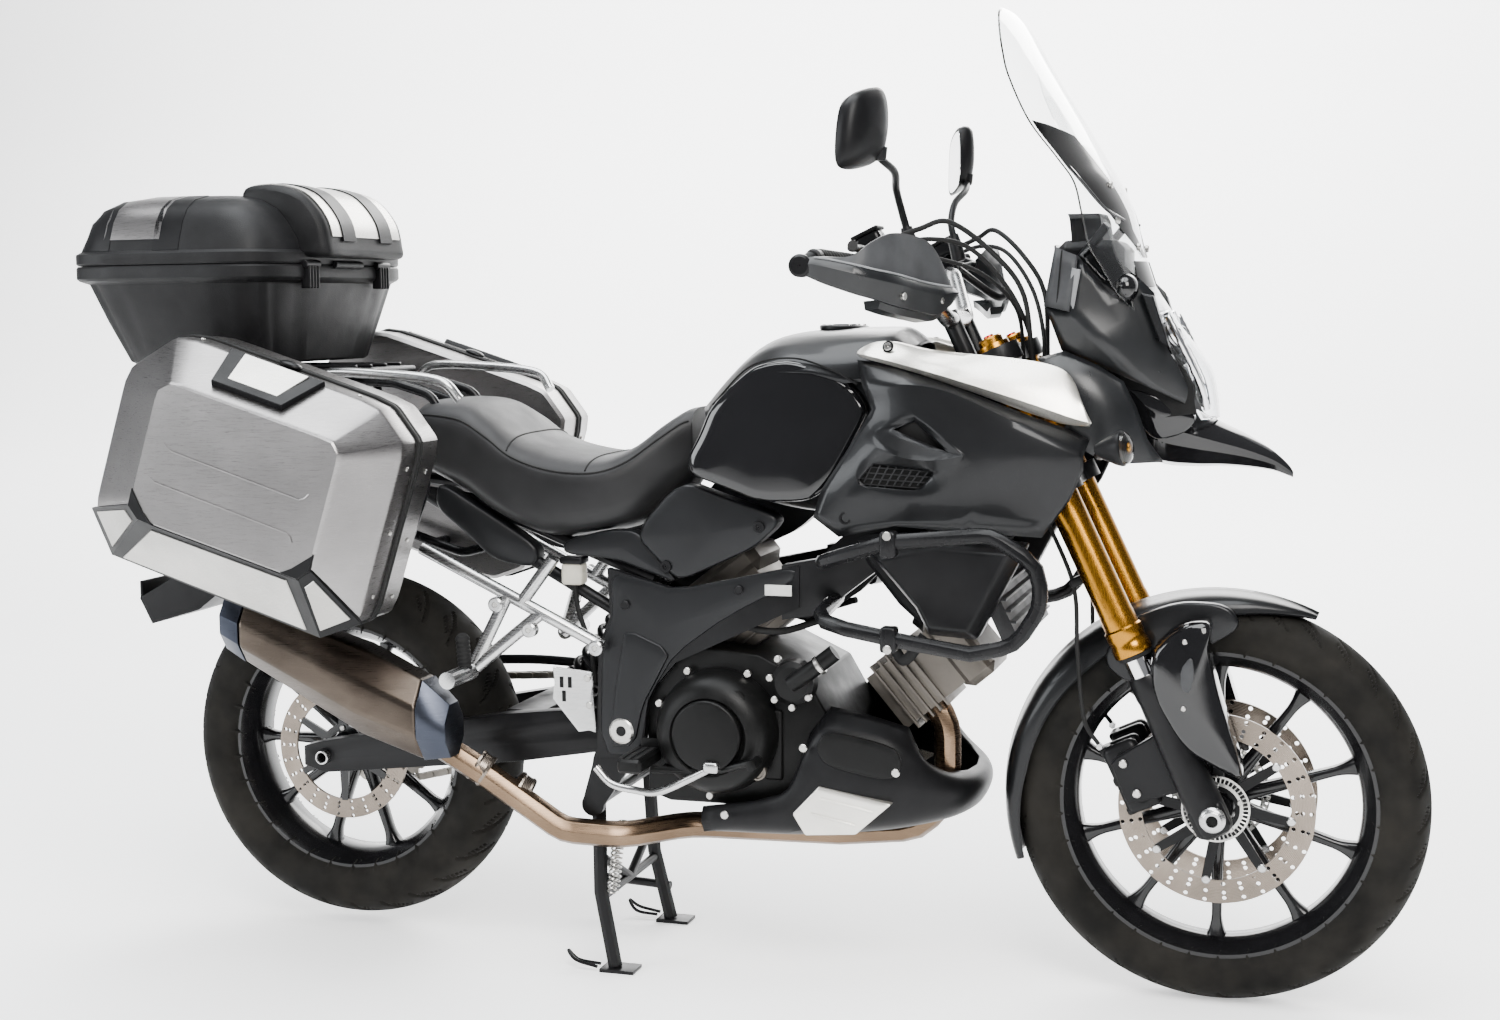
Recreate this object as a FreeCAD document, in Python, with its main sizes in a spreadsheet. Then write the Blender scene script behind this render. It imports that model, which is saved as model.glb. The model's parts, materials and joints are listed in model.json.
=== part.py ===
import FreeCAD, Part
import math
import os
import Sketcher

# Adventure motorcycle with three luggage cases, parked on its centre stand.
# Millimetres and degrees, X forward, Y to the rider's left, Z up from the floor.
# Places along X are counted from the front axle, so most of them are negative.

LAYOUT_SIZES = {
    "front_axle_x": 823,
    "swingarm_reach": 582,
    "rake_angle": 25,
    "steering_offset": 43,
    "fork_lead": 7,
    "steering_gap": 8,
    "rear_wheel_lift": 20,
    "pivot_x": -973,
    "pivot_z": 425,
    "fit_gap": 0.3,
    "running_gap": 1,
    "overrun": 2,
}

WHEEL_SIZES = {
    "front_tyre_radius": 329,
    "front_tyre_width": 112,
    "front_tyre_height": 88,
    "rear_tyre_radius": 321,
    "rear_tyre_width": 150,
    "rear_tyre_height": 105,
    "rim_flange_height": 13,
    "rim_flange_width": 5,
    "rim_wall": 9,
    "spoke_count": 10,
    "spoke_depth": 24,
    "spoke_root_width": 28,
    "spoke_waist_width": 15,
    "spoke_foot_width": 40,
    "hub_radius": 34,
    "front_hub_length": 124,
    "rear_hub_length": 138,
    "axle_radius": 12.5,
    "axle_bore_radius": 9,
    "front_axle_length": 274,
    "rear_axle_length": 300,
    "front_disc_radius": 155,
    "front_disc_inner_radius": 116,
    "rear_disc_radius": 130,
    "rear_disc_inner_radius": 94,
    "disc_thickness": 5,
    "carrier_radius": 58,
    "disc_arm_count": 8,
    "disc_arm_width": 20,
    "sprocket_radius": 104,
    "sprocket_width": 8,
    "sprocket_tooth": 6,
    "sprocket_teeth": 41,
    "chain_line": 95,
    "chain_width": 17,
    "chain_height": 15,
    "drive_sprocket_x": -893,
    "drive_sprocket_z": 440,
    "drive_sprocket_radius": 42,
    "drive_sprocket_teeth": 17,
}

STEERING_SIZES = {
    "fork_spread": 105,
    "fork_outer_radius": 27,
    "fork_bottom_rise": 284,
    "fork_stand_out": 8,
    "fork_collar_radius": 31,
    "fork_collar_height": 46,
    "fork_inner_radius": 21.5,
    "fork_cap_radius": 20,
    "fork_cap_height": 12,
    "carrier_top_rise": 246,
    "carrier_neck_radius": 26,
    "carrier_foot_radius": 31,
    "carrier_foot_drop": 30,
    "lower_yoke_rise": 560,
    "upper_yoke_rise": 786,
    "yoke_height": 28,
    "yoke_wall": 12,
    "stem_radius": 14,
    "head_tube_radius": 29,
    "riser_radius": 15,
    "bar_lift": 76,
    "bar_setback": 60,
    "bar_radius": 13,
    "bar_straight": 80,
    "bar_bend_y": 180,
    "bar_bend_lift": 85,
    "bar_bend_setback": 64,
    "bar_end_y": 425,
    "bar_end_lift": 51,
    "bar_end_setback": 132,
    "bar_bend_radius": 60,
    "grip_radius": 17,
    "grip_length": 120,
    "bar_weight_length": 15,
    "perch_radius": 20,
    "perch_length": 44,
    "lever_radius": 6,
    "lever_lead": 60,
    "lever_length": 92,
    "guard_lead": 96,
    "guard_height": 106,
    "guard_drop": 98,
    "guard_wall": 4,
    "guard_inner_y": 222,
    "mirror_y": 368,
    "mirror_lift": 114,
    "mirror_lead": 5,
    "mirror_elbow_y": 243,
    "mirror_elbow_lift": 36,
    "mirror_stem_radius": 6,
    "mirror_half_width": 60,
    "mirror_half_height": 56,
    "mirror_depth": 34,
    "mirror_turn": 25,
    "mirror_sides": 16,
    "fender_clearance": 15,
    "fender_half_width": 68,
    "fender_shoulder_drop": 46,
    "fender_wall": 3,
    "fender_front_angle": 64,
    "fender_rear_angle": 199,
    "fender_bracket_width": 40,
    "caliper_angle": 181,
    "caliper_radius": 128,
    "caliper_length": 124,
    "caliper_height": 64,
    "caliper_width": 62,
    "disc_slot": 9,
    "riser_y": 52,
    "mirror_elbow_setback": 19,
    "caliper_setback": 97,
    "caliper_rise": 100,
    "caliper_lug_rise": 66,
    "caliper_lug_wall": 14,
    "caliper_lug_length": 70,
    "disc_line": 59.5,
    "fork_guard_x": -22,
    "fork_guard_rise": 60,
    "fork_guard_length": 66,
    "fork_guard_height": 250,
    "fork_guard_width": 72,
}

FRAME_SIZES = {
    "spar_wall": 30,
    "stand_pivot_x": -1033,
    "stand_pivot_z": 291,
    "stand_pivot_radius": 10,
    "stand_lug_radius": 20,
    "stand_lug_wall": 12,
    "stand_boss_radius": 17,
    "stand_leg_radius": 13,
    "stand_leg_y": 124,
    "stand_foot_y": 143,
    "stand_foot_x": -1001,
    "stand_foot_length": 62,
    "stand_foot_width": 44,
    "stand_foot_wall": 6,
    "stand_brace_drop": 168,
    "stand_brace_radius": 8,
    "stand_tang_length": 148,
    "stand_tang_drop": 225,
    "stand_sweep": 76,
    "side_stand_x": -885,
    "side_stand_y": 163,
    "side_stand_z": 268,
    "side_stand_length": 262,
    "side_stand_radius": 11,
    "side_stand_boss": 20,
    "side_stand_tilt": 18.7,
    "swingarm_inner_y": 108,
    "swingarm_wall": 30,
    "swingarm_pivot_radius": 36,
    "swingarm_axle_height": 58,
    "swingarm_bridge_length": 70,
    "pivot_axle_radius": 12,
    "pivot_bore_radius": 7,
    "subframe_tube_radius": 11,
    "rack_tube_radius": 9,
    "crash_tube_radius": 12.5,
    "pipe_radius": 23,
    "shock_radius": 12,
    "spring_radius": 32,
    "spring_wire_radius": 5.5,
    "spring_turns": 6,
    "spring_steps": 10,
    "fin_gap": 12,
    "fin_wall": 4,
    "case_wall": 3,
    "case_lid_gap": 0.5,
    "screen_wall": 3,
    "panel_wall": 4,
    "spar_height": 90,
    "swingarm_axle_gap": 4,
    "swingarm_bridge_gap": 24,
    "radiator_depth": 28,
    "front_cylinder_lean": 50,
    "rear_cylinder_lean": -38,
    "muffler_depth": 150,
    "passenger_peg_length": 95,
    "filler_cap_radius": 42,
    "pannier_lean": 18,
    "pannier_seam_share": 0.33,
    "case_rim": 16,
    "hump_half_width": 150,
    "hinge_radius": 7,
    "hinge_length": 50,
    "hinge_inset": 105,
}

# Sizes that follow from others, as the sheet's own formulas.
FOLLOWING_SIZES = {
    "wheelbase": "swingarm_reach - pivot_x",
    "front_bead_radius": "front_tyre_radius - front_tyre_height",
    "rear_bead_radius": "rear_tyre_radius - rear_tyre_height",
    "fender_radius": "front_tyre_radius + fender_clearance",
    "fender_side_radius": "fender_radius - fender_shoulder_drop",
    "fork_top_rise": "upper_yoke_rise + yoke_height + fork_stand_out",
    "bar_rise": "upper_yoke_rise + yoke_height + bar_lift",
    "bar_bend_rise": "bar_rise + bar_bend_lift",
    "bar_end_rise": "bar_bend_rise + bar_end_lift",
    "mirror_elbow_rise": "bar_end_rise + mirror_elbow_lift",
    "mirror_rise": "mirror_elbow_rise + mirror_lift",
}

# The box of each piece: rear end, inner side, underside, length, width, height.
# Those of REAR_PIECES are counted from the rear axle.
PIECE_BOXES = {
    "fuel_tank": (-853, 0, 782, 401, 172, 320),
    "tank_side": (-854, 120, 810, 313, 60, 239),
    "fairing": (-623, 165, 770, 430, 70, 249),
    "silver_trim": (-558, 150, 948, 371, 40, 133),
    "cowl": (-266, 105, 963, 241, 40, 262),
    "inner_cowl": (-220, 118, 897, 136, 60, 142),
    "beak": (-155, 0, 850, 268, 60, 156),
    "headlight": (-157, 0, 955, 143, 98, 210),
    "dash": (-255, 0, 1122, 106, 95, 112),
    "screen": (-338, 0, 1120, 250, 200, 480),
    "seat": (-1385, 0, 735, 520, 165, 243),
    "side_cover": (-1089, 112, 676, 364, 46, 179),
    "tail": (-1640, 0, 850, 320, 105, 90),
    "rear_fender": (-405, 0, 560, 420, 88, 300),
    "rear_cover": (-1329, 96, 692, 196, 40, 150),
    "frame_plate": (-1022, 142, 375, 361, 16, 339),
    "engine": (-935, 0, 304, 330, 142, 270),
    "clutch_cover": (-897, 142, 345, 180, 76, 180),
    "generator_cover": (-790, 142, 330, 160, 50, 160),
    "front_cylinder": (-560, 0, 470, 190, 75, 130),
    "rear_cylinder": (-870, 0, 560, 150, 75, 150),
    "radiator": (-410, 0, 600, 110, 150, 150),
    "shroud": (-540, 150, 605, 265, 63, 165),
    "belly_guard": (-828, 0, 252, 439, 190, 230),
    "belly_insert": (-667, 190, 273, 167, 8, 85),
    "crash_bar": (-623, 130, 604, 376, 160, 184),
    "exhaust_pipe": (-1270, 0, 224, 832, 235, 290),
    "muffler": (-1650, 215, 455, 375, 120, 150),
    "shock": (-1150, 0, 420, 195, 40, 255),
    "hanger": (-1272, 190, 535, 130, 26, 110),
    "rack": (-1520, 215, 690, 430, 40, 330),
    "top_rack": (-1800, 0, 1010, 330, 110, 30),
    "pannier": (-1538, 266, 858, 525, 224, 395),
    "top_case": (-1975, 0, 1046, 422, 280, 294),
    "brake_pedal": (-905, 205, 372, 190, 20, 30),
    "rider_peg": (-945, 160, 376, 42, 105, 24),
    "heel_plate": (-1098, 158.3, 419, 77, 5, 110),
    "rear_caliper": (95, 77.7, 300, 90, 60, 60),
    "front_indicator": (-186, 236, 905, 44, 50, 44),
    "tail_lamp": (-1668, 0, 860, 28, 80, 60),
}

REAR_PIECES = ("rear_fender", "rear_caliper")

OUTLINE_SHARES = {
    "tank_side": [(0, .24), (.08, .55), (.24, .88), (.42, 1), (.54, .99), (.94, .79),
                  (1, .66), (.86, .33), (.72, .11), (.47, 0), (.13, .15)],
    "fairing": [(0, .15), (.08, 0), (.24, .11), (.62, .07), (.84, .02), (.93, .18), (1, .45),
                (.99, .58), (.8, .81), (.5, 1), (.25, 1), (.14, .7), (.06, .46)],
    "silver_trim": [(0, .87), (.06, 1), (.22, 1), (.4, .87), (.89, .65), (1, 0), (.73, .12),
                    (.36, .53), (.06, .79)],
    "cowl": [(.09, 1), (0, .76), (0, .64), (.1, .38), (.51, .19), (.9, .04), (1, 0), (.7, .75),
             (.56, .77), (.41, .88)],
    "inner_cowl": [(0, 1), (.5, .86), (1, .01), (.26, 0), (.07, .35)],
    "beak": [(0, 1), (.11, .63), (.25, .15), (.49, .14), (.76, .12), (1, 0), (.82, .37),
             (.57, .61), (.47, .68)],
    "headlight": [(0, .3), (0, .86), (.25, 1), (.36, .97), (.92, .37), (1, 0), (.78, 0), (.35, .12)],
    "side_cover": [(.61, 1), (.39, .52), (.21, .49), (0, .32), (.58, 0), (1, .42), (.99, .74)],
    "frame_plate": [(.08, .72), (.07, .96), (.41, .86), (1, 1), (1, .8), (.4, .5), (.26, .33),
                    (.23, .01), (0, 0), (.02, .57)],
    "belly_guard": [(.49, 1), (.81, .87), (.83, .6), (1, .53), (.99, .26), (.82, .15), (.41, .03),
                    (0, 0), (.06, .23), (.36, .36), (.4, .79)],
    "belly_insert": [(.28, 1), (1, .72), (.63, .07), (.13, 0), (0, .42)],
    "shroud": [(0, .85), (.43, 1), (.97, .95), (.67, .02), (.38, .05), (.3, .3)],
    "seat": [(0, .44), (0, .99), (.21, 1), (.36, .79), (.54, .63), (.69, .6), (.83, .71),
             (.93, .9), (1, .98), (.99, .5), (.83, .17), (.71, .11), (.56, .02), (.49, 0), (.12, .44)],
    "seat_plan": [(0, .7), (.25, .82), (.4, .96), (.55, 1), (.75, .82), (.92, .5), (1, .46)],
    "rear_cover": [(0, 1), (0, .68), (.56, .08), (.97, 0), (1, .25)],
    "engine": [(0, .05), (.12, 0), (.85, 0), (1, .25), (1, .5), (.86, .8), (.6, .95), (.2, 1),
               (0, .85)],
    "heel_plate": [(0, .5), (.08, 1), (.92, .93), (1, .05), (.6, 0)],
}

# Each route is a list of shares of its piece's length, width and height.
ROUTE_SHARES = {
    "crash_bar": [(.05, -.05, .66), (.07, 1, .72), (.38, 1, .92), (.8, 1, 1), (1, 1, .74), (1, 1, .4),
                  (.9, 1, .08), (.72, 1, 0), (.45, 1, .08), (.06, 1, .22), (.04, -.1, .3)],
    "exhaust_pipe": [(.952, .17, .97), (1, .2, .745), (1, .2, .33), (.94, .22, .13), (.78, .25, .083),
                     (.465, .3, .076), (.357, .72, .076), (.237, .8, .1), (.087, .87, .4), (0, 1, .593)],
    "hanger_bar": [(-.45, -.5, 1.76), (2.05, -1.1, .3)],
    "hanger_branch": [(1.4, -.9, 1.65), (.938, -.83, .94)],
    "hanger_front": [(1.215, -.9, .787), (.33, .6, -.1)],
    "hanger_rear": [(.75, -.79, 1.058), (.33, .6, -.1)],
    "radiator_stay": [(.35, .5, .93), (-1, .5, 1.3)],
    "indicator_stalk": [(-.6, -.7, .3), (.5, 0, .5)],
    "rack_loop": [(.95, 0, .1), (.99, 0, .55), (.8, 0, .8), (.1, 0, 1), (.02, 0, .7), (.1, 0, .35),
                  (.5, 0, .2)],
}

FORK_GUARD_SHARES = [(.2, 0), (.75, .05), (1, .3), (.85, 1), (.25, 1), (0, .6)]
FENDER_ARM_SHARES = [(1, 1), (.75, .95), (.45, .5), (0, .16), (.06, 0), (.3, .1), (.8, .62), (1, .8)]
RACK_PAD_SHARES = [(.2, .3), (.75, .17), (.3, .92)]
# Along the tank: share of length, half width, underside and top.
TANK_SECTION_SHARES = [(0, .42, .2, .6), (.2, .66, .06, .9), (.45, .9, 0, .98), (.8, 1, .02, 1),
                       (1, .84, .12, .87)]
TAIL_SECTION_SHARES = [(0, .5, .3, .6), (.3, .8, .1, .9), (1, 1, 0, 1)]
# Down the screen: share along, half width, how far its edges bend back, height.
SCREEN_SHARES = [(1, .8, .12, 0), (.9, 1, .2, .3), (.45, .92, .18, .65), (.1, .66, .12, .92),
                 (0, .45, .05, 1)]
# Along the silencer: place and size of its section.
MUFFLER_SHARES = [(-.12, .6), (0, .9), (.3, 1), (.9, .68), (1, .6)]
MUFFLER_SECTION_SHARES = [(1, .35), (.45, 1), (-.45, 1), (-1, .35), (-1, -.35), (-.45, -1), (.45, -1),
                          (1, -.35)]
# The top case from its floor up: height, rear end, front end, half width and corner.
TOP_BASE_SHARES = [(0, .16, .9, .74, .2), (.5, .04, .97, .95, .2), (.56, .03, .98, .96, .2)]
TOP_RIM_SHARES = (.5, .585)
TOP_LID_SHARES = [(.587, 0, 1, 1, .2), (.66, .01, .99, .98, .2), (.9, .08, .9, .88, .22),
                  (1, .2, .8, .7, .25)]
HUMP_SHARES = [(.7, .7), (.72, 1.02), (.85, 1.06), (1, .98), (1.1, .72), (1.1, .62), (.95, .62)]


document = FreeCAD.newDocument("AdventureMotorcycle")
sheet = document.addObject("Spreadsheet::Sheet", "Sizes")
parts = []


def fill_sheet():
    """Each size is one row: its name, then its number under an alias of that name."""
    rows = []
    for table in (LAYOUT_SIZES, WHEEL_SIZES, STEERING_SIZES, FRAME_SIZES):
        rows += list(table.items())
    for name, numbers in PIECE_BOXES.items():
        for word, number in zip(("x", "y", "z", "length", "width", "height"), numbers):
            rows.append((f"{name}_{word}", number))
    rows += [(name, f"={text}") for name, text in FOLLOWING_SIZES.items()]
    for row, (alias, number) in enumerate(rows, start=1):
        sheet.set(f"A{row}", alias)
        sheet.set(f"B{row}", str(number))
        sheet.setAlias(f"B{row}", alias)
    document.recompute()
    return [alias for alias, number in rows]


class SheetSizes:
    """Reads a size from the sheet by its alias."""

    def __getattr__(self, alias):
        return float(getattr(sheet, alias))


aliases = fill_sheet()
d = SheetSizes()
Vector = FreeCAD.Vector
ORIGIN = Vector(0, 0, 0)
ALONG_X = Vector(1, 0, 0)
ALONG_Y = Vector(0, 1, 0)
ALONG_Z = Vector(0, 0, 1)


def formula(text):
    """A sum of size names as the document's own expression."""
    words = text.replace("(", " ( ").replace(")", " ) ").split()
    return " ".join(f"Sizes.{word}" if word in aliases else word for word in words)


def bind(thing, prop, text):
    thing.setExpression(prop, formula(text))


def value(text):
    return float(sheet.evalExpression(formula(text)))


# Placements

def place_on_frame(piece):
    """Puts a piece that is drawn from the front axle into the whole machine's frame."""
    bind(piece, "Placement.Base.x", "front_axle_x")


def place_on_steering(piece):
    """The steering frame starts at the front axle, leans back by the rake, and Z runs up the fork."""
    piece.Placement = FreeCAD.Placement(ORIGIN, FreeCAD.Rotation(ALONG_Y, -d.rake_angle))
    bind(piece, "Placement.Base.x", "front_axle_x")
    bind(piece, "Placement.Base.z", "front_tyre_radius")


def place_on_rear_axle(piece):
    bind(piece, "Placement.Base.x", "front_axle_x - wheelbase")
    bind(piece, "Placement.Base.z", "rear_tyre_radius + rear_wheel_lift")


def place_on_front_axle(piece):
    bind(piece, "Placement.Base.x", "front_axle_x")
    bind(piece, "Placement.Base.z", "front_tyre_radius")


def feature(label, shape, place=place_on_frame):
    """A sub-part whose shape is worked out here from the sheet."""
    piece = document.addObject("Part::Feature", label)
    piece.Label = label
    piece.Shape = shape
    place(piece)
    parts.append(piece)
    return piece


# Sketches and sketched features

def new_body(label, place):
    body = document.addObject("PartDesign::Body", label)
    body.Label = label
    place(body)
    parts.append(body)
    return body


def new_sketch(body, name, role, shift=None):
    """A sketch on one of the body's own origin planes, moved off it by a sum of sizes."""
    sketch = body.newObject("Sketcher::SketchObject", name)
    plane = [flat for flat in body.Origin.OriginFeatures if flat.Role == role][0]
    sketch.AttachmentSupport = [(plane, "")]
    sketch.MapMode = "FlatFace"
    if shift is not None:
        bind(sketch, "AttachmentOffset.Base.z", shift)
    return sketch


def pin_point(sketch, geometry, end, across, up):
    """Ties one point of the sketch to its two sums of sizes."""
    for kind, text in (("DistanceX", across), ("DistanceY", up)):
        number = value(text)
        row = sketch.addConstraint(Sketcher.Constraint(kind, -1, 1, geometry, end, number))
        bind(sketch, f"Constraints[{row}]", text)


def draw_outline(sketch, points):
    """A closed outline of straight lines through points given as pairs of sums of sizes."""
    spots = [Vector(value(across), value(up), 0) for across, up in points]
    count = len(points)
    first = sketch.GeometryCount
    for here, there in zip(spots, spots[1:] + spots[:1]):
        sketch.addGeometry(Part.LineSegment(here, there))
    for number in range(count):
        following = (number + 1) % count
        sketch.addConstraint(Sketcher.Constraint("Coincident", first + number, 2, first + following, 1))
        pin_point(sketch, first + number, 1, *points[number])


def draw_circle(sketch, across, up, radius):
    centre = Vector(value(across), value(up), 0)
    row = sketch.addGeometry(Part.Circle(centre, ALONG_Z, value(radius)))
    pin_point(sketch, row, 3, across, up)
    rule = sketch.addConstraint(Sketcher.Constraint("Radius", row, value(radius)))
    bind(sketch, f"Constraints[{rule}]", radius)


def pad(body, sketch, length, midplane=False, back=False):
    solid = body.newObject("PartDesign::Pad", sketch.Name + "Pad")
    solid.Profile = sketch
    bind(solid, "Length", length)
    solid.Midplane = midplane
    solid.Reversed = back
    return solid


def cut_through(body, sketch):
    """Cuts the sketch out of the body on both sides of its plane."""
    document.recompute()
    before = body.Shape.Volume
    cut = body.newObject("PartDesign::Pocket", sketch.Name + "Cut")
    cut.Profile = sketch
    cut.Type = "ThroughAll"
    cut.Midplane = True
    document.recompute()
    if body.Shape.Volume >= before:
        raise ValueError(f"{sketch.Name} cuts nothing")
    return cut


def turn(body, sketch, axis="H_Axis"):
    solid = body.newObject("PartDesign::Revolution", sketch.Name + "Turn")
    solid.Profile = sketch
    solid.ReferenceAxis = (sketch, [axis])
    solid.Angle = 360
    return solid


def repeat_round(body, features, role, count):
    """Copies features evenly round one of the body's own axes."""
    ring = body.newObject("PartDesign::PolarPattern", features[0].Name + "Ring")
    ring.Originals = features
    axis = [line for line in body.Origin.OriginFeatures if line.Role == role][0]
    ring.Axis = (axis, [""])
    ring.Angle = 360
    bind(ring, "Occurrences", count)
    body.Tip = ring
    return ring


# Solids worked out in code

def box_of(name):
    box = [getattr(d, f"{name}_{word}") for word in ("x", "y", "z", "length", "width", "height")]
    if name in REAR_PIECES:
        box[0] -= d.wheelbase
    return box


def inside(name, share):
    """A point at shares of the length, width and height of a piece's box."""
    x, y, z, length, width, height = box_of(name)
    return Vector(x + share[0] * length, y + share[1] * width, z + share[2] * height)


def route(name, box_name=None):
    return [inside(box_name or name, share) for share in ROUTE_SHARES[name]]


def mirrored(shape):
    return shape.mirror(ORIGIN, ALONG_Y)


def both_sides(shape):
    return Part.makeCompound([shape, mirrored(shape)])


def joined(shapes):
    whole = shapes[0]
    for shape in shapes[1:]:
        whole = whole.fuse(shape)
    return whole.removeSplitter()


def rod(start, end, radius):
    along = end - start
    return Part.makeCylinder(radius, along.Length, start, along)


def hollow_rod(start, end, radius, bore):
    return rod(start, end, radius).cut(rod(start, end, bore))


def outline_points(name, y, grow=1):
    """The piece's outline at one Y, grown or shrunk about its middle."""
    x, _, z, length, _, height = box_of(name)
    shares = OUTLINE_SHARES[name]
    middle_u = sum(share[0] for share in shares) / len(shares)
    middle_w = sum(share[1] for share in shares) / len(shares)
    points = []
    for u, w in shares:
        u_grown = middle_u + (u - middle_u) * grow
        w_grown = middle_w + (w - middle_w) * grow
        points.append(Vector(x + u_grown * length, y, z + w_grown * height))
    return points


def own_shape(label):
    """A finished piece's shape in the frame that it was drawn in."""
    piece = [piece for piece in parts if piece.Label == label][0]
    shape = piece.Shape.copy()
    shape.Placement = FreeCAD.Placement()
    return shape


def clear_of(shape, labels):
    """Cuts a piece back to where its neighbours start, so that they lie face to face."""
    for label in labels:
        shape = shape.cut(own_shape(label))
    return shape


def main_solid(shape):
    """The largest solid, where a cut leaves a sliver beyond a neighbour."""
    return max(shape.Solids, key=lambda solid: solid.Volume)


def slab(points, depth):
    """A flat outline drawn out along Y."""
    face = Part.Face(Part.makePolygon(points + points[:1]))
    return face.extrude(Vector(0, depth, 0))


def plain_panel(name):
    """A panel of even thickness over its box's width."""
    _, y, _, _, width, _ = box_of(name)
    return slab(outline_points(name, y), width)


def crowned_panel(name, crown_share=0.8, edge_share=0.55):
    """A panel whose outer face is drawn in towards its middle, so that its rim slopes all round."""
    _, y, _, _, width, _ = box_of(name)
    edge = y + edge_share * width
    base = slab(outline_points(name, y), edge - y)
    wires = []
    for level, grow in ((edge, 1), (y + width, crown_share)):
        points = outline_points(name, level, grow)
        wires.append(Part.makePolygon(points + points[:1]))
    crown = Part.makeLoft(wires, True, True)
    return base.fuse(crown).removeSplitter()


def centred_panel(name, tip_share=0.7):
    """A piece across the middle, whose sides slope in towards the outside."""
    _, _, _, _, width, _ = box_of(name)
    half = width * 0.6
    base = slab(outline_points(name, -half), half * 2)
    wires = []
    for level, grow in ((half, 1), (width, tip_share)):
        points = outline_points(name, level, grow)
        wires.append(Part.makePolygon(points + points[:1]))
    side = Part.makeLoft(wires, True, True)
    return joined([base, side, mirrored(side)])


def bent_points(points, bend):
    """Straight runs between the points, with each bend taken in two short chords."""
    spots = [points[0]]
    for before, corner, after in zip(points, points[1:], points[2:]):
        into = (before - corner).normalize()
        out = (after - corner).normalize()
        half = into.getAngle(out) / 2
        room = min((before - corner).Length, (after - corner).Length) * 0.45
        reach = min(bend / math.tan(half), room)
        radius = reach * math.tan(half)
        deep = (into + out).normalize() * (radius / math.sin(half) - radius)
        if bend > 0 and out.getAngle(-into) > math.radians(d.rake_angle):
            spots += [corner + into * reach, corner + deep, corner + out * reach]
        else:
            spots.append(corner)
    return spots + [points[-1]]


def tube(points, radius, bend, sides=8):
    """A bar of flat sides along straight runs, mitred where two runs meet."""
    spots = bent_points(points, bend)
    along = (spots[1] - spots[0]).normalize()
    across = along.cross(ALONG_Z if abs(along.z) < abs(along.y) + abs(along.x) else ALONG_Y).normalize()
    up = along.cross(across)
    ring = []
    for number in range(sides):
        swing = 2 * math.pi * number / sides
        ring.append(spots[0] + across * radius * math.cos(swing) + up * radius * math.sin(swing))
    rings = [ring]
    for number in range(1, len(spots)):
        here = spots[number]
        along = (here - spots[number - 1]).normalize()
        mitre = Vector(along)
        if number < len(spots) - 1:
            mitre = along + (spots[number + 1] - here).normalize()
        share = 1 / along.dot(mitre)
        ring = [point + along * ((here - point).dot(mitre) * share) for point in ring]
        rings.append(ring)
    faces = []
    for low, high in zip(rings, rings[1:]):
        for number in range(sides):
            after = (number + 1) % sides
            corners = [low[number], low[after], high[after], high[number], low[number]]
            faces.append(Part.Face(Part.makePolygon(corners)))
    faces.append(Part.Face(Part.makePolygon(rings[0] + rings[0][:1])))
    faces.append(Part.Face(Part.makePolygon(rings[-1] + rings[-1][:1])))
    solid = Part.Solid(Part.Shell(faces))
    if solid.Volume < 0:
        solid.reverse()
    return solid


def oval_section(x, half_width, low, high, flat_share=0.55):
    """A rounded section across the machine at one X: flat inside the shares, an elbow of arc at each
    corner."""
    half_height = (high - low) / 2
    middle = (high + low) / 2
    corner = min(half_width, half_height) * flat_share
    points = []
    for side, top in ((1, 1), (-1, 1), (-1, -1), (1, -1)):
        points.append((side, top))
    edges = []
    spots = []
    for side, top in points:
        y = side * half_width
        z = middle + top * half_height
        turn_in = Vector(x, y, z - top * corner)
        turn_out = Vector(x, y - side * corner, z)
        if side * top < 0:
            turn_in, turn_out = turn_out, turn_in
        centre = Vector(x, y - side * corner, z - top * corner)
        slant = Vector(0, side, top).normalize()
        spots.append((turn_in, centre + slant * corner, turn_out))
    for number, (turn_in, deep, turn_out) in enumerate(spots):
        edges.append(Part.Arc(turn_in, deep, turn_out).toShape())
        following = spots[(number + 1) % len(spots)][0]
        edges.append(Part.LineSegment(turn_out, following).toShape())
    return Part.Wire(edges)


# Wheels

def draw_section(sketch, points):
    """A closed outline whose edges are lines, or arcs where a point has a third and fourth entry: the
    place that the edge to the next point passes through."""
    spots = [Vector(value(point[0]), value(point[1]), 0) for point in points]
    count = len(points)
    ends = []
    for number, point in enumerate(points):
        here = spots[number]
        there = spots[(number + 1) % count]
        if len(point) == 2:
            row = sketch.addGeometry(Part.LineSegment(here, there))
        else:
            through = Vector(value(point[2]), value(point[3]), 0)
            row = sketch.addGeometry(Part.Arc(here, through, there))
        starts_here = (sketch.getPoint(row, 1) - here).Length < (sketch.getPoint(row, 1) - there).Length
        ends.append((row, 1, 2) if starts_here else (row, 2, 1))
    for number, point in enumerate(points):
        row, first, last = ends[number]
        next_row, next_first, _ = ends[(number + 1) % count]
        sketch.addConstraint(Sketcher.Constraint("Coincident", row, last, next_row, next_first))
        pin_point(sketch, row, first, point[0], point[1])
        if len(point) == 4:
            mark = sketch.addGeometry(Part.Point(Vector(value(point[2]), value(point[3]), 0)), True)
            pin_point(sketch, mark, 1, point[2], point[3])
            sketch.addConstraint(Sketcher.Constraint("PointOnObject", mark, 1, row))


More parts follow.
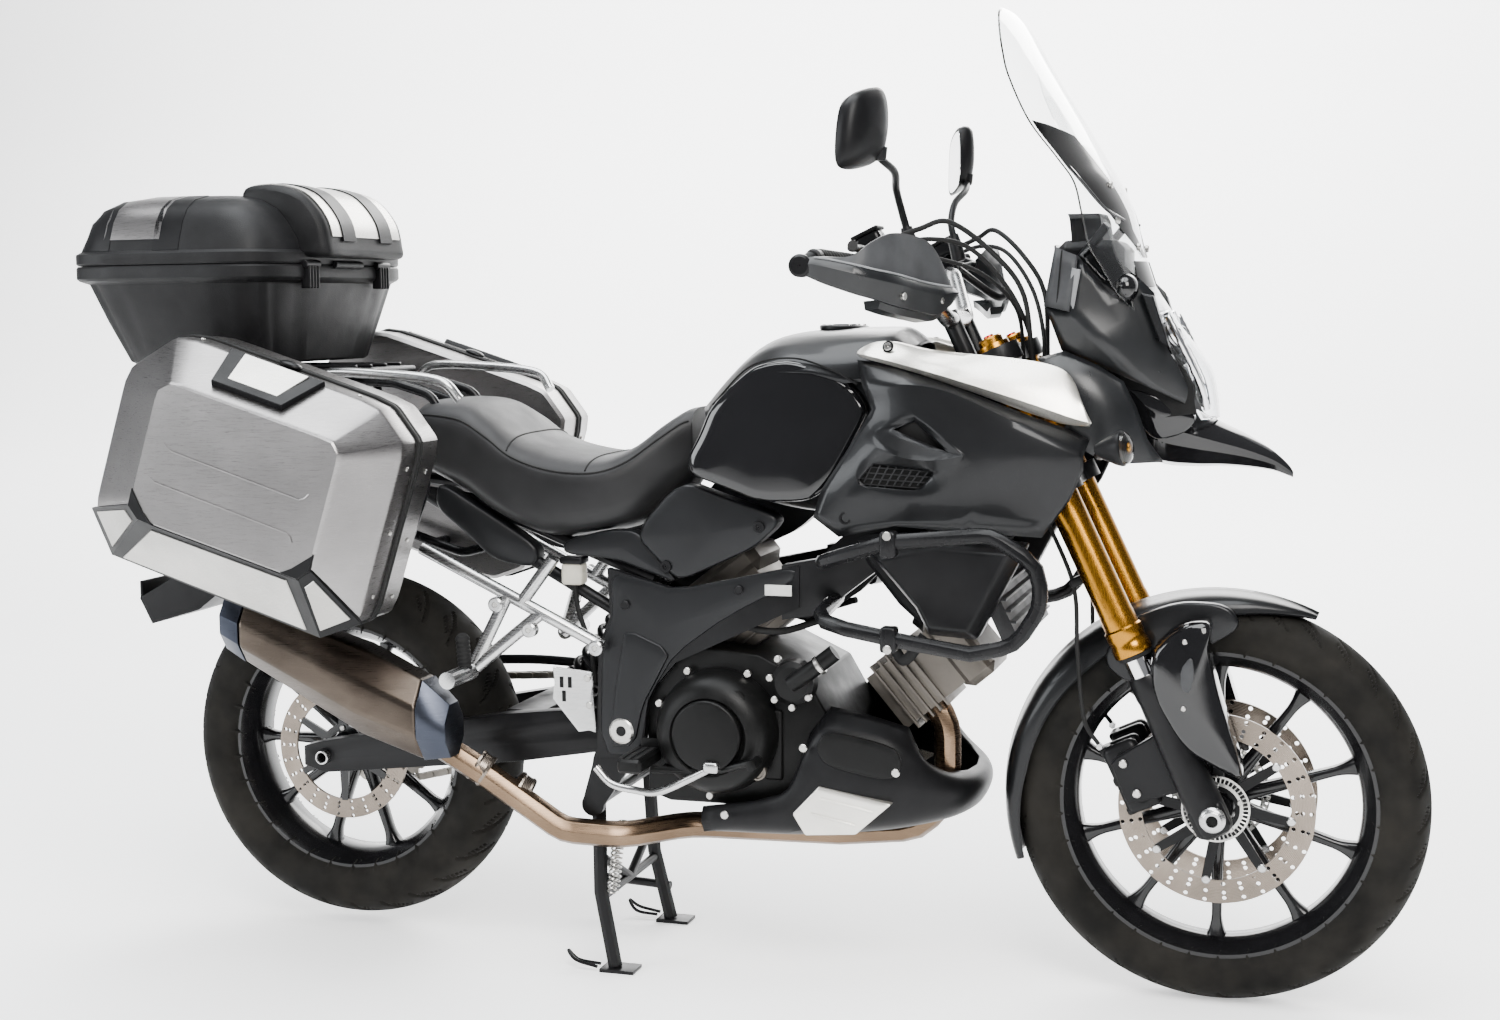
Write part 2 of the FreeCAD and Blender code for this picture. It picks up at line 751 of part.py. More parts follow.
def make_tyre(end, place):
    body = new_body(f"{end}_tyre", place)
    sketch = new_sketch(body, f"{end}TyreSection", "YZ_Plane")
    seat = f"{end}_tyre_width * 0.36"
    half = f"{end}_tyre_width * 0.5"
    bulge = f"{end}_tyre_width * 0.475"
    bead = f"{end}_bead_radius"
    lip = f"{end}_bead_radius + rim_flange_height + overrun"
    shoulder = f"{end}_tyre_radius - {end}_tyre_width * 0.3"
    side = f"{end}_bead_radius * 0.42 + {end}_tyre_radius * 0.58 - {end}_tyre_width * 0.12"
    draw_section(sketch, [
        (f"0 - {seat}", bead),
        (f"0 - {seat}", lip, f"0 - {bulge}", side),
        (f"0 - {half}", shoulder, "0", f"{end}_tyre_radius"),
        (half, shoulder, bulge, side),
        (seat, lip),
        (seat, bead),
    ])
    turn(body, sketch)


def make_rim(end, place):
    """A cast wheel: a barrel and a hub turned round the axle, joined by slim spokes that flare at the
    barrel."""
    body = new_body(f"{end}_rim", place)
    ring = new_sketch(body, f"{end}Barrel", "YZ_Plane")
    seat = f"{end}_tyre_width * 0.36 + fit_gap"
    edge = f"{end}_tyre_width * 0.36 + fit_gap + rim_flange_width"
    bead = f"{end}_bead_radius - fit_gap"
    lip = f"{end}_bead_radius + rim_flange_height"
    well = f"{end}_bead_radius - rim_wall"
    draw_section(ring, [
        (f"0 - {end}_tyre_width * 0.36 - fit_gap - rim_flange_width", lip),
        (f"0 - {end}_tyre_width * 0.36 - fit_gap", lip),
        (f"0 - {end}_tyre_width * 0.36 - fit_gap", bead),
        (seat, bead),
        (seat, lip),
        (edge, lip),
        (edge, f"{end}_bead_radius - rim_wall * 0.4"),
        (f"{end}_tyre_width * 0.2", well),
        (f"0 - {end}_tyre_width * 0.2", well),
        (f"0 - {end}_tyre_width * 0.36 - fit_gap - rim_flange_width", f"{end}_bead_radius - rim_wall * 0.4"),
    ])
    turn(body, ring)
    spoke = new_sketch(body, f"{end}Spoke", "XZ_Plane")
    root = "hub_radius - rim_wall * 0.5"
    waist = f"{end}_bead_radius * 0.62"
    foot = f"{end}_bead_radius - rim_wall * 0.5"
    draw_outline(spoke, [
        ("0 - spoke_root_width * 0.5", root),
        ("spoke_root_width * 0.5", root),
        ("spoke_waist_width * 0.5", waist),
        ("spoke_foot_width * 0.5", foot),
        ("0 - spoke_foot_width * 0.5", foot),
        ("0 - spoke_waist_width * 0.5", waist),
    ])
    arm = pad(body, spoke, "spoke_depth", midplane=True)
    hub = new_sketch(body, f"{end}Hub", "YZ_Plane")
    bore = "axle_radius + running_gap"
    reach = f"{end}_hub_length * 0.5"
    flank = f"{end}_hub_length * 0.28"
    draw_section(hub, [
        (f"0 - {reach}", bore),
        (f"0 - {reach}", "hub_radius * 0.82"),
        (f"0 - {flank}", "hub_radius"),
        (flank, "hub_radius"),
        (reach, "hub_radius * 0.82"),
        (reach, bore),
    ])
    turn(body, hub)
    repeat_round(body, [arm], "Y_Axis", "spoke_count")


def make_disc(label, end, place, both):
    """A brake disc on a carrier with arms, to the right of the wheel, and its mirror image on a
    front wheel."""
    body = new_body(label, place)
    shift = f"{end}_hub_length * 0.5 - disc_thickness"
    carrier = new_sketch(body, f"{end}Carrier", "XZ_Plane", shift)
    draw_circle(carrier, "0", "0", "carrier_radius")
    draw_circle(carrier, "0", "0", "hub_radius * 0.86 + fit_gap")
    solids = [pad(body, carrier, "disc_thickness")]
    arm = new_sketch(body, f"{end}CarrierArm", "XZ_Plane", shift)
    draw_outline(arm, [
        ("0 - disc_arm_width * 0.5", "carrier_radius - disc_thickness"),
        ("disc_arm_width * 0.5", "carrier_radius - disc_thickness"),
        ("disc_arm_width * 0.4", f"{end}_disc_inner_radius + disc_thickness"),
        ("0 - disc_arm_width * 0.4", f"{end}_disc_inner_radius + disc_thickness"),
    ])
    solids.append(pad(body, arm, "disc_thickness"))
    repeat_round(body, [solids[1]], "Y_Axis", "disc_arm_count")
    ring = new_sketch(body, f"{end}DiscRing", "XZ_Plane", shift)
    draw_circle(ring, "0", "0", f"{end}_disc_radius")
    draw_circle(ring, "0", "0", f"{end}_disc_inner_radius")
    last = pad(body, ring, "disc_thickness")
    body.Tip = last
    if both:
        document.recompute()
        pair = body.newObject("PartDesign::Mirrored", label + "Pair")
        plane = [flat for flat in body.Origin.OriginFeatures if flat.Role == "XZ_Plane"][0]
        pair.MirrorPlane = (plane, [""])
        pair.TransformMode = "Whole shape"
        body.Tip = pair


def make_sprocket():
    body = new_body("rear_sprocket", place_on_rear_axle)
    shift = "0 - chain_line - sprocket_width * 0.5"
    plate = new_sketch(body, "SprocketPlate", "XZ_Plane", shift)
    draw_circle(plate, "0", "0", "sprocket_radius")
    draw_circle(plate, "0", "0", "axle_radius + running_gap")
    pad(body, plate, "sprocket_width")
    gap = new_sketch(body, "SprocketGap", "XZ_Plane")
    draw_outline(gap, [
        ("0", "sprocket_radius - sprocket_tooth"),
        ("sprocket_tooth * 0.7", "sprocket_radius + overrun"),
        ("0 - sprocket_tooth * 0.7", "sprocket_radius + overrun"),
    ])
    notch = cut_through(body, gap)
    repeat_round(body, [notch], "Y_Axis", "sprocket_teeth")


def chain_loop(inner_grow, outer_grow):
    """The band between two belts laid round the two sprockets, in four bodies: an arc at each sprocket
    and a straight run above and below."""
    rear = Vector(-d.wheelbase, 0, d.rear_tyre_radius + d.rear_wheel_lift)
    drive = Vector(d.drive_sprocket_x, 0, d.drive_sprocket_z)
    belts = []
    for grow in (outer_grow, inner_grow):
        big = d.sprocket_radius + grow
        small = d.drive_sprocket_radius + grow
        along = drive - rear
        lean = math.atan2(along.z, along.x)
        spread = math.acos((big - small) / along.Length)
        points = {}
        for word, centre, radius, turn_angle in (
            ("big_top", rear, big, lean + spread),
            ("small_top", drive, small, lean + spread),
            ("small_tip", drive, small, lean),
            ("small_low", drive, small, lean - spread),
            ("big_low", rear, big, lean - spread),
            ("big_tip", rear, big, lean + math.pi),
        ):
            points[word] = centre + Vector(math.cos(turn_angle), 0, math.sin(turn_angle)) * radius
        edges = [
            Part.LineSegment(points["big_top"], points["small_top"]).toShape(),
            Part.Arc(points["small_top"], points["small_tip"], points["small_low"]).toShape(),
            Part.LineSegment(points["small_low"], points["big_low"]).toShape(),
            Part.Arc(points["big_low"], points["big_tip"], points["big_top"]).toShape(),
        ]
        belts.append(Part.Face(Part.Wire(edges)).extrude(Vector(0, d.chain_width, 0)))
    loop = belts[0].cut(belts[1])
    loop.translate(Vector(0, d.chain_line - d.chain_width / 2, 0))
    reach = d.sprocket_radius * 4
    corner = Vector(drive.x, -reach, drive.z - reach / 2)
    front = Part.makeBox(reach, reach * 2, reach, corner)
    back = Part.makeBox(reach, reach * 2, reach, Vector(rear.x - reach, -reach, rear.z - reach / 2))
    runs = loop.cut(front).cut(back)
    return Part.makeCompound([loop.common(front), loop.common(back)] + runs.Solids)


# Fork and handlebar, in the steering frame

def fork_point(side, rise, lead=0):
    return Vector(lead - d.fork_lead, side * d.fork_spread, rise)


def bar_route():
    return [
        Vector(-d.bar_setback, 0, d.bar_rise),
        Vector(-d.bar_setback, d.bar_straight, d.bar_rise),
        Vector(-d.bar_bend_setback, d.bar_bend_y, d.bar_bend_rise),
        Vector(-d.bar_end_setback, d.bar_end_y, d.bar_end_rise),
    ]


def handlebar_tube():
    points = bar_route()
    far = [Vector(point.x, -point.y, point.z) for point in points]
    return tube(far[:0:-1] + points[1:], d.bar_radius, d.bar_bend_radius)


def make_yokes():
    """Two plates that clamp the fork legs and the steering stem, joined by the stem."""
    solids = []
    eye = d.fork_outer_radius + d.yoke_wall
    hub = d.stem_radius + d.yoke_wall
    for rise in (d.lower_yoke_rise, d.upper_yoke_rise):
        corners = [
            Vector(eye / 2 - d.fork_lead, d.fork_spread, rise),
            Vector(eye / 2 - d.fork_lead, -d.fork_spread, rise),
            Vector(-eye / 2 - d.fork_lead, -d.fork_spread, rise),
            Vector(-d.steering_offset - hub, -hub, rise),
            Vector(-d.steering_offset - hub, hub, rise),
            Vector(-eye / 2 - d.fork_lead, d.fork_spread, rise),
        ]
        plate = Part.Face(Part.makePolygon(corners + corners[:1])).extrude(ALONG_Z * d.yoke_height)
        for side in (1, -1):
            plate = plate.fuse(Part.makeCylinder(eye, d.yoke_height, fork_point(side, rise)))
        for side in (1, -1):
            plate = plate.cut(Part.makeCylinder(d.fork_outer_radius, d.yoke_height, fork_point(side, rise)))
        solids.append(plate)
    stem_foot = Vector(-d.steering_offset, 0, d.lower_yoke_rise)
    stem_length = d.upper_yoke_rise + d.yoke_height - d.lower_yoke_rise
    solids.append(Part.makeCylinder(d.stem_radius, stem_length, stem_foot))
    nut_foot = Vector(-d.steering_offset, 0, d.upper_yoke_rise + d.yoke_height)
    solids.append(Part.makeCylinder(d.stem_radius + d.overrun, d.fork_cap_height, nut_foot))
    bar = handlebar_tube()
    for side in (1, -1):
        foot = Vector(-d.bar_setback, side * d.riser_y, d.upper_yoke_rise)
        riser = Part.makeCylinder(d.riser_radius, d.bar_rise + d.bar_radius - foot.z, foot)
        solids.append(riser.cut(bar))
    feature("triple_clamps", joined(solids), place_on_steering)


def make_fork():
    """Upside-down fork: outer tubes with a stepped collar, bright inner tubes, axle feet."""
    outers = []
    inners = []
    feet = []
    for side in (1, -1):
        tube_length = d.fork_top_rise - d.fork_bottom_rise
        outer = Part.makeCylinder(d.fork_outer_radius, tube_length, fork_point(side, d.fork_bottom_rise))
        collar_low = fork_point(side, d.fork_bottom_rise)
        collar = Part.makeCylinder(d.fork_collar_radius, d.fork_collar_height, collar_low)
        cap = Part.makeCylinder(d.fork_cap_radius, d.fork_cap_height, fork_point(side, d.fork_top_rise))
        outers.append(joined([outer, collar, cap]))
        inner_length = d.fork_bottom_rise - d.carrier_top_rise
        inner_foot = fork_point(side, d.carrier_top_rise)
        inners.append(Part.makeCylinder(d.fork_inner_radius, inner_length, inner_foot))
        neck = Part.makeCone(d.carrier_foot_radius, d.carrier_neck_radius, d.carrier_top_rise,
                             fork_point(side, 0))
        foot = Part.makeCylinder(d.carrier_foot_radius, d.carrier_foot_drop,
                                 fork_point(side, -d.carrier_foot_drop))
        lug_middle = side * (d.disc_line + d.caliper_width / 2 + d.fit_gap + d.caliper_lug_wall / 2)
        lug_rear = -d.caliper_setback - d.caliper_height * 0.3
        lug = Part.makeBox(-lug_rear - d.fork_lead, d.caliper_lug_wall, d.caliper_lug_length,
                           Vector(lug_rear, lug_middle - d.caliper_lug_wall / 2, d.caliper_lug_rise))
        feet.append(joined([neck, foot, lug]))
    axle_end = ALONG_Y * d.front_axle_length / 2
    feet.append(rod(-axle_end, axle_end, d.axle_radius))
    carrier = joined(feet).cut(rod(-axle_end, axle_end, d.axle_bore_radius))
    feature("fork_tubes", Part.makeCompound(outers), place_on_steering)
    feature("fork_stanchions", Part.makeCompound(inners), place_on_steering)
    feature("fork_feet", carrier, place_on_steering)


def make_fork_guards():
    """Glossy covers wrapped round the front of the fork feet."""
    points = []
    for u, w in FORK_GUARD_SHARES:
        points.append(Vector(d.fork_guard_x + u * d.fork_guard_length, 0,
                             d.fork_guard_rise + w * d.fork_guard_height))
    cover = slab(points, d.fork_guard_width)
    cover.translate(ALONG_Y * (d.fork_spread - d.fork_guard_width / 2))
    cover = cover.cut(own_shape("fork_feet"))
    tyre_room = d.fender_half_width + d.fender_wall + d.fit_gap
    reach = d.fork_guard_height * 2
    beside = Part.makeBox(reach, reach, reach, Vector(-d.fork_guard_height, tyre_room, 0))
    leg = Part.makeCylinder(d.fork_collar_radius, d.fork_top_rise, fork_point(1, d.carrier_top_rise))
    cover = cover.common(beside).cut(leg)
    feature("fork_guards", both_sides(cover), place_on_steering)


def make_front_fender():
    """A thin shell turned round the axle over the tyre, with a bracket to each fork leg."""
    def rib(grow):
        top = Vector(0, 0, d.fender_radius + grow)
        shoulder = d.fender_radius - (d.fender_radius - d.fender_side_radius) * 0.35
        half = d.fender_half_width + grow
        side = Vector(0, half * 0.86, shoulder + grow)
        low = Vector(0, half, d.fender_side_radius)
        return low, side, top
    wires = []
    for grow in (d.fender_wall, 0):
        low, side, top = rib(grow)
        wires.append((low, side, top, Vector(0, -side.y, side.z), Vector(0, -low.y, low.z)))
    outer, inner = wires
    edges = []
    for low, side, top, far_side, far_low in (outer, inner):
        edges.append(Part.LineSegment(low, side).toShape())
        edges.append(Part.Arc(side, top, far_side).toShape())
        edges.append(Part.LineSegment(far_side, far_low).toShape())
    edges.append(Part.LineSegment(outer[0], inner[0]).toShape())
    edges.append(Part.LineSegment(outer[4], inner[4]).toShape())
    section = Part.Face(Part.Wire(Part.__sortEdges__(edges)))
    section.rotate(ORIGIN, ALONG_Y, 90 - d.fender_front_angle)
    shell = section.revolve(ORIGIN, ALONG_Y, d.fender_front_angle - d.fender_rear_angle)
    feature("front_fender", shell, place_on_front_axle)


def make_handlebar():
    bar = handlebar_tube()
    bend, end = bar_route()[2:]
    along = (end - bend).normalize()
    grip_start = end - along * d.grip_length
    controls = []
    for side in (1, -1):
        start = Vector(grip_start.x, side * grip_start.y, grip_start.z)
        stop = Vector(end.x, side * end.y, end.z)
        heading = (stop - start).normalize()
        grip = rod(start, stop + heading * d.bar_weight_length, d.grip_radius)
        perch_start = start - heading * d.perch_length
        perch = rod(perch_start, start, d.perch_radius)
        lever_start = perch_start + heading * d.perch_radius + ALONG_X * d.perch_radius * 0.6
        lever_mid = lever_start + ALONG_X * d.lever_lead + heading * d.lever_lead
        lever_tip = lever_mid + heading * d.lever_length - ALONG_X * d.lever_lead * 0.4
        lever = tube([lever_start, lever_mid, lever_tip], d.lever_radius, d.lever_lead)
        controls.append(joined([grip, perch, lever]).cut(bar))
    feature("handlebar", bar, place_on_steering)
    feature("grips_and_levers", Part.makeCompound(controls), place_on_steering)


def make_hand_guards():
    """A strap from the bar's end round in front of the levers, deeper towards the middle."""
    end = bar_route()[3]
    outer_y = end.y + d.bar_weight_length + d.grip_radius
    low = end.z - d.guard_drop
    lead = d.guard_lead - d.bar_end_setback
    path = [
        Vector(end.x - d.grip_radius, outer_y, low),
        Vector(end.x + d.guard_lead * 0.45, outer_y, low),
        Vector(lead + d.guard_lead * 0.35, outer_y * 0.84, low),
        Vector(lead + d.guard_lead * 0.1, d.guard_inner_y, low),
    ]
    inner = [point + Vector(-d.guard_wall, -d.guard_wall * 1.2, 0) for point in path]
    ring = path + inner[::-1]
    guard = Part.Face(Part.makePolygon(ring + ring[:1])).extrude(ALONG_Z * d.guard_height)
    span = outer_y - d.guard_inner_y
    edge = []
    for across, up in ((0, 0), (0.35, 0.06), (1, 0.58), (1, 1), (0.6, 0.96), (0, 0.72)):
        at_end = d.overrun if across == 1 else -d.overrun if across == 0 else 0
        y = d.guard_inner_y + span * across + at_end
        edge.append(Vector(-d.bar_end_setback * 2, y, low + d.guard_height * up))
    outline = Part.Face(Part.makePolygon(edge + edge[:1])).extrude(ALONG_X * d.bar_end_setback * 4)
    guard = guard.common(outline)
    knob = rod(end, end + ALONG_Y * (outer_y - end.y), d.bar_radius)
    guard = guard.fuse(knob).removeSplitter()
    guard = clear_of(guard, ["grips_and_levers", "handlebar"])
    feature("hand_guards", both_sides(guard), place_on_steering)


def make_mirrors():
    """A rounded shell on a bent stem each side."""
    points = bar_route()
    bend, end = points[2:]
    along = (end - bend).normalize()
    root = end - along * (d.grip_length + d.perch_length / 2) + ALONG_Z * d.perch_radius
    elbow = Vector(-d.mirror_elbow_setback, d.mirror_elbow_y, d.mirror_elbow_rise)
    head = Vector(d.mirror_lead, d.mirror_y, d.mirror_rise)
    turn = math.radians(d.mirror_turn)
    forward = Vector(math.cos(turn), math.sin(turn), 0)
    outward = Vector(-math.sin(turn), math.cos(turn), 0)
    lean = math.radians(d.rake_angle)
    upright = Vector(math.sin(lean), 0, math.cos(lean))
    foot = head - upright * d.mirror_half_height * 0.7 - outward * d.mirror_half_width * 0.4
    stem = tube([root, elbow, foot], d.mirror_stem_radius, d.mirror_half_height)
    wires = []
    for depth, grow in ((0, 0.94), (0.3, 1), (0.75, 0.86), (1, 0.5)):
        centre = head + forward * (depth - 0.5) * d.mirror_depth
        points = []
        for number in range(int(d.mirror_sides)):
            swing = 2 * math.pi * number / d.mirror_sides
            across = outward * math.cos(swing) * d.mirror_half_width * grow
            points.append(centre + across + upright * math.sin(swing) * d.mirror_half_height * grow)
        wires.append(Part.makePolygon(points + points[:1]))
    shell = Part.makeLoft(wires, True, True)
    mirror = stem.fuse(shell).cut(own_shape("grips_and_levers")).cut(own_shape("handlebar"))
    feature("mirrors", both_sides(mirror), place_on_steering)


def make_front_calipers():
    centre = Vector(-d.caliper_setback, d.disc_line, d.caliper_rise)
    corner = centre - Vector(d.caliper_height / 2, d.caliper_width / 2, d.caliper_length / 2)
    block = Part.makeBox(d.caliper_height, d.caliper_width, d.caliper_length, corner)
    block = block.makeChamfer(d.caliper_height * 0.16, block.Edges)
    slot = Part.makeCylinder(d.front_disc_radius + d.overrun + d.running_gap, d.disc_slot,
                             Vector(0, d.disc_line - d.disc_slot / 2, 0), ALONG_Y)
    block = block.cut(slot)
    feature("front_calipers", both_sides(block), place_on_steering)


# Frame, engine and running gear

def steering_to_frame(point):
    """A point of the steering frame, seen from the front axle in the frame's own directions."""
    lean = math.radians(d.rake_angle)
    x = point.x * math.cos(lean) - point.z * math.sin(lean)
    z = point.x * math.sin(lean) + point.z * math.cos(lean)
    return Vector(x, point.y, z + d.front_tyre_radius)


def across_section(x, y_low, y_high, z_low, z_high):
    corners = [Vector(x, y_low, z_low), Vector(x, y_high, z_low)]
    corners += [Vector(x, y_high, z_high), Vector(x, y_low, z_high)]
    return Part.makePolygon(corners + corners[:1])


def make_main_frame():
    """Head tube, two spars that spread round the tank, pivot plates and the lugs of the stand."""
    lower_seat = d.lower_yoke_rise + d.yoke_height + d.running_gap
    head_low = steering_to_frame(Vector(-d.steering_offset, 0, lower_seat))
    head_high = steering_to_frame(Vector(-d.steering_offset, 0, d.upper_yoke_rise - d.running_gap))
    head = rod(head_low, head_high, d.head_tube_radius)
    bore = rod(head_low, head_high, d.stem_radius + d.running_gap)
    plate_x, plate_y, plate_z, plate_length, _, plate_height = box_of("frame_plate")
    plate = plain_panel("frame_plate")
    outer = plate_y + d.frame_plate_width
    spar_top = plate_z + plate_height
    front_x = plate_x + plate_length
    head_middle = (head_low + head_high) / 2
    head_span = (head_high.z - head_low.z) * 0.42
    sections = [
        across_section(front_x - d.spar_wall, outer - d.spar_wall, outer, spar_top - d.spar_height, spar_top),
        across_section(front_x + d.spar_wall, outer - d.spar_wall * 1.3, outer - d.spar_wall * 0.3,
                       spar_top - d.spar_height * 0.9, spar_top + d.spar_height * 0.12),
        across_section(head_middle.x - d.head_tube_radius * 0.6, d.overrun, d.head_tube_radius,
                       head_middle.z - head_span, head_middle.z + head_span),
    ]
    spar = Part.makeLoft(sections, True, True)
    foot = Vector(d.stand_pivot_x, plate_y, d.stand_pivot_z)
    lug_top_left = Vector(plate_x, plate_y, plate_z + d.stand_lug_radius)
    lug_top_right = Vector(plate_x + plate_length * 0.23, plate_y, plate_z + d.stand_lug_radius)
    lug_points = [
        foot + ALONG_X * d.stand_lug_radius,
        lug_top_right,
        lug_top_left,
        foot - ALONG_X * d.stand_lug_radius,
    ]
    lug = slab(lug_points, d.stand_lug_wall)
    lug = lug.fuse(Part.makeCylinder(d.stand_lug_radius, d.stand_lug_wall, foot, ALONG_Y))
    side = joined([plate, spar, lug])
    pivot = Vector(d.pivot_x, -outer, d.pivot_z)
    stand_end = Vector(d.side_stand_x, plate_y, d.side_stand_z)
    bracket_points = [
        stand_end + ALONG_X * d.side_stand_boss,
        Vector(plate_x + plate_length * 0.27, plate_y, plate_z + plate_height * 0.3),
        Vector(plate_x + plate_length * 0.05, plate_y, plate_z + plate_height * 0.05),
        stand_end - ALONG_X * d.side_stand_boss,
    ]
    bracket = slab(bracket_points, d.frame_plate_width * 0.7)
    axis = side_stand_axis()
    root = Vector(d.side_stand_x, d.side_stand_y, d.side_stand_z) - axis * d.running_gap
    bracket = bracket.fuse(Part.makeCylinder(d.side_stand_boss, d.frame_plate_width, root, -axis))
    cross_end = Vector(front_x + d.spar_wall * 0.4, outer - d.spar_wall / 2, spar_top - d.spar_height / 2)
    cross = rod(Vector(cross_end.x, -cross_end.y, cross_end.z), cross_end, d.subframe_tube_radius)
    stand_axle = rod(foot - ALONG_Y * plate_y * 2, foot, d.stand_pivot_radius)
    shock_top = inside("shock", (1, 0, 1)) + ALONG_Y * plate_y
    shock_tube = rod(shock_top - ALONG_Y * plate_y * 2, shock_top, d.subframe_tube_radius)
    whole = joined([head, side, mirrored(side), cross, stand_axle, shock_tube, bracket])
    pivot_hole = Part.makeCylinder(d.pivot_axle_radius, outer * 2, pivot, ALONG_Y)
    feature("main_frame", whole.cut(bore).cut(pivot_hole))


def make_subframe():
    """Tubes each side from the pivot plates back under the seat, with cross tubes."""
    plate_x, plate_y, plate_z, _, _, plate_height = box_of("frame_plate")
    tail_x, _, tail_z, tail_length, tail_width, _ = box_of("tail")
    inner = plate_y - d.subframe_tube_radius
    top_start = Vector(plate_x + plate_height * 0.3, inner, plate_z + plate_height * 0.9)
    low_start = Vector(plate_x + plate_height * 0.12, inner, plate_z + plate_height * 0.72)
    rear = Vector(tail_x + tail_length * 0.25, tail_width * 0.72, tail_z - d.subframe_tube_radius)
    waist = Vector(tail_x + tail_length * 1.15, tail_width * 0.86, tail_z - d.subframe_tube_radius * 4)
    upper = tube([top_start, waist, rear], d.subframe_tube_radius, d.subframe_tube_radius * 3)
    brace_end = waist + (rear - waist) * 0.35
    lower = rod(low_start, brace_end, d.subframe_tube_radius)
    side = upper.fuse(lower)
    crosses = []
    for spot in (waist, rear):
        crosses.append(rod(Vector(spot.x, -spot.y, spot.z), spot, d.subframe_tube_radius))
    whole = joined([side, mirrored(side)] + crosses)
    feature("rear_subframe", whole.cut(own_shape("main_frame")))


def make_engine():
    """Crankcase with a round cover each side, and two finned cylinders set in a V."""
    x, _, z, length, width, height = box_of("engine")
    case = slab(outline_points("engine", -width), width * 2)
    bay = d.drive_sprocket_radius + d.chain_height + d.running_gap * 12
    bay_line = d.chain_line - d.chain_width / 2 - d.running_gap * 4
    corner = Vector(d.drive_sprocket_x - bay * 2, bay_line, d.drive_sprocket_z - bay)
    case = case.cut(Part.makeBox(bay * 3, width, bay * 2, corner))
    feature("engine_case", case)
    covers = []
    for name, side in (("clutch_cover", -1), ("generator_cover", 1)):
        cover_x, cover_y, cover_z, cover_length, cover_width, cover_height = box_of(name)
        centre = Vector(cover_x + cover_length / 2, side * cover_y, cover_z + cover_height / 2)
        radius = cover_height / 2
        out = ALONG_Y * side
        drum = Part.makeCylinder(radius, cover_width * 0.6, centre, out)
        cone = Part.makeCone(radius, radius * 0.82, cover_width * 0.2, centre + out * cover_width * 0.6, out)
        disc = Part.makeCylinder(radius * 0.66, cover_width * 0.2, centre + out * cover_width * 0.8, out)
        covers.append(joined([drum, cone, disc]))
    feature("engine_covers", Part.makeCompound(covers))
    barrels = []
    for name, lean in (("front_cylinder", d.front_cylinder_lean), ("rear_cylinder", d.rear_cylinder_lean)):
        x, _, z, length, width, height = box_of(name)
        centre = Vector(x + length / 2, 0, z + height / 2)
        barrel_corner = Vector(-height * 0.41, -width * 0.9, -length / 2)
        barrel = Part.makeBox(height * 0.82, width * 1.8, length, barrel_corner)
        solids = [barrel]
        step = d.fin_gap + d.fin_wall
        for number in range(int(length * 0.45 / step)):
            low = -length * 0.4 + number * step
            fin = Part.makeBox(height, width * 2, d.fin_wall, Vector(-height / 2, -width, low))
            solids.append(fin)
        head_corner = Vector(-height * 0.52, -width, length * 0.16)
        head = Part.makeBox(height * 1.05, width * 2, length * 0.34, head_corner)
        head = head.makeChamfer(height * 0.1, head.Edges)
        solids.append(head)
        block = joined(solids)
        block.rotate(ORIGIN, ALONG_Y, lean)
        block.translate(centre)
        barrels.append(block)
    cylinders = Part.makeCompound([clear_of(block, ["engine_case", "main_frame"]) for block in barrels])
    feature("cylinders", cylinders)


def make_radiator():
    """A core with cross slats, leaning back with the fork, in a dark shroud each side."""
    x, _, z, length, width, height = box_of("radiator")
    lean = math.radians(d.rake_angle)
    foot = Vector(x + length, 0, z)
    top = foot + Vector(-math.tan(lean) * height, 0, height)
    depth = Vector(-d.radiator_depth, 0, 0)
    points = [foot, top, top + depth, foot + depth]
    points = [Vector(point.x, -width, point.z) for point in points]
    core = slab(points, width * 2)
    slats = []
    count = int(height / (d.fin_gap + d.fin_wall)) - 1
    for number in range(count):
        low = foot + (top - foot) * ((number + 0.75) / (count + 0.5))
        corner = Vector(low.x - d.fin_wall, -width, low.z)
        slats.append(Part.makeBox(d.fin_gap, width * 2, d.fin_wall, corner))
    start, end = route("radiator_stay", "radiator")
    stay = rod(start, end, d.subframe_tube_radius * 0.7)
    core = joined([core, stay, mirrored(stay)] + slats)
    feature("radiator", main_solid(clear_of(core, ["main_frame"])))


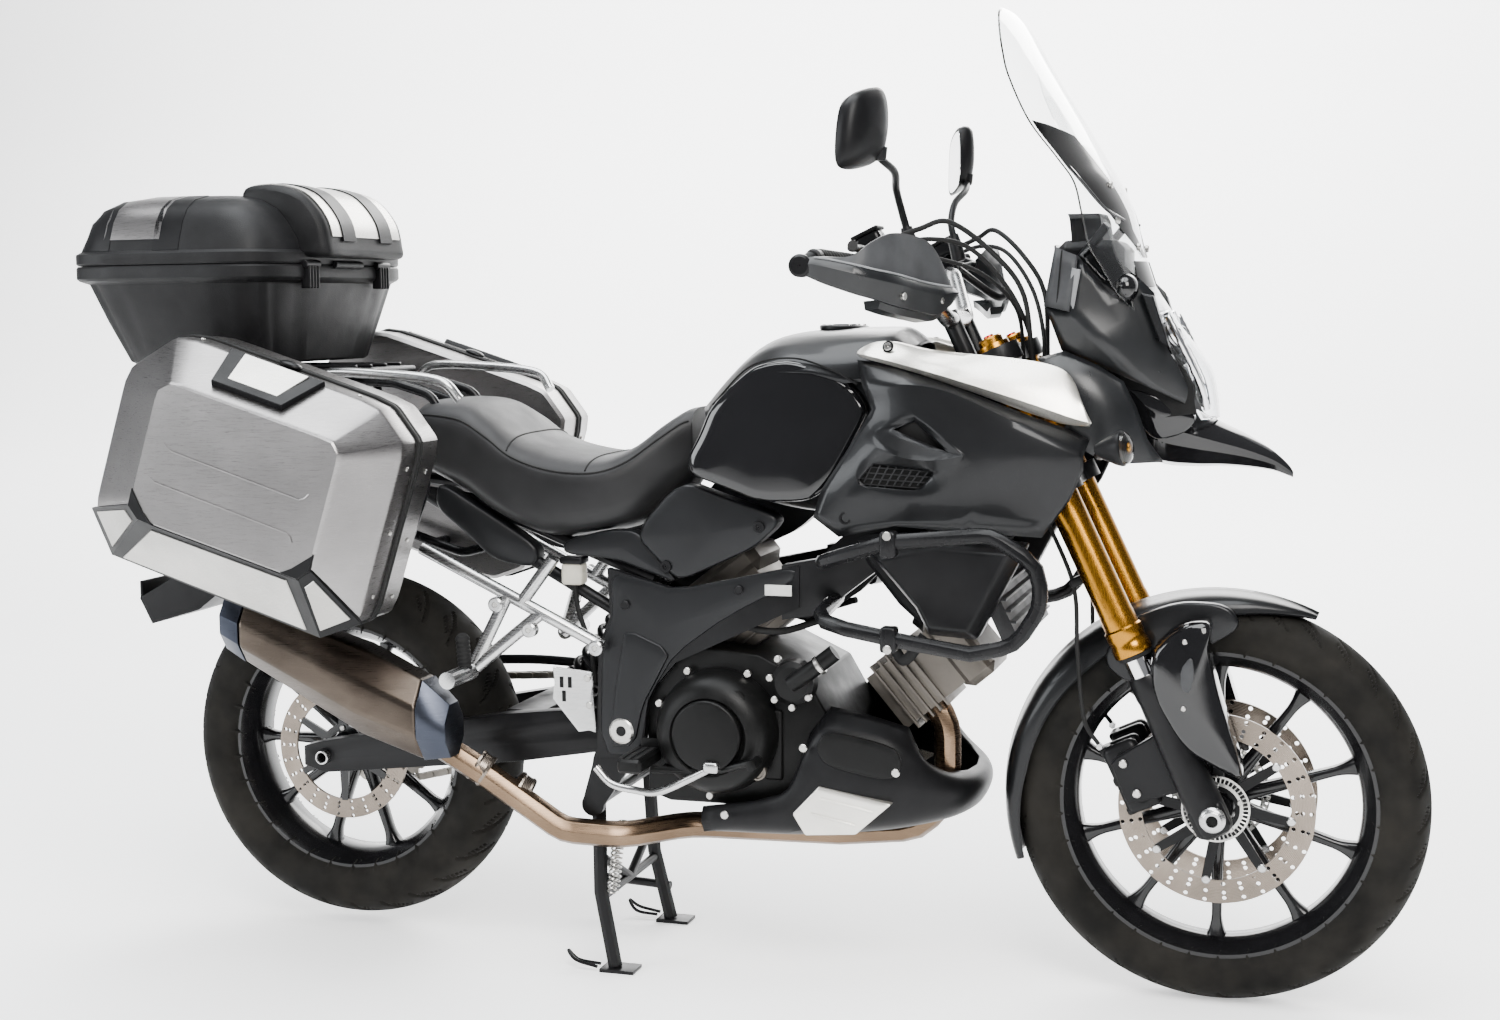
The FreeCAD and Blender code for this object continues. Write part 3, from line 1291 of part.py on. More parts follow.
def make_swingarm():
    """Two tapered arms from the pivot to the rear axle, bridged ahead of the tyre."""
    pivot = Vector(d.pivot_x, d.swingarm_inner_y, d.pivot_z)
    rear = Vector(-d.wheelbase, d.swingarm_inner_y, d.rear_tyre_radius + d.rear_wheel_lift)
    end = d.swingarm_axle_height / 2
    lift = ALONG_Z * end
    big = d.swingarm_pivot_radius
    points = [
        pivot + ALONG_Z * big, pivot - ALONG_Z * big,
        pivot + (rear - pivot) * 0.35 - ALONG_Z * big * 1.15,
        rear - lift, rear - ALONG_X * end * 1.4 - lift * 0.6, rear - ALONG_X * end * 1.4 + lift * 0.6,
        rear + lift, pivot + (rear - pivot) * 0.4 + ALONG_Z * big * 1.25,
    ]
    arm = slab(points, d.swingarm_wall)
    eye = Part.makeCylinder(big, d.swingarm_wall, pivot, ALONG_Y)
    arm = arm.fuse(eye)
    whole = [arm, mirrored(arm)]
    bridge_x = -d.wheelbase + d.rear_tyre_radius + d.swingarm_bridge_gap
    bridge_z = d.pivot_z + (rear.z - d.pivot_z) * 0.3
    bridge = Part.makeBox(d.swingarm_bridge_length, d.swingarm_inner_y * 2, big * 1.1,
                          Vector(bridge_x, -d.swingarm_inner_y, bridge_z))
    whole.append(bridge)
    solid = joined(whole)
    axle = rod(Vector(rear.x, -rear.y * 2, rear.z), Vector(rear.x, rear.y * 2, rear.z), d.axle_radius)
    pivot_hole = rod(Vector(pivot.x, -pivot.y * 2, pivot.z), Vector(pivot.x, pivot.y * 2, pivot.z),
                     d.pivot_axle_radius)
    feature("swingarm", solid.cut(axle).cut(pivot_hole))
    reach = ALONG_Y * d.rear_axle_length / 2
    centre = Vector(rear.x, 0, rear.z)
    rear_axle = hollow_rod(centre - reach, centre + reach, d.axle_radius, d.axle_bore_radius)
    reach = ALONG_Y * (d.frame_plate_y + d.frame_plate_width + d.overrun * 3)
    centre = Vector(d.pivot_x, 0, d.pivot_z)
    pivot_axle = hollow_rod(centre - reach, centre + reach, d.pivot_axle_radius, d.pivot_bore_radius)
    feature("swingarm_axles", Part.makeCompound([rear_axle, pivot_axle]))


def make_shock():
    """One damper with a coil spring between two seats, from the frame's cross tube to the link."""
    x, _, z, length, _, height = box_of("shock")
    top = Vector(x + length, 0, z + height)
    low = Vector(x, 0, z)
    along = top - low
    up = Vector(along).normalize()
    across = ALONG_Y
    front = across.cross(up)
    seat_wall = d.spring_wire_radius * 2
    solids = [rod(low, top, d.shock_radius)]
    for share in (0.28, 0.9):
        spot = low + along * share
        solids.append(Part.makeCylinder(d.spring_radius + seat_wall, seat_wall, spot, up))
    start = low + along * 0.28 + up * seat_wall
    rise = along.Length * 0.62 - seat_wall
    steps = int(d.spring_turns * d.spring_steps)
    coil = []
    for number in range(steps + 1):
        swing = 2 * math.pi * number / d.spring_steps
        radial = across * math.cos(swing) + front * math.sin(swing)
        coil.append(start + radial * d.spring_radius + up * rise * number / steps)
    solids.append(tube(coil, d.spring_wire_radius, 0, 6))
    feature("rear_shock", clear_of(joined(solids), ["main_frame", "rear_subframe", "swingarm"]))


def make_centre_stand():
    """Two legs that spread to flat feet, a cross brace, a sleeve on the pivot tube and a step tang."""
    pivot = Vector(d.stand_pivot_x, 0, d.stand_pivot_z)
    gap = ALONG_Y * (d.frame_plate_y - d.running_gap)
    bore = d.stand_pivot_radius + d.running_gap
    sleeve = hollow_rod(pivot - gap, pivot + gap, d.stand_boss_radius, bore)
    solids = []
    for side in (1, -1):
        hip = pivot + ALONG_Y * side * d.stand_leg_y
        foot = Vector(d.stand_foot_x, side * d.stand_foot_y, d.stand_foot_wall)
        knee = hip + (foot - hip) * 0.55 - ALONG_X * d.stand_leg_radius
        leg = tube([hip, knee, foot], d.stand_leg_radius, d.stand_pivot_z)
        plate = Part.makeBox(d.stand_foot_length, d.stand_foot_width, d.stand_foot_wall,
                             Vector(foot.x - d.stand_foot_length * 0.35, foot.y - d.stand_foot_width / 2, 0))
        solids += [leg, plate]
    brace = ALONG_Y * (d.stand_leg_y + d.stand_leg_radius * 0.5)
    centre = pivot - ALONG_Z * d.stand_brace_drop + ALONG_X * d.stand_leg_radius * 0.5
    solids.append(rod(centre - brace, centre + brace, d.stand_brace_radius))
    for side in (1, -1):
        high = centre + ALONG_Z * d.stand_brace_drop * 0.4 + ALONG_Y * side * d.stand_leg_y
        solids.append(rod(centre, high, d.stand_brace_radius))
    tang_root = Vector(d.stand_foot_x, d.stand_foot_y, d.stand_pivot_z - d.stand_tang_drop)
    tang_end = tang_root + Vector(-d.stand_tang_length, d.stand_foot_width / 2, 0)
    solids.append(rod(tang_root, tang_end, d.stand_brace_radius))
    whole = joined(solids)
    whole = whole.cut(rod(pivot - gap, pivot + gap, bore))
    feature("centre_stand", whole)


def side_stand_axis():
    """The stand's pin leans, so that its leg comes out to the left as it swings down."""
    lean = math.radians(d.side_stand_tilt)
    return Vector(0, math.cos(lean), math.sin(lean))


def make_side_stand():
    """Folded back along the left of the engine, with a flat foot."""
    root = Vector(d.side_stand_x, d.side_stand_y, d.side_stand_z)
    axis = side_stand_axis()
    upright = axis.cross(ALONG_X)
    heading = (upright * -0.06 - ALONG_X).normalize()
    start = root + axis * d.side_stand_boss * 0.6
    tip = start + heading * d.side_stand_length
    boss = Part.makeCylinder(d.side_stand_boss, d.side_stand_boss * 1.2, root, axis)
    leg = rod(start, tip, d.side_stand_radius)
    foot = Part.makeCylinder(d.side_stand_boss, d.side_stand_boss * 0.4, tip, heading)
    feature("side_stand", joined([boss, leg, foot]))


def make_exhaust():
    """Header pipe under the engine, link pipe and a faceted silencer with caps and a heat shield."""
    pipe = mirrored(tube(route("exhaust_pipe"), d.pipe_radius, d.pipe_radius * 3))
    feature("exhaust_pipe", clear_of(pipe, ["cylinders"]))
    x, y, z, length, width, height = box_of("muffler")
    front = Vector(x + length, -(y + width / 2), z)
    rear = Vector(x, -(y + width / 2), z + height)
    along = rear - front
    sections = []
    for share, radius_share in MUFFLER_SHARES:
        centre = front + along * share
        wide = width / 2 * radius_share
        tall = d.muffler_depth / 2 * radius_share
        ring = []
        for u, w in MUFFLER_SECTION_SHARES:
            ring.append(Vector(centre.x, centre.y + u * wide, centre.z + w * tall))
        sections.append(Part.makePolygon(ring + ring[:1]))
    body = Part.makeLoft(sections[1:4], True, True)
    front_cap = Part.makeLoft(sections[:2], True, True)
    rear_cap = Part.makeLoft(sections[3:], True, True)
    caps = Part.makeCompound([front_cap, rear_cap])
    feature("muffler", body)
    feature("muffler_caps", caps.cut(own_shape("exhaust_pipe")))


def make_crash_bars():
    loop = tube(route("crash_bar"), d.crash_tube_radius, d.crash_bar_height * 0.3)
    loop = main_solid(clear_of(loop, ["main_frame"]))
    feature("crash_bars", both_sides(loop))


def make_pegs():
    """Rider's pegs, brake pedal and gear lever, heel plates, and the passenger's pegs on bright
    V-shaped hangers."""
    x, y, z, length, width, height = box_of("rider_peg")
    peg = Part.makeBox(length, width, height, Vector(x, y, z))
    peg = peg.makeChamfer(height * 0.2, peg.Edges)
    arm = Part.makeBox(length * 0.8, y - d.frame_plate_y - d.frame_plate_width, height * 2,
                       Vector(x + length * 0.1, d.frame_plate_y + d.frame_plate_width, z - height * 0.4))
    side_pegs = joined([peg, arm])
    x, y, z, length, width, height = box_of("brake_pedal")
    lever = tube([Vector(x, y, z), Vector(x + length * 0.6, y, z + height * 0.1),
                  Vector(x + length, y + width, z + height)], d.lever_radius, d.lever_lead)
    pad_end = Vector(x + length, y + width, z + height)
    toe = rod(pad_end, pad_end + ALONG_Y * width * 2, d.lever_radius * 1.4)
    link_root = Vector(x + length * 0.1, d.frame_plate_y, z)
    link = rod(link_root, Vector(link_root.x, y, z), d.lever_radius * 1.2)
    pedal = joined([lever, toe, link, side_pegs])
    feature("foot_controls", clear_of(both_sides(pedal), ["engine_covers", "main_frame", "engine_case"]))
    plate = clear_of(plain_panel("heel_plate"), ["foot_controls", "main_frame"])
    hangers = []
    for name in ("hanger_bar", "hanger_branch", "hanger_front", "hanger_rear"):
        start, end = route(name, "hanger")
        hangers.append(rod(start, end, d.subframe_tube_radius))
    apex = route("hanger_front", "hanger")[1]
    rest = rod(apex, apex + ALONG_Y * d.passenger_peg_length, d.subframe_tube_radius * 1.3)
    hanger = clear_of(joined(hangers + [rest]), ["main_frame", "rear_subframe", "swingarm_axles"])
    feature("foot_hangers", Part.makeCompound([hanger, mirrored(hanger), plate, mirrored(plate)]))


def make_rear_caliper():
    x, y, z, length, width, height = box_of("rear_caliper")
    block = Part.makeBox(length, width, height, Vector(x, -y - width / 2, z + height))
    block = block.makeChamfer(height * 0.15, block.Edges)
    centre = Vector(-d.wheelbase, 0, d.rear_tyre_radius + d.rear_wheel_lift)
    line = d.rear_hub_length / 2 - d.disc_thickness / 2
    slot = Part.makeCylinder(d.rear_disc_radius + d.overrun + d.running_gap, d.disc_slot,
                             centre - ALONG_Y * (line + d.disc_slot / 2), ALONG_Y)
    feature("rear_caliper", clear_of(block.cut(slot), ["swingarm", "swingarm_axles"]))


# Bodywork

def steering_room():
    """The space that the yokes and the fork sweep through as they turn, drawn along the steering axis."""
    eye = d.fork_outer_radius + d.yoke_wall
    reach = math.hypot(d.fork_spread, d.steering_offset - d.fork_lead) + eye + d.steering_gap
    low = d.carrier_top_rise
    high = d.fork_top_rise + d.fork_cap_height + d.steering_gap
    drum = Part.makeCylinder(reach, high - low, Vector(-d.steering_offset, 0, low))
    back = Vector(-d.steering_offset - eye * 2 - d.steering_gap, -reach, low)
    room = drum.common(Part.makeBox(reach * 2 + eye * 2, reach * 2, high - low, back))
    riser_reach = math.hypot(d.bar_setback - d.steering_offset, d.riser_y) + d.riser_radius + d.steering_gap
    clamp_high = d.bar_rise + d.bar_radius + d.steering_gap
    clamp_room = Part.makeCylinder(riser_reach, clamp_high - low, Vector(-d.steering_offset, 0, low))
    room = room.fuse(clamp_room)
    room.rotate(ORIGIN, ALONG_Y, -d.rake_angle)
    room.translate(ALONG_Z * d.front_tyre_radius)
    return room


def make_tank():
    """A lofted shell form, wide behind the steering head and narrow at the knees."""
    x, _, z, length, width, height = box_of("fuel_tank")
    sections = []
    for u, half, low, high in TANK_SECTION_SHARES:
        sections.append(oval_section(x + u * length, half * width, z + low * height, z + high * height))
    tank = Part.makeLoft(sections, True, False)
    cap_spot = Vector(x + length * 0.5, 0, z + height * 0.9)
    cap = Part.makeCylinder(d.filler_cap_radius, height * 0.1 + d.overrun * 2, cap_spot)
    tank = clear_of(tank, ["main_frame", "cylinders", "rear_subframe", "radiator"]).cut(steering_room())
    feature("fuel_tank", tank.fuse(cap).removeSplitter())


def make_seat():
    """Side profile and plan brought together: a stepped two-up saddle."""
    x, _, z, length, width, height = box_of("seat")
    profile = slab(outline_points("seat", -width), width * 2)
    edge = [Vector(x + u * length, w * width, z) for u, w in OUTLINE_SHARES["seat_plan"]]
    ring = edge + [Vector(point.x, -point.y, point.z) for point in edge[::-1]]
    plan = Part.Face(Part.makePolygon(ring + ring[:1])).extrude(ALONG_Z * height)
    saddle = profile.common(plan)
    feature("seat", clear_of(saddle, ["rear_subframe", "fuel_tank", "main_frame"]))


def make_side_panels():
    trim = clear_of(crowned_panel("silver_trim"), ["fuel_tank"]).cut(steering_room())
    insert = plain_panel("belly_insert")
    feature("silver_trims", Part.makeCompound([trim, mirrored(trim), insert, mirrored(insert)]))
    tank_side = clear_of(crowned_panel("tank_side"), ["fuel_tank", "silver_trims", "main_frame", "seat"])
    feature("tank_sides", both_sides(tank_side))
    fairing = crowned_panel("fairing").cut(steering_room())
    feature("fairings", both_sides(clear_of(fairing, ["fuel_tank", "silver_trims", "tank_sides"])))
    feature("radiator_shrouds", both_sides(clear_of(crowned_panel("shroud"), ["radiator", "fairings"])))
    covers = joined([crowned_panel("side_cover"), crowned_panel("rear_cover")])
    neighbours = ["fuel_tank", "seat", "tank_sides", "main_frame", "rear_subframe", "foot_hangers"]
    feature("side_covers", both_sides(clear_of(covers, neighbours)))


def make_nose():
    """Headlamp behind a clear lens, between cowl sides, over a pointed beak."""
    lamp = centred_panel("headlight")
    feature("headlight", lamp)
    cowl = joined([crowned_panel("cowl"), crowned_panel("inner_cowl")]).cut(steering_room())
    feature("cowl_sides", both_sides(clear_of(cowl, ["headlight", "fairings", "silver_trims"])))
    feature("beak", clear_of(centred_panel("beak"), ["headlight", "cowl_sides"]))
    x, _, z, length, width, height = box_of("dash")
    dash = Part.makeBox(length, width * 2, height, Vector(x, -width, z))
    dash = dash.makeChamfer(height * 0.12, dash.Edges)
    feature("instrument_panel", clear_of(dash, ["headlight", "cowl_sides"]))


def make_screen():
    """A tall clear sheet, bowed across and leaning back, narrower at the top."""
    x, _, z, length, width, height = box_of("screen")
    sections = []
    for u, half, back, w in SCREEN_SHARES:
        centre = x + u * length
        edge = half * width
        outer = []
        for depth in (0, d.screen_wall):
            left = Vector(centre - back * length - depth, edge, z + w * height)
            middle = Vector(centre - depth, 0, z + w * height)
            right = Vector(left.x, -edge, left.z)
            outer.append((left, middle, right))
        front, rear = outer
        edges = [
            Part.Arc(*front).toShape(),
            Part.LineSegment(front[2], rear[2]).toShape(),
            Part.Arc(*rear[::-1]).toShape(),
            Part.LineSegment(rear[0], front[0]).toShape(),
        ]
        sections.append(Part.Wire(edges))
    sheet_shape = Part.makeLoft(sections, True, True)
    feature("windscreen", clear_of(sheet_shape, ["headlight", "cowl_sides", "instrument_panel"]))


def make_tail():
    """Tail under the luggage, the long carrier of the number plate, the tail lamp and indicators."""
    x, _, z, length, width, height = box_of("tail")
    sections = []
    for u, half, low, high in TAIL_SECTION_SHARES:
        sections.append(oval_section(x + u * length, half * width, z + low * height, z + high * height))
    tail = Part.makeLoft(sections, True, True)
    feature("tail_cover", clear_of(tail, ["rear_subframe", "seat", "side_covers"]))
    x, _, z, length, width, height = box_of("tail_lamp")
    tail_lamp = Part.makeBox(length, width * 2, height, Vector(x, -width, z))
    x, _, z, length, width, height = box_of("rear_fender")
    outline = [Vector(x + u * length, -width, z + w * height) for u, w in FENDER_ARM_SHARES]
    arm = slab(outline, width * 2)
    feature("rear_fender", clear_of(arm, ["tail_cover", "rear_subframe"]).cut(tail_lamp))
    x, y, z, length, width, height = box_of("front_indicator")
    centre = Vector(x + length / 2, y, z + height / 2)
    root, tip = route("indicator_stalk", "front_indicator")
    stalk = rod(root, tip, height * 0.16)
    glass = Part.makeSphere(height / 2, centre + ALONG_Y * width * 0.5)
    indicator = clear_of(joined([stalk, glass]), ["fairings", "silver_trims", "cowl_sides"])
    tail_lamp = clear_of(tail_lamp, ["tail_cover"])
    feature("lamps", Part.makeCompound([indicator, mirrored(indicator), tail_lamp]))


# Luggage

def case_point(u, depth, w):
    """A point of a side case: shares of its length and height about its middle, leaned nose down."""
    along = u * d.pannier_length
    up = w * d.pannier_height
    lean = math.radians(d.pannier_lean)
    x = along * math.cos(lean) + up * math.sin(lean)
    z = -along * math.sin(lean) + up * math.cos(lean)
    return Vector(d.pannier_x + x, d.pannier_y + depth, d.pannier_z + z)


def case_ring(depth, long_share, tall_share, corner_share, shift=0, inset=0):
    """An eight-sided outline across the case at one depth, shifted forwards and up by a share."""
    half_u = long_share / 2 - inset / d.pannier_length
    half_w = tall_share / 2 - inset / d.pannier_height
    cut_u = corner_share * long_share
    cut_w = corner_share * tall_share * 1.2
    corners = [
        (half_u - cut_u, half_w), (-half_u + cut_u, half_w), (-half_u, half_w - cut_w),
        (-half_u, -half_w + cut_w), (-half_u + cut_u, -half_w), (half_u - cut_u, -half_w),
        (half_u, -half_w + cut_w), (half_u, half_w - cut_w),
    ]
    points = [case_point(u + shift, depth, w + shift) for u, w in corners]
    return Part.makePolygon(points + points[:1])


def hollow_case(rings, open_first):
    """A lofted shell with an even wall, open where the two halves of the case meet."""
    wall = d.case_wall
    outer_rings = [case_ring(depth, *shares) for depth, *shares in rings]
    outer = Part.makeLoft(outer_rings, True, True)
    inner_rings = []
    for number, (depth, *shares) in enumerate(rings):
        at_mouth = number == 0 if open_first else number == len(rings) - 1
        at_floor = number == len(rings) - 1 if open_first else number == 0
        if at_mouth:
            depth += -d.overrun if open_first else d.overrun
        if at_floor:
            depth += -wall if open_first else wall
        inner_rings.append(case_ring(depth, *shares, inset=wall))
    inner = Part.makeLoft(inner_rings, True, True)
    return outer.cut(inner)


def hinged(base, lid, middle, along):
    """Gives the base two barrels and the lid one between them, on the hinge line with running gaps."""
    gap = d.running_gap
    last = d.hinge_inset + d.hinge_length
    for flank in (along, -along):
        start = middle + flank * d.hinge_inset
        end = middle + flank * last
        base = base.fuse(rod(start, end, d.hinge_radius))
        lid = lid.cut(rod(start - flank * gap, end + flank * gap, d.hinge_radius + gap))
    low = middle - along * d.hinge_length
    high = middle + along * d.hinge_length
    base = base.cut(rod(low - along * gap, high + along * gap, d.hinge_radius + gap))
    lid = lid.fuse(rod(low, high, d.hinge_radius))
    return base.removeSplitter(), lid.removeSplitter()


def make_side_cases():
    width = d.pannier_width
    seam = width * d.pannier_seam_share
    base_rings = [(0, 0.97, 0.97, 0.16), (seam - d.case_lid_gap, 1, 1, 0.16)]
    lid_rings = [(seam, 1, 1, 0.16), (width * 0.52, 0.98, 0.98, 0.16), (width, 0.61, 0.59, 0.1, 0.075)]
    base = hollow_case(base_rings, False)
    lid = hollow_case(lid_rings, True)
    middle = case_point(0, seam, -0.5)
    along = (case_point(0.5, seam, -0.5) - middle).normalize()
    base, lid = hinged(base, lid, middle, along)
    feature("case_bases", both_sides(base))
    feature("left_case_lid", lid)
    feature("right_case_lid", mirrored(lid))


def make_racks():
    """A bent tube loop inside each side case, stayed to the tail, and the top case's carrier."""
    loop = route("rack_loop", "rack")
    ring = tube(loop + [loop[0] + (loop[1] - loop[0]) * 0.2], d.rack_tube_radius, d.rack_height * 0.16)
    stays = []
    for number, target in ((1, "rear_subframe"), (3, "tail")):
        spot = loop[number]
        end = Vector(spot.x, d.tail_width * 0.72, spot.z)
        stays.append(rod(end, spot, d.rack_tube_radius))
    pads = []
    for u, w in RACK_PAD_SHARES:
        spot = inside("rack", (u, 0, w))
        pads.append(rod(spot, Vector(spot.x, d.pannier_y - d.fit_gap, spot.z), d.rack_tube_radius))
    side = joined([ring] + stays + pads)
    x, _, z, length, width, height = box_of("top_rack")
    floor = d.top_case_z
    plate = Part.makeBox(length, width * 2, height * 0.3, Vector(x, -width, floor - height * 0.3))
    posts = []
    for u, flank in ((0.35, 1), (0.35, -1), (0.95, 1), (0.95, -1)):
        foot = Vector(x + u * length, flank * width * 0.55, d.tail_z + d.tail_height * 0.5)
        posts.append(rod(foot, Vector(foot.x, foot.y, floor - height * 0.3), d.rack_tube_radius))
    whole = Part.makeCompound([side, mirrored(side), joined([plate] + posts)])
    neighbours = ["rear_subframe", "tail_cover", "rear_fender", "case_bases", "seat"]
    feature("luggage_racks", clear_of(whole, neighbours))


def top_ring(z, long_low, long_high, half_width, corner, inset=0):
    """A rounded plan outline of the top case at one height."""
    x, _, _, length, width, _ = box_of("top_case")
    rear = x + long_low * length + inset
    front = x + long_high * length - inset
    half = half_width * width - inset
    cut = corner * width
    points = [
        Vector(front - cut * 0.6, half, z), Vector(rear + cut, half, z), Vector(rear, half - cut, z),
        Vector(rear, -half + cut, z), Vector(rear + cut, -half, z), Vector(front - cut * 0.6, -half, z),
        Vector(front, -half + cut * 0.6, z), Vector(front, half - cut * 0.6, z),
    ]
    return Part.makePolygon(points + points[:1])


def hollow_top(rows, open_top):
    _, _, z, _, _, height = box_of("top_case")
    wall = d.case_wall
    outer = Part.makeLoft([top_ring(z + w * height, *shares) for w, *shares in rows], True, True)
    inner = []
    for number, (w, *shares) in enumerate(rows):
        level = z + w * height
        first = number == 0
        last = number == len(rows) - 1
        if first:
            level += wall if open_top else -d.overrun
        if last:
            level += d.overrun if open_top else -wall
        inner.append(top_ring(level, *shares, inset=wall))
    return outer.cut(Part.makeLoft(inner, True, True))


def make_top_case():
    x, _, z, length, width, height = box_of("top_case")
    base = hollow_top(TOP_BASE_SHARES, True)
    rim_low, rim_high = TOP_RIM_SHARES
    low = z + rim_low * height
    high = z + rim_high * height
    rim = Part.makeLoft([top_ring(low, 0, 1, 1, 0.2), top_ring(high, 0, 1, 1, 0.2)], True, True)
    hole_low = top_ring(low - d.overrun, 0, 1, 1, 0.2, d.case_rim)
    hole_high = top_ring(high + d.overrun, 0, 1, 1, 0.2, d.case_rim)
    hole = Part.makeLoft([hole_low, hole_high], True, True)
    lid = hollow_top(TOP_LID_SHARES, False)
    hump_points = [Vector(x + u * length, -d.hump_half_width, z + w * height) for u, w in HUMP_SHARES]
    hump = slab(hump_points, d.hump_half_width * 2)
    rings = [top_ring(z + w * height, *shares, inset=d.case_wall) for w, *shares in TOP_LID_SHARES[:3]]
    room = Part.makeLoft(rings, True, True)
    hinge_line = Vector(x + length, 0, z + TOP_LID_SHARES[0][0] * height)
    base, lid = hinged(joined([base, rim.cut(hole)]), joined([lid, hump.cut(room)]), hinge_line, ALONG_Y)
    feature("top_case_base", base)
    feature("top_case_lid", lid)


def make_chain():
    centre = Vector(d.drive_sprocket_x, d.chain_line - d.sprocket_width / 2, d.drive_sprocket_z)
    sprocket = Part.makeCylinder(d.drive_sprocket_radius, d.sprocket_width, centre, ALONG_Y)
    bodies = chain_loop(d.running_gap, d.chain_height).Solids
    feature("drive_chain", Part.makeCompound(bodies + [sprocket]))


def make_belly_guard():
    """A tub under the engine: two faceted sides, a floor, and a bright plate let into each side."""
    x, _, z, length, width, height = box_of("belly_guard")
    outer = slab(outline_points("belly_guard", -width), width * 2)
    inner = outline_points("belly_guard", -width + d.panel_wall)
    room_points = [point + Vector(-d.panel_wall, 0, d.panel_wall) for point in inner]
    room = slab(room_points, (width - d.panel_wall) * 2)
    feature("belly_guard", clear_of(outer.cut(room), ["exhaust_pipe", "cylinders"]))


make_tyre("front", place_on_front_axle)
make_tyre("rear", place_on_rear_axle)
make_rim("front", place_on_front_axle)
make_rim("rear", place_on_rear_axle)
make_disc("front_discs", "front", place_on_front_axle, True)
make_disc("rear_disc", "rear", place_on_rear_axle, False)
make_sprocket()
make_yokes()
make_fork()
make_fork_guards()
make_front_fender()
make_handlebar()
make_hand_guards()
make_mirrors()
make_front_calipers()
make_main_frame()
make_subframe()
make_engine()
make_radiator()
make_swingarm()
make_shock()
make_centre_stand()
make_side_stand()
make_exhaust()
make_crash_bars()
make_pegs()
make_rear_caliper()
make_tank()
make_seat()
make_side_panels()
make_nose()
make_screen()
make_tail()
make_side_cases()
make_racks()
make_top_case()
make_chain()
make_belly_guard()

document.recompute()
for thing in document.Objects:
    if "Invalid" in thing.State or "Error" in thing.State:
        raise ValueError(f"{thing.Name} failed: {thing.State}")
os.makedirs("parts", exist_ok=True)
for piece in parts:
    if piece.Shape.isNull() or not piece.Shape.isValid():
        raise ValueError(f"{piece.Label} has no sound shape")
    piece.Shape.exportStep(f"parts/{piece.Label}.step")
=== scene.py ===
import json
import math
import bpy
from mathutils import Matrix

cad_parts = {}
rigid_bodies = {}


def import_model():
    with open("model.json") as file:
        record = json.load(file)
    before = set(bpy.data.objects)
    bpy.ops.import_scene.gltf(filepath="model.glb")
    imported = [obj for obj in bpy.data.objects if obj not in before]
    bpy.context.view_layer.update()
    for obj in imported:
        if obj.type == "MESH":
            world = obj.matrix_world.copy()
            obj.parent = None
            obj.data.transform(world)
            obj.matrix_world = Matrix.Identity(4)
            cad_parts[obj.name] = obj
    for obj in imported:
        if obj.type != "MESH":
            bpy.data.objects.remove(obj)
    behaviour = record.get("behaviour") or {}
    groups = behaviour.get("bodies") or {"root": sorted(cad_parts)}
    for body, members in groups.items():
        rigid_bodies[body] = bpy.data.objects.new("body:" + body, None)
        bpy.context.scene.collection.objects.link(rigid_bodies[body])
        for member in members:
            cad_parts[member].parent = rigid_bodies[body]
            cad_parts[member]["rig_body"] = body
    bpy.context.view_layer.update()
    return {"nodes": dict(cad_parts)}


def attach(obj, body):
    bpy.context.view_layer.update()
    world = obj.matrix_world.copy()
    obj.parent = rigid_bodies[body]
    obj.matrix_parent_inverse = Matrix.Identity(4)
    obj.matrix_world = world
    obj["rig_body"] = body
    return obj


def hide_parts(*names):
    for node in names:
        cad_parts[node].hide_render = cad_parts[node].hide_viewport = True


bl_info = {
    "name": "Touring motorcycle looks",
    "version": (1, 0, 0),
    "blender": (4, 5, 0),
    "location": "3D View > Sidebar > Motorcycle",
    "description": "Dresses the packed motorcycle with its surfaces, finishes, floor, lights and camera",
    "category": "Add Mesh",
}

import bmesh
import bpy
import numpy as np
from mathutils import Matrix, Vector

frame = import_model()

# Lengths below are millimetres in the model's own frame: X forward, Y to the rider's left, Z up.
# MERGE is the distance under which points are joined, FLAT and SHARP are angles between faces.

FRONT_AXLE = np.array([823.0, 0.0, 329.0])
REAR_AXLE = np.array([-732.0, 0.0, 341.0])
RAKE = math.radians(25)
CASE_MIDDLE = (-715.0, 858.0)
CASE_LEAN = math.radians(18)
METRES = 0.001
MERGE = 0.02
FLAT = math.radians(1.5)
SHARP = math.radians(35)
AXLE_WAY = (0, 1, 0)


# Settings that a user would change

class MotorcycleColours(bpy.types.PropertyGroup):
    satin_grey: bpy.props.FloatVectorProperty(
        name="Satin grey", description="Tank top, fairings and front fender",
        subtype="COLOR", size=3, min=0, max=1, default=(0.0075, 0.0078, 0.0086))
    gloss_black: bpy.props.FloatVectorProperty(
        name="Gloss black", description="Tank sides and beak",
        subtype="COLOR", size=3, min=0, max=1, default=(0.004, 0.004, 0.0045))
    champagne: bpy.props.FloatVectorProperty(
        name="Champagne", description="Long side trims",
        subtype="COLOR", size=3, min=0, max=1, default=(0.66, 0.64, 0.59))
    gold: bpy.props.FloatVectorProperty(
        name="Gold", description="Outer fork tubes",
        subtype="COLOR", size=3, min=0, max=1, default=(0.343, 0.156, 0.0172))
    case_metal: bpy.props.FloatVectorProperty(
        name="Case metal", description="Brushed sheets of the side cases",
        subtype="COLOR", size=3, min=0, max=1, default=(0.23, 0.222, 0.22))
    pipe_metal: bpy.props.FloatVectorProperty(
        name="Pipe metal", description="Heat-tinted exhaust",
        subtype="COLOR", size=3, min=0, max=1, default=(0.17, 0.115, 0.075))


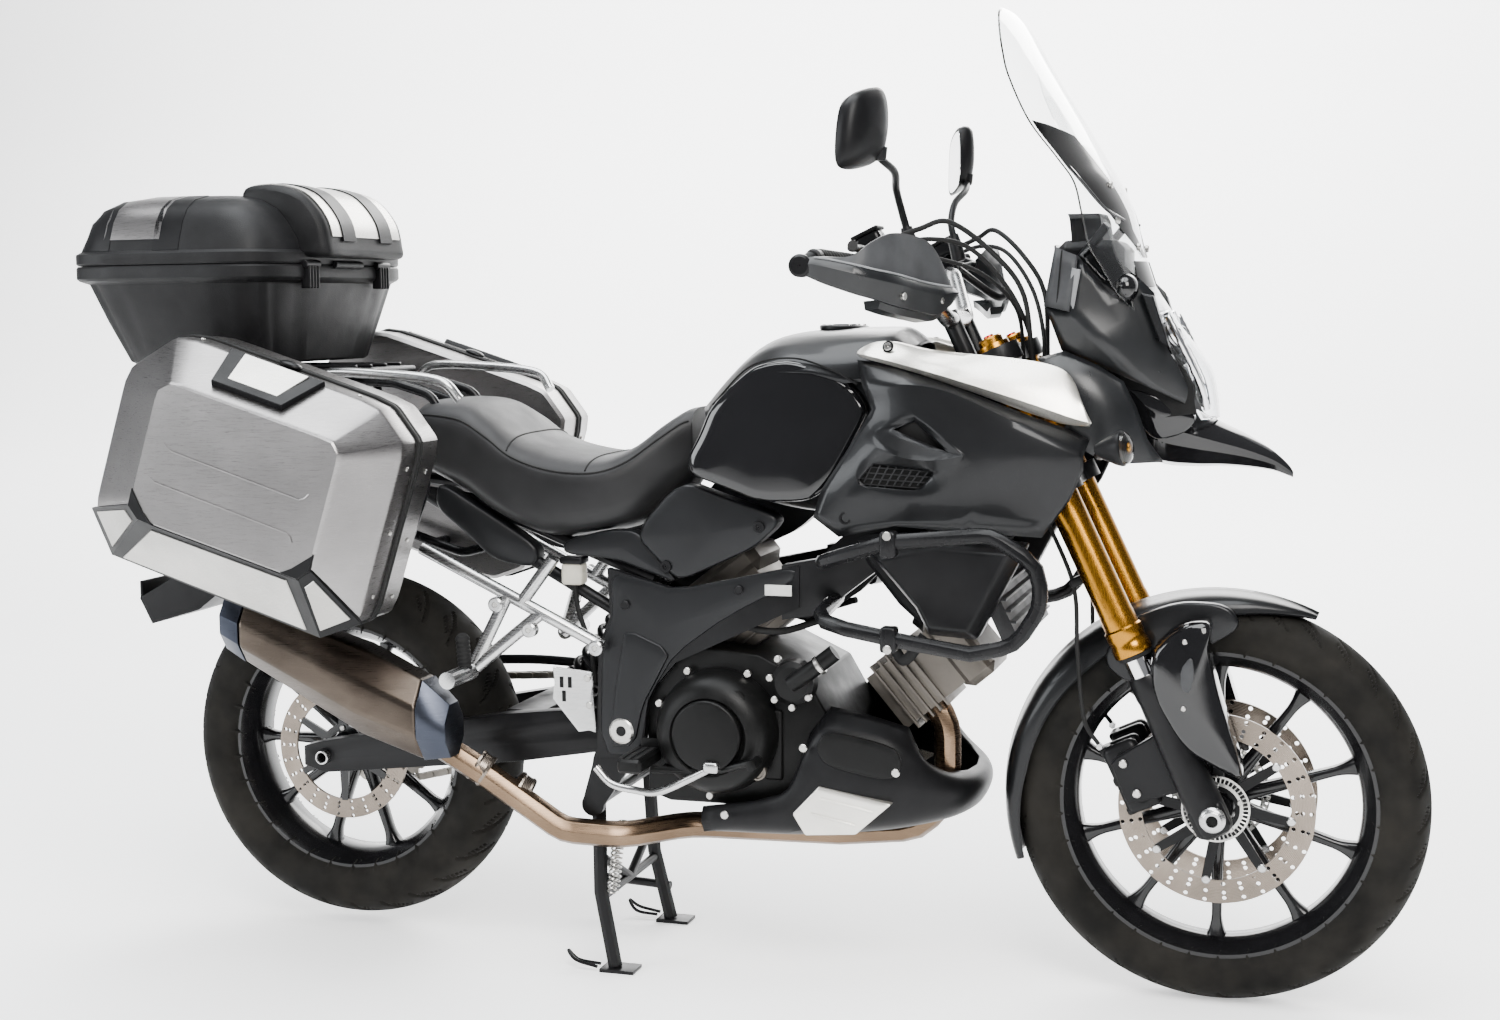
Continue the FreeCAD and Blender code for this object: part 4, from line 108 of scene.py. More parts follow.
class MotorcycleSizes(bpy.types.PropertyGroup):
    tread_depth: bpy.props.FloatProperty(
        name="Tread depth", description="Depth of the tyre grooves", unit="LENGTH",
        min=0, max=0.012, default=0.005)
    tread_pairs: bpy.props.IntProperty(
        name="Tread grooves", description="Slanted grooves on each side of a tyre", min=8, max=80, default=34)
    spoke_count: bpy.props.IntProperty(
        name="Spokes", description="Spokes of each wheel", min=3, max=24, default=10)
    chain_links: bpy.props.IntProperty(
        name="Chain links", description="Links round the chain's path", min=40, max=160, default=112)
    spring_turns: bpy.props.FloatProperty(
        name="Spring turns", description="Turns of the rear spring", min=2, max=14, default=7)
    screen_wall: bpy.props.FloatProperty(
        name="Screen wall", description="Thickness of the clear screen", unit="LENGTH",
        min=0.001, max=0.008, default=0.003)


class MotorcycleStage(bpy.types.PropertyGroup):
    floor_tone: bpy.props.FloatVectorProperty(
        name="Floor tone", description="Colour of the plain floor",
        subtype="COLOR", size=3, min=0, max=1, default=(0.95, 0.95, 0.95))
    light: bpy.props.FloatProperty(
        name="Light", description="Power of the large front light; the others keep their share", unit="POWER",
        min=0, default=620)
    air: bpy.props.FloatProperty(
        name="Air", description="Strength of the even light from all round", min=0, default=0.3)


def colours():
    return bpy.context.scene.motorcycle_colours


def sizes():
    return bpy.context.scene.motorcycle_sizes


def stage_settings():
    return bpy.context.scene.motorcycle_stage


# Shapes: arrays of points and lists of faces

class Shape:
    """Points in millimetres and the faces between them."""

    def __init__(self, points, faces):
        self.points = np.asarray(points, float).reshape(-1, 3)
        self.faces = [list(face) for face in faces]

    def __add__(self, other):
        shift = len(self.points)
        faces = self.faces + [[corner + shift for corner in face] for face in other.faces]
        return Shape(np.vstack([self.points, other.points]), faces)

    def mapped(self, change):
        """The same faces on points passed through a function of the whole array."""
        return Shape(change(self.points), self.faces)

    def moved(self, x=0, y=0, z=0):
        return Shape(self.points + np.array([x, y, z]), self.faces)

    def mirrored(self):
        return Shape(self.points * np.array([1, -1, 1]), [face[::-1] for face in self.faces])

    def both(self):
        return self + self.mirrored()


def total(shapes):
    whole = shapes[0]
    for shape in shapes[1:]:
        whole = whole + shape
    return whole


def grid_faces(rows, columns, wrap_rows=False, wrap_columns=False, start=0):
    """Quads between neighbours of a grid of points, as whole index arrays."""
    down = np.arange(rows if wrap_rows else rows - 1)
    along = np.arange(columns if wrap_columns else columns - 1)
    row, column = np.meshgrid(down, along, indexing="ij")
    next_row = (row + 1) % rows
    next_column = (column + 1) % columns
    corners = [row * columns + column, row * columns + next_column,
               next_row * columns + next_column, next_row * columns + column]
    return (np.stack(corners, -1).reshape(-1, 4) + start).tolist()


def loft(rings, closed_ends=True, wrap_rows=False):
    """A skin over a stack of closed rings, each with the same number of points; its ends are flat lids."""
    rings = np.asarray(rings, float)
    rows, columns = rings.shape[:2]
    faces = grid_faces(rows, columns, wrap_rows, True)
    if closed_ends and not wrap_rows:
        faces.append(list(range(columns))[::-1])
        faces.append(list(range((rows - 1) * columns, rows * columns)))
    return Shape(rings, faces)


def rounded_path(points, bend, step=12.0):
    """Straight runs with each corner turned as an arc tangent to both runs: centre plus radius times
    the sine and cosine of the angle swept."""
    points = np.asarray(points, float)
    spots = [points[:1]]
    for before, corner, after in zip(points, points[1:], points[2:]):
        into = (before - corner) / np.linalg.norm(before - corner)
        out = (after - corner) / np.linalg.norm(after - corner)
        half = math.acos(max(-0.9999, min(0.9999, float(into @ out)))) / 2
        room = min(np.linalg.norm(before - corner), np.linalg.norm(after - corner)) * 0.49
        reach = min(bend / math.tan(half), room)
        radius = reach * math.tan(half)
        centre = corner + (into + out) / np.linalg.norm(into + out) * radius / math.sin(half)
        first = corner + into * reach - centre
        last = corner + out * reach - centre
        swept = math.pi - 2 * half
        count = max(2, int(swept * radius / step) + 2)
        share = np.linspace(0, 1, count)[:, None]
        blend = np.sin((1 - share) * swept) * first + np.sin(share * swept) * last
        spots.append(centre + blend / max(math.sin(swept), 1e-6))
    spots.append(points[-1:])
    return np.vstack(spots)


def smooth_path(points, count):
    """A Catmull-Rom curve: each span is the cubic through its two points whose slopes are half the
    step between their neighbours."""
    points = np.asarray(points, float)
    padded = np.vstack([2 * points[:1] - points[1:2], points, 2 * points[-1:] - points[-2:-1]])
    place = np.linspace(0, len(points) - 1 - 1e-9, count)
    span = place.astype(int)
    t = (place - span)[:, None]
    a, b, c, e = (padded[span + shift] for shift in range(4))
    curve = 2 * b + (c - a) * t + (2 * a - 5 * b + 4 * c - e) * t ** 2 + (3 * b - a - 3 * c + e) * t ** 3
    return 0.5 * curve


def sweep(path, ring, scale=None, up=(0, 0, 1), closed_ends=True):
    """A flat ring carried along a path: point = path + side * ring x * scale + rise * ring y * scale,
    with side and rise square to the path's own direction."""
    path = np.asarray(path, float)
    along = np.gradient(path, axis=0)
    along /= np.linalg.norm(along, axis=1, keepdims=True)
    side = np.cross(along, np.asarray(up, float))
    side /= np.linalg.norm(side, axis=1, keepdims=True)
    rise = np.cross(side, along)
    scale = np.ones(len(path)) if scale is None else np.asarray(scale, float)
    ring = np.asarray(ring, float)
    rings = (path[:, None] + side[:, None] * ring[None, :, :1] * scale[:, None, None]
             + rise[:, None] * ring[None, :, 1:] * scale[:, None, None])
    return loft(rings, closed_ends)


def circle(radius, sides=16, flat=1.0):
    swing = np.linspace(0, 2 * math.pi, sides, endpoint=False)
    return np.stack([np.cos(swing) * radius, np.sin(swing) * radius * flat], -1)


def tube(points, radius, bend=0.0, sides=16, scale=None, up=(0, 0, 1), count=0):
    """A round bar along straight runs with arcs, or along a smooth curve of so many stations."""
    path = smooth_path(points, count) if count else rounded_path(points, bend)
    return sweep(path, circle(radius, sides), scale, up)


def rod(start, end, radius, sides=20, edge=0.0):
    """A round bar, with its rims taken back by the edge."""
    start, end = np.asarray(start, float), np.asarray(end, float)
    along = (end - start) / np.linalg.norm(end - start)
    up = (0, 0, 1) if abs(along[2]) < 0.9 else (1, 0, 0)
    if not edge:
        return sweep(np.array([start, end]), circle(radius, sides), None, up)
    path = np.array([start, start + along * edge, end - along * edge, end])
    return sweep(path, circle(radius, sides), [1 - edge / radius, 1, 1, 1 - edge / radius], up)


def turned(profile, centre, axis=(0, 1, 0), steps=48, closed=True):
    """A profile of (distance along the axis, radius) turned round the axis through the centre."""
    profile = np.asarray(profile, float)
    axis = np.asarray(axis, float) / np.linalg.norm(axis)
    side = np.cross(axis, (0, 0, 1) if abs(axis[2]) < 0.9 else (1, 0, 0))
    side /= np.linalg.norm(side)
    rise = np.cross(side, axis)
    swing = np.linspace(0, 2 * math.pi, steps, endpoint=False)
    out = np.cos(swing)[:, None] * side + np.sin(swing)[:, None] * rise
    points = (np.asarray(centre, float) + profile[:, None, :1] * axis + profile[:, None, 1:] * out[None])
    rows, columns = points.shape[:2]
    return Shape(points, grid_faces(rows, columns, closed, True))


def smooth_outline(outline, rounds=2, share=0.2):
    """Corners cut again and again: each side keeps its middle and gives its two end shares away."""
    outline = np.asarray(outline, float)
    for _ in range(rounds):
        following = np.roll(outline, -1, axis=0)
        low = outline + (following - outline) * share
        high = outline + (following - outline) * (1 - share)
        outline = np.stack([low, high], 1).reshape(-1, outline.shape[1])
    return outline


def spread_outline(outline, count):
    """Points at even steps of length round a closed outline."""
    outline = np.asarray(outline, float)
    closed = np.vstack([outline, outline[:1]])
    length = np.concatenate([[0], np.cumsum(np.linalg.norm(np.diff(closed, axis=0), axis=1))])
    place = np.linspace(0, length[-1], count, endpoint=False)
    return np.stack([np.interp(place, length, closed[:, axis]) for axis in range(closed.shape[1])], -1)


def inset_outline(outline, distance):
    """Each corner moved inwards along the mean of its two sides' inner normals."""
    outline = np.asarray(outline, float)
    before = outline - np.roll(outline, 1, axis=0)
    after = np.roll(outline, -1, axis=0) - outline
    turn = np.sign(np.sum(outline[:, 0] * np.roll(outline[:, 1], -1)
                          - outline[:, 1] * np.roll(outline[:, 0], -1)))
    before /= np.linalg.norm(before, axis=1, keepdims=True) + 1e-9
    after /= np.linalg.norm(after, axis=1, keepdims=True) + 1e-9
    normal_before = np.stack([-before[:, 1], before[:, 0]], -1) * turn
    normal_after = np.stack([-after[:, 1], after[:, 0]], -1) * turn
    mean = normal_before + normal_after
    mean /= np.maximum(np.sum(mean * normal_before, axis=1, keepdims=True), 0.35)
    return outline + mean * distance


def plate(outline, near, far, edge=2.0):
    """A flat outline in X and Z drawn out between two Y values, its far rim bevelled by the edge."""
    outline = np.asarray(outline, float)
    sign = 1 if far > near else -1
    inner = inset_outline(outline, edge)
    levels = [(outline, near), (outline, far - sign * edge), (inner, far)]
    rings = [np.stack([loop[:, 0], np.full(len(loop), level), loop[:, 1]], -1) for loop, level in levels]
    return loft(rings)


def panel(outline, middle, inner, outer, crown=10.0, rim=6.0, rows=10, roll=0.0, count=96, corners=2):
    """A crowned skin: point = middle + (outline - middle) * share in X and Z, and Y = outer less a
    quarter-round at the rim plus the crown times one less the share squared; roll tips it with
    height. It is closed behind at the inner Y."""
    loop = spread_outline(smooth_outline(outline, corners) if corners else outline, count)
    middle = np.asarray(middle, float)
    sign = 1 if outer > inner else -1
    size = np.mean(np.linalg.norm(loop - middle, axis=1))
    turn = np.linspace(0, math.pi / 2, 4)
    inward = np.linspace(1 - rim / size, 0.02, rows)[1:]
    shares = np.concatenate([1 - (1 - np.cos(turn)) * rim / size, inward])
    drop = np.concatenate([(1 - np.sin(turn)) * rim, np.zeros(rows - 1)])
    flat = middle + (loop[None] - middle) * shares[:, None, None]
    height = outer + sign * (crown * (1 - shares ** 2) - drop)
    depth = np.repeat(height[:, None], count, 1) + roll * (flat[..., 1] - middle[1])
    skin = np.stack([flat[..., 0], depth, flat[..., 1]], -1)
    back = np.stack([loop[:, 0], np.full(count, float(inner)), loop[:, 1]], -1)
    return loft(np.concatenate([back[None], skin]))


def rounded_box(low, high, edge, segments=3):
    """A box whose section across Z is a rounded rectangle, drawn in at its foot and top by a quarter
    round."""
    low, high = np.asarray(low, float), np.asarray(high, float)
    half = (high - low) / 2
    middle = (high + low) / 2
    edge = min(edge, half.min() * 0.98)
    turn = np.linspace(0, math.pi / 2, segments + 1)
    corner = np.stack([np.cos(turn), np.sin(turn)], -1)
    quarters = []
    for number, (sx, sy) in enumerate(((1, 1), (-1, 1), (-1, -1), (1, -1))):
        arc = corner if number % 2 == 0 else corner[::-1]
        quarters.append(np.stack([sx * arc[:, 0], sy * arc[:, 1]], -1))
    unit = np.vstack(quarters)
    place = np.repeat(np.array([[1, 1], [-1, 1], [-1, -1], [1, -1]], float), segments + 1, axis=0)
    rings = []
    for side, swing in [(-1, angle) for angle in turn[::-1]] + [(1, angle) for angle in turn]:
        reach = math.cos(swing)
        flat = place * (half[:2] - edge) + unit * edge * reach
        height = side * (half[2] - edge + edge * math.sin(swing))
        rings.append(np.stack([middle[0] + flat[:, 0], middle[1] + flat[:, 1],
                               np.full(len(flat), middle[2] + height)], -1))
    return loft(rings)


def ball(centre, radii, steps=20):
    """An ellipsoid: centre + radii times the point of the unit sphere at two angles."""
    turn = np.linspace(-math.pi / 2 + 0.02, math.pi / 2 - 0.02, steps // 2 + 1)
    swing = np.linspace(0, 2 * math.pi, steps, endpoint=False)
    rings = np.stack([np.cos(turn)[:, None] * np.cos(swing), np.cos(turn)[:, None] * np.sin(swing),
                      np.repeat(np.sin(turn)[:, None], steps, 1)], -1)
    return loft(rings * np.asarray(radii, float) + np.asarray(centre, float))


def from_steering(points):
    """Points drawn along the fork (forward, left, up the fork) put into the model's frame."""
    points = np.asarray(points, float)
    lean, rise = math.cos(RAKE), math.sin(RAKE)
    x = FRONT_AXLE[0] + points[..., 0] * lean - points[..., 2] * rise
    z = FRONT_AXLE[2] + points[..., 0] * rise + points[..., 2] * lean
    return np.stack([x, points[..., 1], z], -1)


def case_frame(points):
    """Points drawn in a side case's own frame (length, outwards, height) leaned nose down."""
    points = np.asarray(points, float)
    run, drop = math.cos(CASE_LEAN), math.sin(CASE_LEAN)
    x = CASE_MIDDLE[0] + points[..., 0] * run + points[..., 2] * drop
    z = CASE_MIDDLE[1] - points[..., 0] * drop + points[..., 2] * run
    return np.stack([x, points[..., 1], z], -1)


# Pieces

def piece(name, body, layers, nodes=(), sharp=32, through=None, both=False):
    """One object from layers of a shape, or a list of shapes, and the name of its finish. They may be
    carried through a function and doubled with their mirror image. Points that meet are joined, and
    the faces are turned outwards."""
    layers = [(total(shape) if isinstance(shape, list) else shape, look) for shape, look in layers]
    if through:
        layers = [(shape.mapped(through), look) for shape, look in layers]
    if both:
        layers = [(shape.both(), look) for shape, look in layers]
    mesh = bpy.data.meshes.new(name)
    points = np.vstack([shape.points for shape, _ in layers]) * METRES
    faces = []
    finishes = []
    shift = 0
    for number, (shape, look) in enumerate(layers):
        faces += [[corner + shift for corner in face] for face in shape.faces]
        finishes += [number] * len(shape.faces)
        shift += len(shape.points)
        mesh.materials.append(finish(look))
    mesh.from_pydata(points.tolist(), [], faces)
    mesh.polygons.foreach_set("material_index", finishes)
    build = bmesh.new()
    build.from_mesh(mesh)
    bmesh.ops.remove_doubles(build, verts=build.verts, dist=MERGE * METRES)
    bmesh.ops.dissolve_degenerate(build, edges=build.edges, dist=MERGE * METRES * 0.5)
    bmesh.ops.recalc_face_normals(build, faces=build.faces)
    build.to_mesh(mesh)
    build.free()
    mesh.polygons.foreach_set("use_smooth", [True] * len(mesh.polygons))
    mesh.set_sharp_from_angle(angle=math.radians(sharp))
    thing = bpy.data.objects.new(name, mesh)
    bpy.context.scene.collection.objects.link(thing)
    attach(thing, body)
    if nodes:
        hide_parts(*nodes)
    return thing


def softened(node, look, width=2.5, segments=2):
    """A copy of a CAD node with its flat faces joined up and its edges rounded by a live bevel."""
    source = frame["nodes"][node]
    mesh = source.data.copy()
    mesh.materials.clear()
    mesh.materials.append(finish(look))
    build = bmesh.new()
    build.from_mesh(mesh)
    bmesh.ops.remove_doubles(build, verts=build.verts, dist=MERGE * METRES)
    bmesh.ops.dissolve_limit(build, angle_limit=FLAT, verts=build.verts, edges=build.edges)
    build.to_mesh(mesh)
    build.free()
    mesh.polygons.foreach_set("use_smooth", [True] * len(mesh.polygons))
    mesh.polygons.foreach_set("material_index", [0] * len(mesh.polygons))
    thing = bpy.data.objects.new(node.replace("_", " ").title().replace(" ", "") + "Dress", mesh)
    bpy.context.scene.collection.objects.link(thing)
    rounding = thing.modifiers.new("Rounded edges", "BEVEL")
    rounding.width = width * METRES
    rounding.segments = segments
    rounding.limit_method = "ANGLE"
    rounding.angle_limit = SHARP
    rounding.harden_normals = True
    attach(thing, source["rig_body"])
    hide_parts(node)
    return thing


# Finishes

FINISHES = {}


def base_finish(name, colour, roughness, metallic=0.0, coat=0.0, **sockets):
    """A material whose even values sit on the shader's own sockets."""
    material = bpy.data.materials.new(name)
    material.use_nodes = True
    shader = material.node_tree.nodes["Principled BSDF"]
    shader.inputs["Base Color"].default_value = (*colour, 1)
    shader.inputs["Roughness"].default_value = roughness
    shader.inputs["Metallic"].default_value = metallic
    shader.inputs["Coat Weight"].default_value = coat
    shader.inputs["Coat Roughness"].default_value = 0.06
    for socket, number in sockets.items():
        shader.inputs[socket.replace("_", " ")].default_value = number
    FINISHES[name] = material
    return material, shader


def coordinates(material, stretch=(1, 1, 1), centre=(0, 0, 0)):
    """Object coordinates, moved to a centre and stretched."""
    nodes, links = material.node_tree.nodes, material.node_tree.links
    place = nodes.new("ShaderNodeTexCoord")
    mapping = nodes.new("ShaderNodeMapping")
    mapping.inputs["Location"].default_value = [-axis * factor for axis, factor in zip(centre, stretch)]
    mapping.inputs["Scale"].default_value = stretch
    links.new(place.outputs["Object"], mapping.inputs["Vector"])
    return mapping.outputs["Vector"]


def noise(material, vector, scale, detail=3.0, rough=0.55):
    texture = material.node_tree.nodes.new("ShaderNodeTexNoise")
    texture.inputs["Scale"].default_value = scale
    texture.inputs["Detail"].default_value = detail
    texture.inputs["Roughness"].default_value = rough
    material.node_tree.links.new(vector, texture.inputs["Vector"])
    return texture.outputs["Fac"]


def cells(material, vector, scale, feature="F1"):
    texture = material.node_tree.nodes.new("ShaderNodeTexVoronoi")
    texture.feature = feature
    texture.inputs["Scale"].default_value = scale
    material.node_tree.links.new(vector, texture.inputs["Vector"])
    return texture.outputs["Distance"]


def spread(material, value, low, high, shader, socket):
    """Carries a pattern from its middle range to a socket between two values."""
    span = material.node_tree.nodes.new("ShaderNodeMapRange")
    span.inputs["From Min"].default_value = 0.3
    span.inputs["From Max"].default_value = 0.7
    span.inputs["To Min"].default_value = low
    span.inputs["To Max"].default_value = high
    material.node_tree.links.new(value, span.inputs["Value"])
    material.node_tree.links.new(span.outputs["Result"], shader.inputs[socket])


def tint(material, value, shader, tones, places=(0.35, 0.65)):
    """Carries a pattern to the colour through a ramp of tones."""
    ramp = material.node_tree.nodes.new("ShaderNodeValToRGB")
    elements = ramp.color_ramp.elements
    for number, (tone, place) in enumerate(zip(tones, places)):
        element = elements[number] if number < 2 else elements.new(place)
        element.position = place
        element.color = (*tone, 1)
    material.node_tree.links.new(value, ramp.inputs["Fac"])
    material.node_tree.links.new(ramp.outputs["Color"], shader.inputs["Base Color"])


def relief(material, value, shader, height, strength=0.5):
    """Bump of a real height in metres."""
    bump = material.node_tree.nodes.new("ShaderNodeBump")
    bump.inputs["Strength"].default_value = strength
    bump.inputs["Distance"].default_value = height
    material.node_tree.links.new(value, bump.inputs["Height"])
    material.node_tree.links.new(bump.outputs["Normal"], shader.inputs["Normal"])


def shade(colour, factor):
    return tuple(min(1.0, part * factor) for part in colour)


def paint_finish(name, colour, roughness, metallic=0.0, coat=1.0):
    """Lacquered paint: faint cloudy change of tone and, where metallic, fine flake in its roughness."""
    material, shader = base_finish(name, colour, roughness, metallic, coat, Specular_IOR_Level=0.3)
    vector = coordinates(material)
    tint(material, noise(material, vector, 9, 2), shader, (shade(colour, 0.9), shade(colour, 1.12)))
    spread(material, noise(material, vector, 1400 if metallic else 30, 2), roughness * 0.8, roughness * 1.25,
           shader, "Roughness")
    return material


def moulded_finish(name, colour, roughness, grain=1100, depth=0.00012, strength=0.5, gloss=0.13):
    """Moulded plastic: a fine pebble grain, with faint scuffs in its sheen."""
    material, shader = base_finish(name, colour, roughness, Specular_IOR_Level=gloss)
    vector = coordinates(material)
    relief(material, cells(material, vector, grain), shader, depth, strength)
    spread(material, noise(material, vector, 14, 4), roughness * 0.82, roughness * 1.15, shader, "Roughness")
    tint(material, noise(material, vector, 22, 3), shader, (shade(colour, 0.85), shade(colour, 1.2)))
    return material


def brushed_finish(name, colour, roughness, stretch=(1, 1, 60), scale=40, depth=0.00003, clouds=0.15):
    """Brushed metal: noise drawn out in one direction gives its lines, and broad noise its clouds."""
    material, shader = base_finish(name, colour, roughness, 1.0)
    lines = noise(material, coordinates(material, stretch), scale, 4, 0.7)
    relief(material, lines, shader, depth, 0.35)
    spread(material, lines, roughness * 0.75, roughness * 1.35, shader, "Roughness")
    tint(material, noise(material, coordinates(material), 5, 3), shader,
         (shade(colour, 1 - clouds), shade(colour, 1 + clouds)))
    return material


def cast_finish(name, colour, roughness, metallic=0.85, scale=420, depth=0.0002):
    """Cast metal: a sandy bump with darker and lighter patches."""
    material, shader = base_finish(name, colour, roughness, metallic, Specular_IOR_Level=0.15)
    vector = coordinates(material)
    relief(material, noise(material, vector, scale, 4, 0.6), shader, depth, 0.45)
    spread(material, noise(material, vector, 24, 3), roughness * 0.85, roughness * 1.2, shader, "Roughness")
    tint(material, noise(material, vector, 12, 4), shader, (shade(colour, 0.78), shade(colour, 1.25)))
    return material


def ringed_finish(name, colour, roughness, centre):
    """Turned steel: rings round the axle in its bump and its sheen."""
    material, shader = base_finish(name, colour, roughness, 1.0)
    rings = material.node_tree.nodes.new("ShaderNodeTexWave")
    rings.wave_type = "RINGS"
    rings.rings_direction = "Y"
    rings.inputs["Scale"].default_value = 130
    rings.inputs["Distortion"].default_value = 0.6
    rings.inputs["Detail"].default_value = 2
    vector = coordinates(material, (1, 1, 1), centre)
    material.node_tree.links.new(vector, rings.inputs["Vector"])
    relief(material, rings.outputs["Fac"], shader, 0.00003, 0.3)
    spread(material, rings.outputs["Fac"], roughness * 0.8, roughness * 1.25, shader, "Roughness")
    tint(material, noise(material, vector, 7, 4), shader, (shade(colour, 0.72), shade(colour, 1.2)))
    return material


def grained_finish(name, colour, roughness, grain=520, depth=0.0004):
    """Grained vinyl: cell edges as creases, over a soft change of tone, with a little sheen."""
    material, shader = base_finish(name, colour, roughness, Sheen_Weight=0.04, Specular_IOR_Level=0.2)
    vector = coordinates(material)
    relief(material, cells(material, vector, grain, "DISTANCE_TO_EDGE"), shader, depth, 0.45)
    spread(material, noise(material, vector, 12, 4), roughness * 0.85, roughness * 1.15, shader, "Roughness")
    tint(material, noise(material, vector, 8, 3), shader, (shade(colour, 0.8), shade(colour, 1.3)))
    return material


def tyre_finish():
    """Tyre rubber: dark, dry and slightly dusty, with fine moulding grain."""
    material, shader = base_finish("tyre_rubber", (0.0065, 0.0063, 0.0058), 0.68, Specular_IOR_Level=0.08)
    vector = coordinates(material)
    relief(material, noise(material, vector, 900, 3), shader, 0.0002, 0.4)
    spread(material, noise(material, vector, 18, 3), 0.6, 0.85, shader, "Roughness")
    tint(material, noise(material, vector, 11, 5), shader,
         ((0.0045, 0.0044, 0.004), (0.0125, 0.0115, 0.0098)))
    return material


def heated_finish(name, tones, roughness, stretch=(1, 1, 1), scale=3.0):
    """Heat-tinted metal: broad patches from straw to brown, over fine brushed lines."""
    material, shader = base_finish(name, tones[0], roughness, 1.0)
    patches = noise(material, coordinates(material, stretch), scale, 3, 0.5)
    tint(material, patches, shader, tones, (0.34, 0.5, 0.68))
    lines = noise(material, coordinates(material, (1, 1, 50)), 30, 3, 0.7)
    relief(material, lines, shader, 0.00003, 0.3)
    spread(material, lines, roughness * 0.8, roughness * 1.3, shader, "Roughness")
    return material


def clear_finish(name, colour, roughness, ior=1.45, alpha=1.0):
    """Clear plastic, with faint wipe marks in its roughness."""
    material, shader = base_finish(name, colour, roughness, Transmission_Weight=1.0, IOR=ior, Alpha=alpha)
    marks = noise(material, coordinates(material, (1, 1, 4)), 16, 3)
    spread(material, marks, roughness * 0.6, roughness * 1.6, shader, "Roughness")
    return material


def make_finishes():
    pick = colours()
    tyre_finish()
    paint_finish("gloss_black", tuple(pick.gloss_black), 0.09, 0.0, 0.4)
    paint_finish("satin_grey", tuple(pick.satin_grey), 0.34, 0.5, 0.12)
    paint_finish("dark_grey", (0.007, 0.0073, 0.0082), 0.4, 0.4, 0.03)
    paint_finish("champagne", tuple(pick.champagne), 0.3, 0.85, 0.35)
    paint_finish("wheel_black", (0.004, 0.004, 0.0045), 0.2, 0.0, 0.12)
    paint_finish("red_anodised", (0.45, 0.012, 0.01), 0.25, 0.9, 0.2)
    moulded_finish("black_plastic", (0.0045, 0.0045, 0.005), 0.4)
    moulded_finish("dark_strip", (0.035, 0.036, 0.038), 0.38)
    moulded_finish("smoked_plastic", (0.006, 0.006, 0.0065), 0.16, 2500, 0.00002, 0.2)
    moulded_finish("screen_black", (0.002, 0.002, 0.0022), 0.12, 2500, 0.00001, 0.1)
    moulded_finish("light_strip", (0.17, 0.175, 0.18), 0.4)
    moulded_finish("cowl_black", (0.0065, 0.007, 0.0078), 0.32, 1500, 0.00003, 0.25, 0.32)
    moulded_finish("case_plastic", (0.007, 0.007, 0.0075), 0.5, 520, 0.0003, 0.7)
    # Grey plastic for the switch buttons, and a painted highlight along the hand guards' fold.
    moulded_finish("grey_and_painted_highlight", (0.16, 0.165, 0.17), 0.42)
    moulded_finish("rubber", (0.01, 0.01, 0.01), 0.68, 700, 0.0002, 0.5)
    # Painted shade: a near-black matte finish set in bores, slots, vent openings, panel gaps and the lamp's
    # inside, where only shade falls.
    moulded_finish("painted_shade_inside", (0.006, 0.006, 0.006), 0.8)
    moulded_finish("label_plate", (0.42, 0.42, 0.4), 0.4, 2500, 0.00003, 0.2)
    moulded_finish("reservoir", (0.42, 0.4, 0.34), 0.3, 2500, 0.00002, 0.2)
    grained_finish("seat_top", (0.016, 0.016, 0.017), 0.55)
    grained_finish("seat_side", (0.01, 0.01, 0.0105), 0.42, 900, 0.0002)
    cast_finish("frame_black", (0.0055, 0.0055, 0.006), 0.34, 0.1, 700, 0.0001)
    cast_finish("tube_black", (0.005, 0.005, 0.0055), 0.26, 0.0, 800, 0.00006)
    cast_finish("engine_black", (0.0035, 0.0035, 0.0035), 0.4, 0.12)
    cast_finish("engine_brown", (0.12, 0.108, 0.095), 0.48, 0.8)
    cast_finish("radiator_black", (0.02, 0.02, 0.021), 0.5, 0.3, 300, 0.0003)
    brushed_finish("silver", (0.46, 0.46, 0.46), 0.25, (1, 1, 40))
    brushed_finish("chrome", (0.8, 0.8, 0.81), 0.07, (1, 1, 1), 20, 0.00001, 0.04)
    brushed_finish("bolt_steel", (0.45, 0.44, 0.42), 0.28, (1, 1, 1), 60)
    brushed_finish("gold_anodised", tuple(pick.gold), 0.24, (30, 30, 1), 30, 0.00002, 0.06)
    brushed_finish("case_metal", tuple(pick.case_metal), 0.3, (1, 1, 55), 42)
    brushed_finish("guard_metal", (0.4, 0.39, 0.37), 0.3, (3, 3, 60), 30)
    brushed_finish("chain_steel", (0.3, 0.28, 0.25), 0.36, (1, 1, 1), 90)
    ringed_finish("front_disc_steel", (0.2, 0.168, 0.14), 0.3, tuple(FRONT_AXLE * METRES))
    ringed_finish("rear_disc_steel", (0.2, 0.168, 0.14), 0.3, tuple(REAR_AXLE * METRES))
    pipe = tuple(pick.pipe_metal)
    heated_finish("pipe_metal", (shade(pipe, 0.7), pipe, shade(pipe, 1.5)), 0.28, (1, 1, 1), 5)
    heated_finish("muffler_metal", ((0.034, 0.026, 0.021), (0.072, 0.058, 0.047), (0.046, 0.037, 0.03)), 0.3,
                  (1, 1, 2), 4)
    heated_finish("shield_metal", ((0.03, 0.034, 0.045), (0.06, 0.066, 0.085), (0.035, 0.04, 0.05)), 0.32)
    clear_finish("clear_screen", (0.96, 0.97, 0.97), 0.02)
    clear_finish("smoked_screen", (0.12, 0.12, 0.125), 0.05)
    clear_finish("lamp_lens", (0.95, 0.96, 0.97), 0.015, 1.3)
    clear_finish("tail_lens", (0.5, 0.01, 0.01), 0.08)
    clear_finish("indicator_lens", (0.9, 0.9, 0.87), 0.08)
    base_finish("floor", tuple(stage_settings().floor_tone), 0.7, Emission_Strength=0.55)


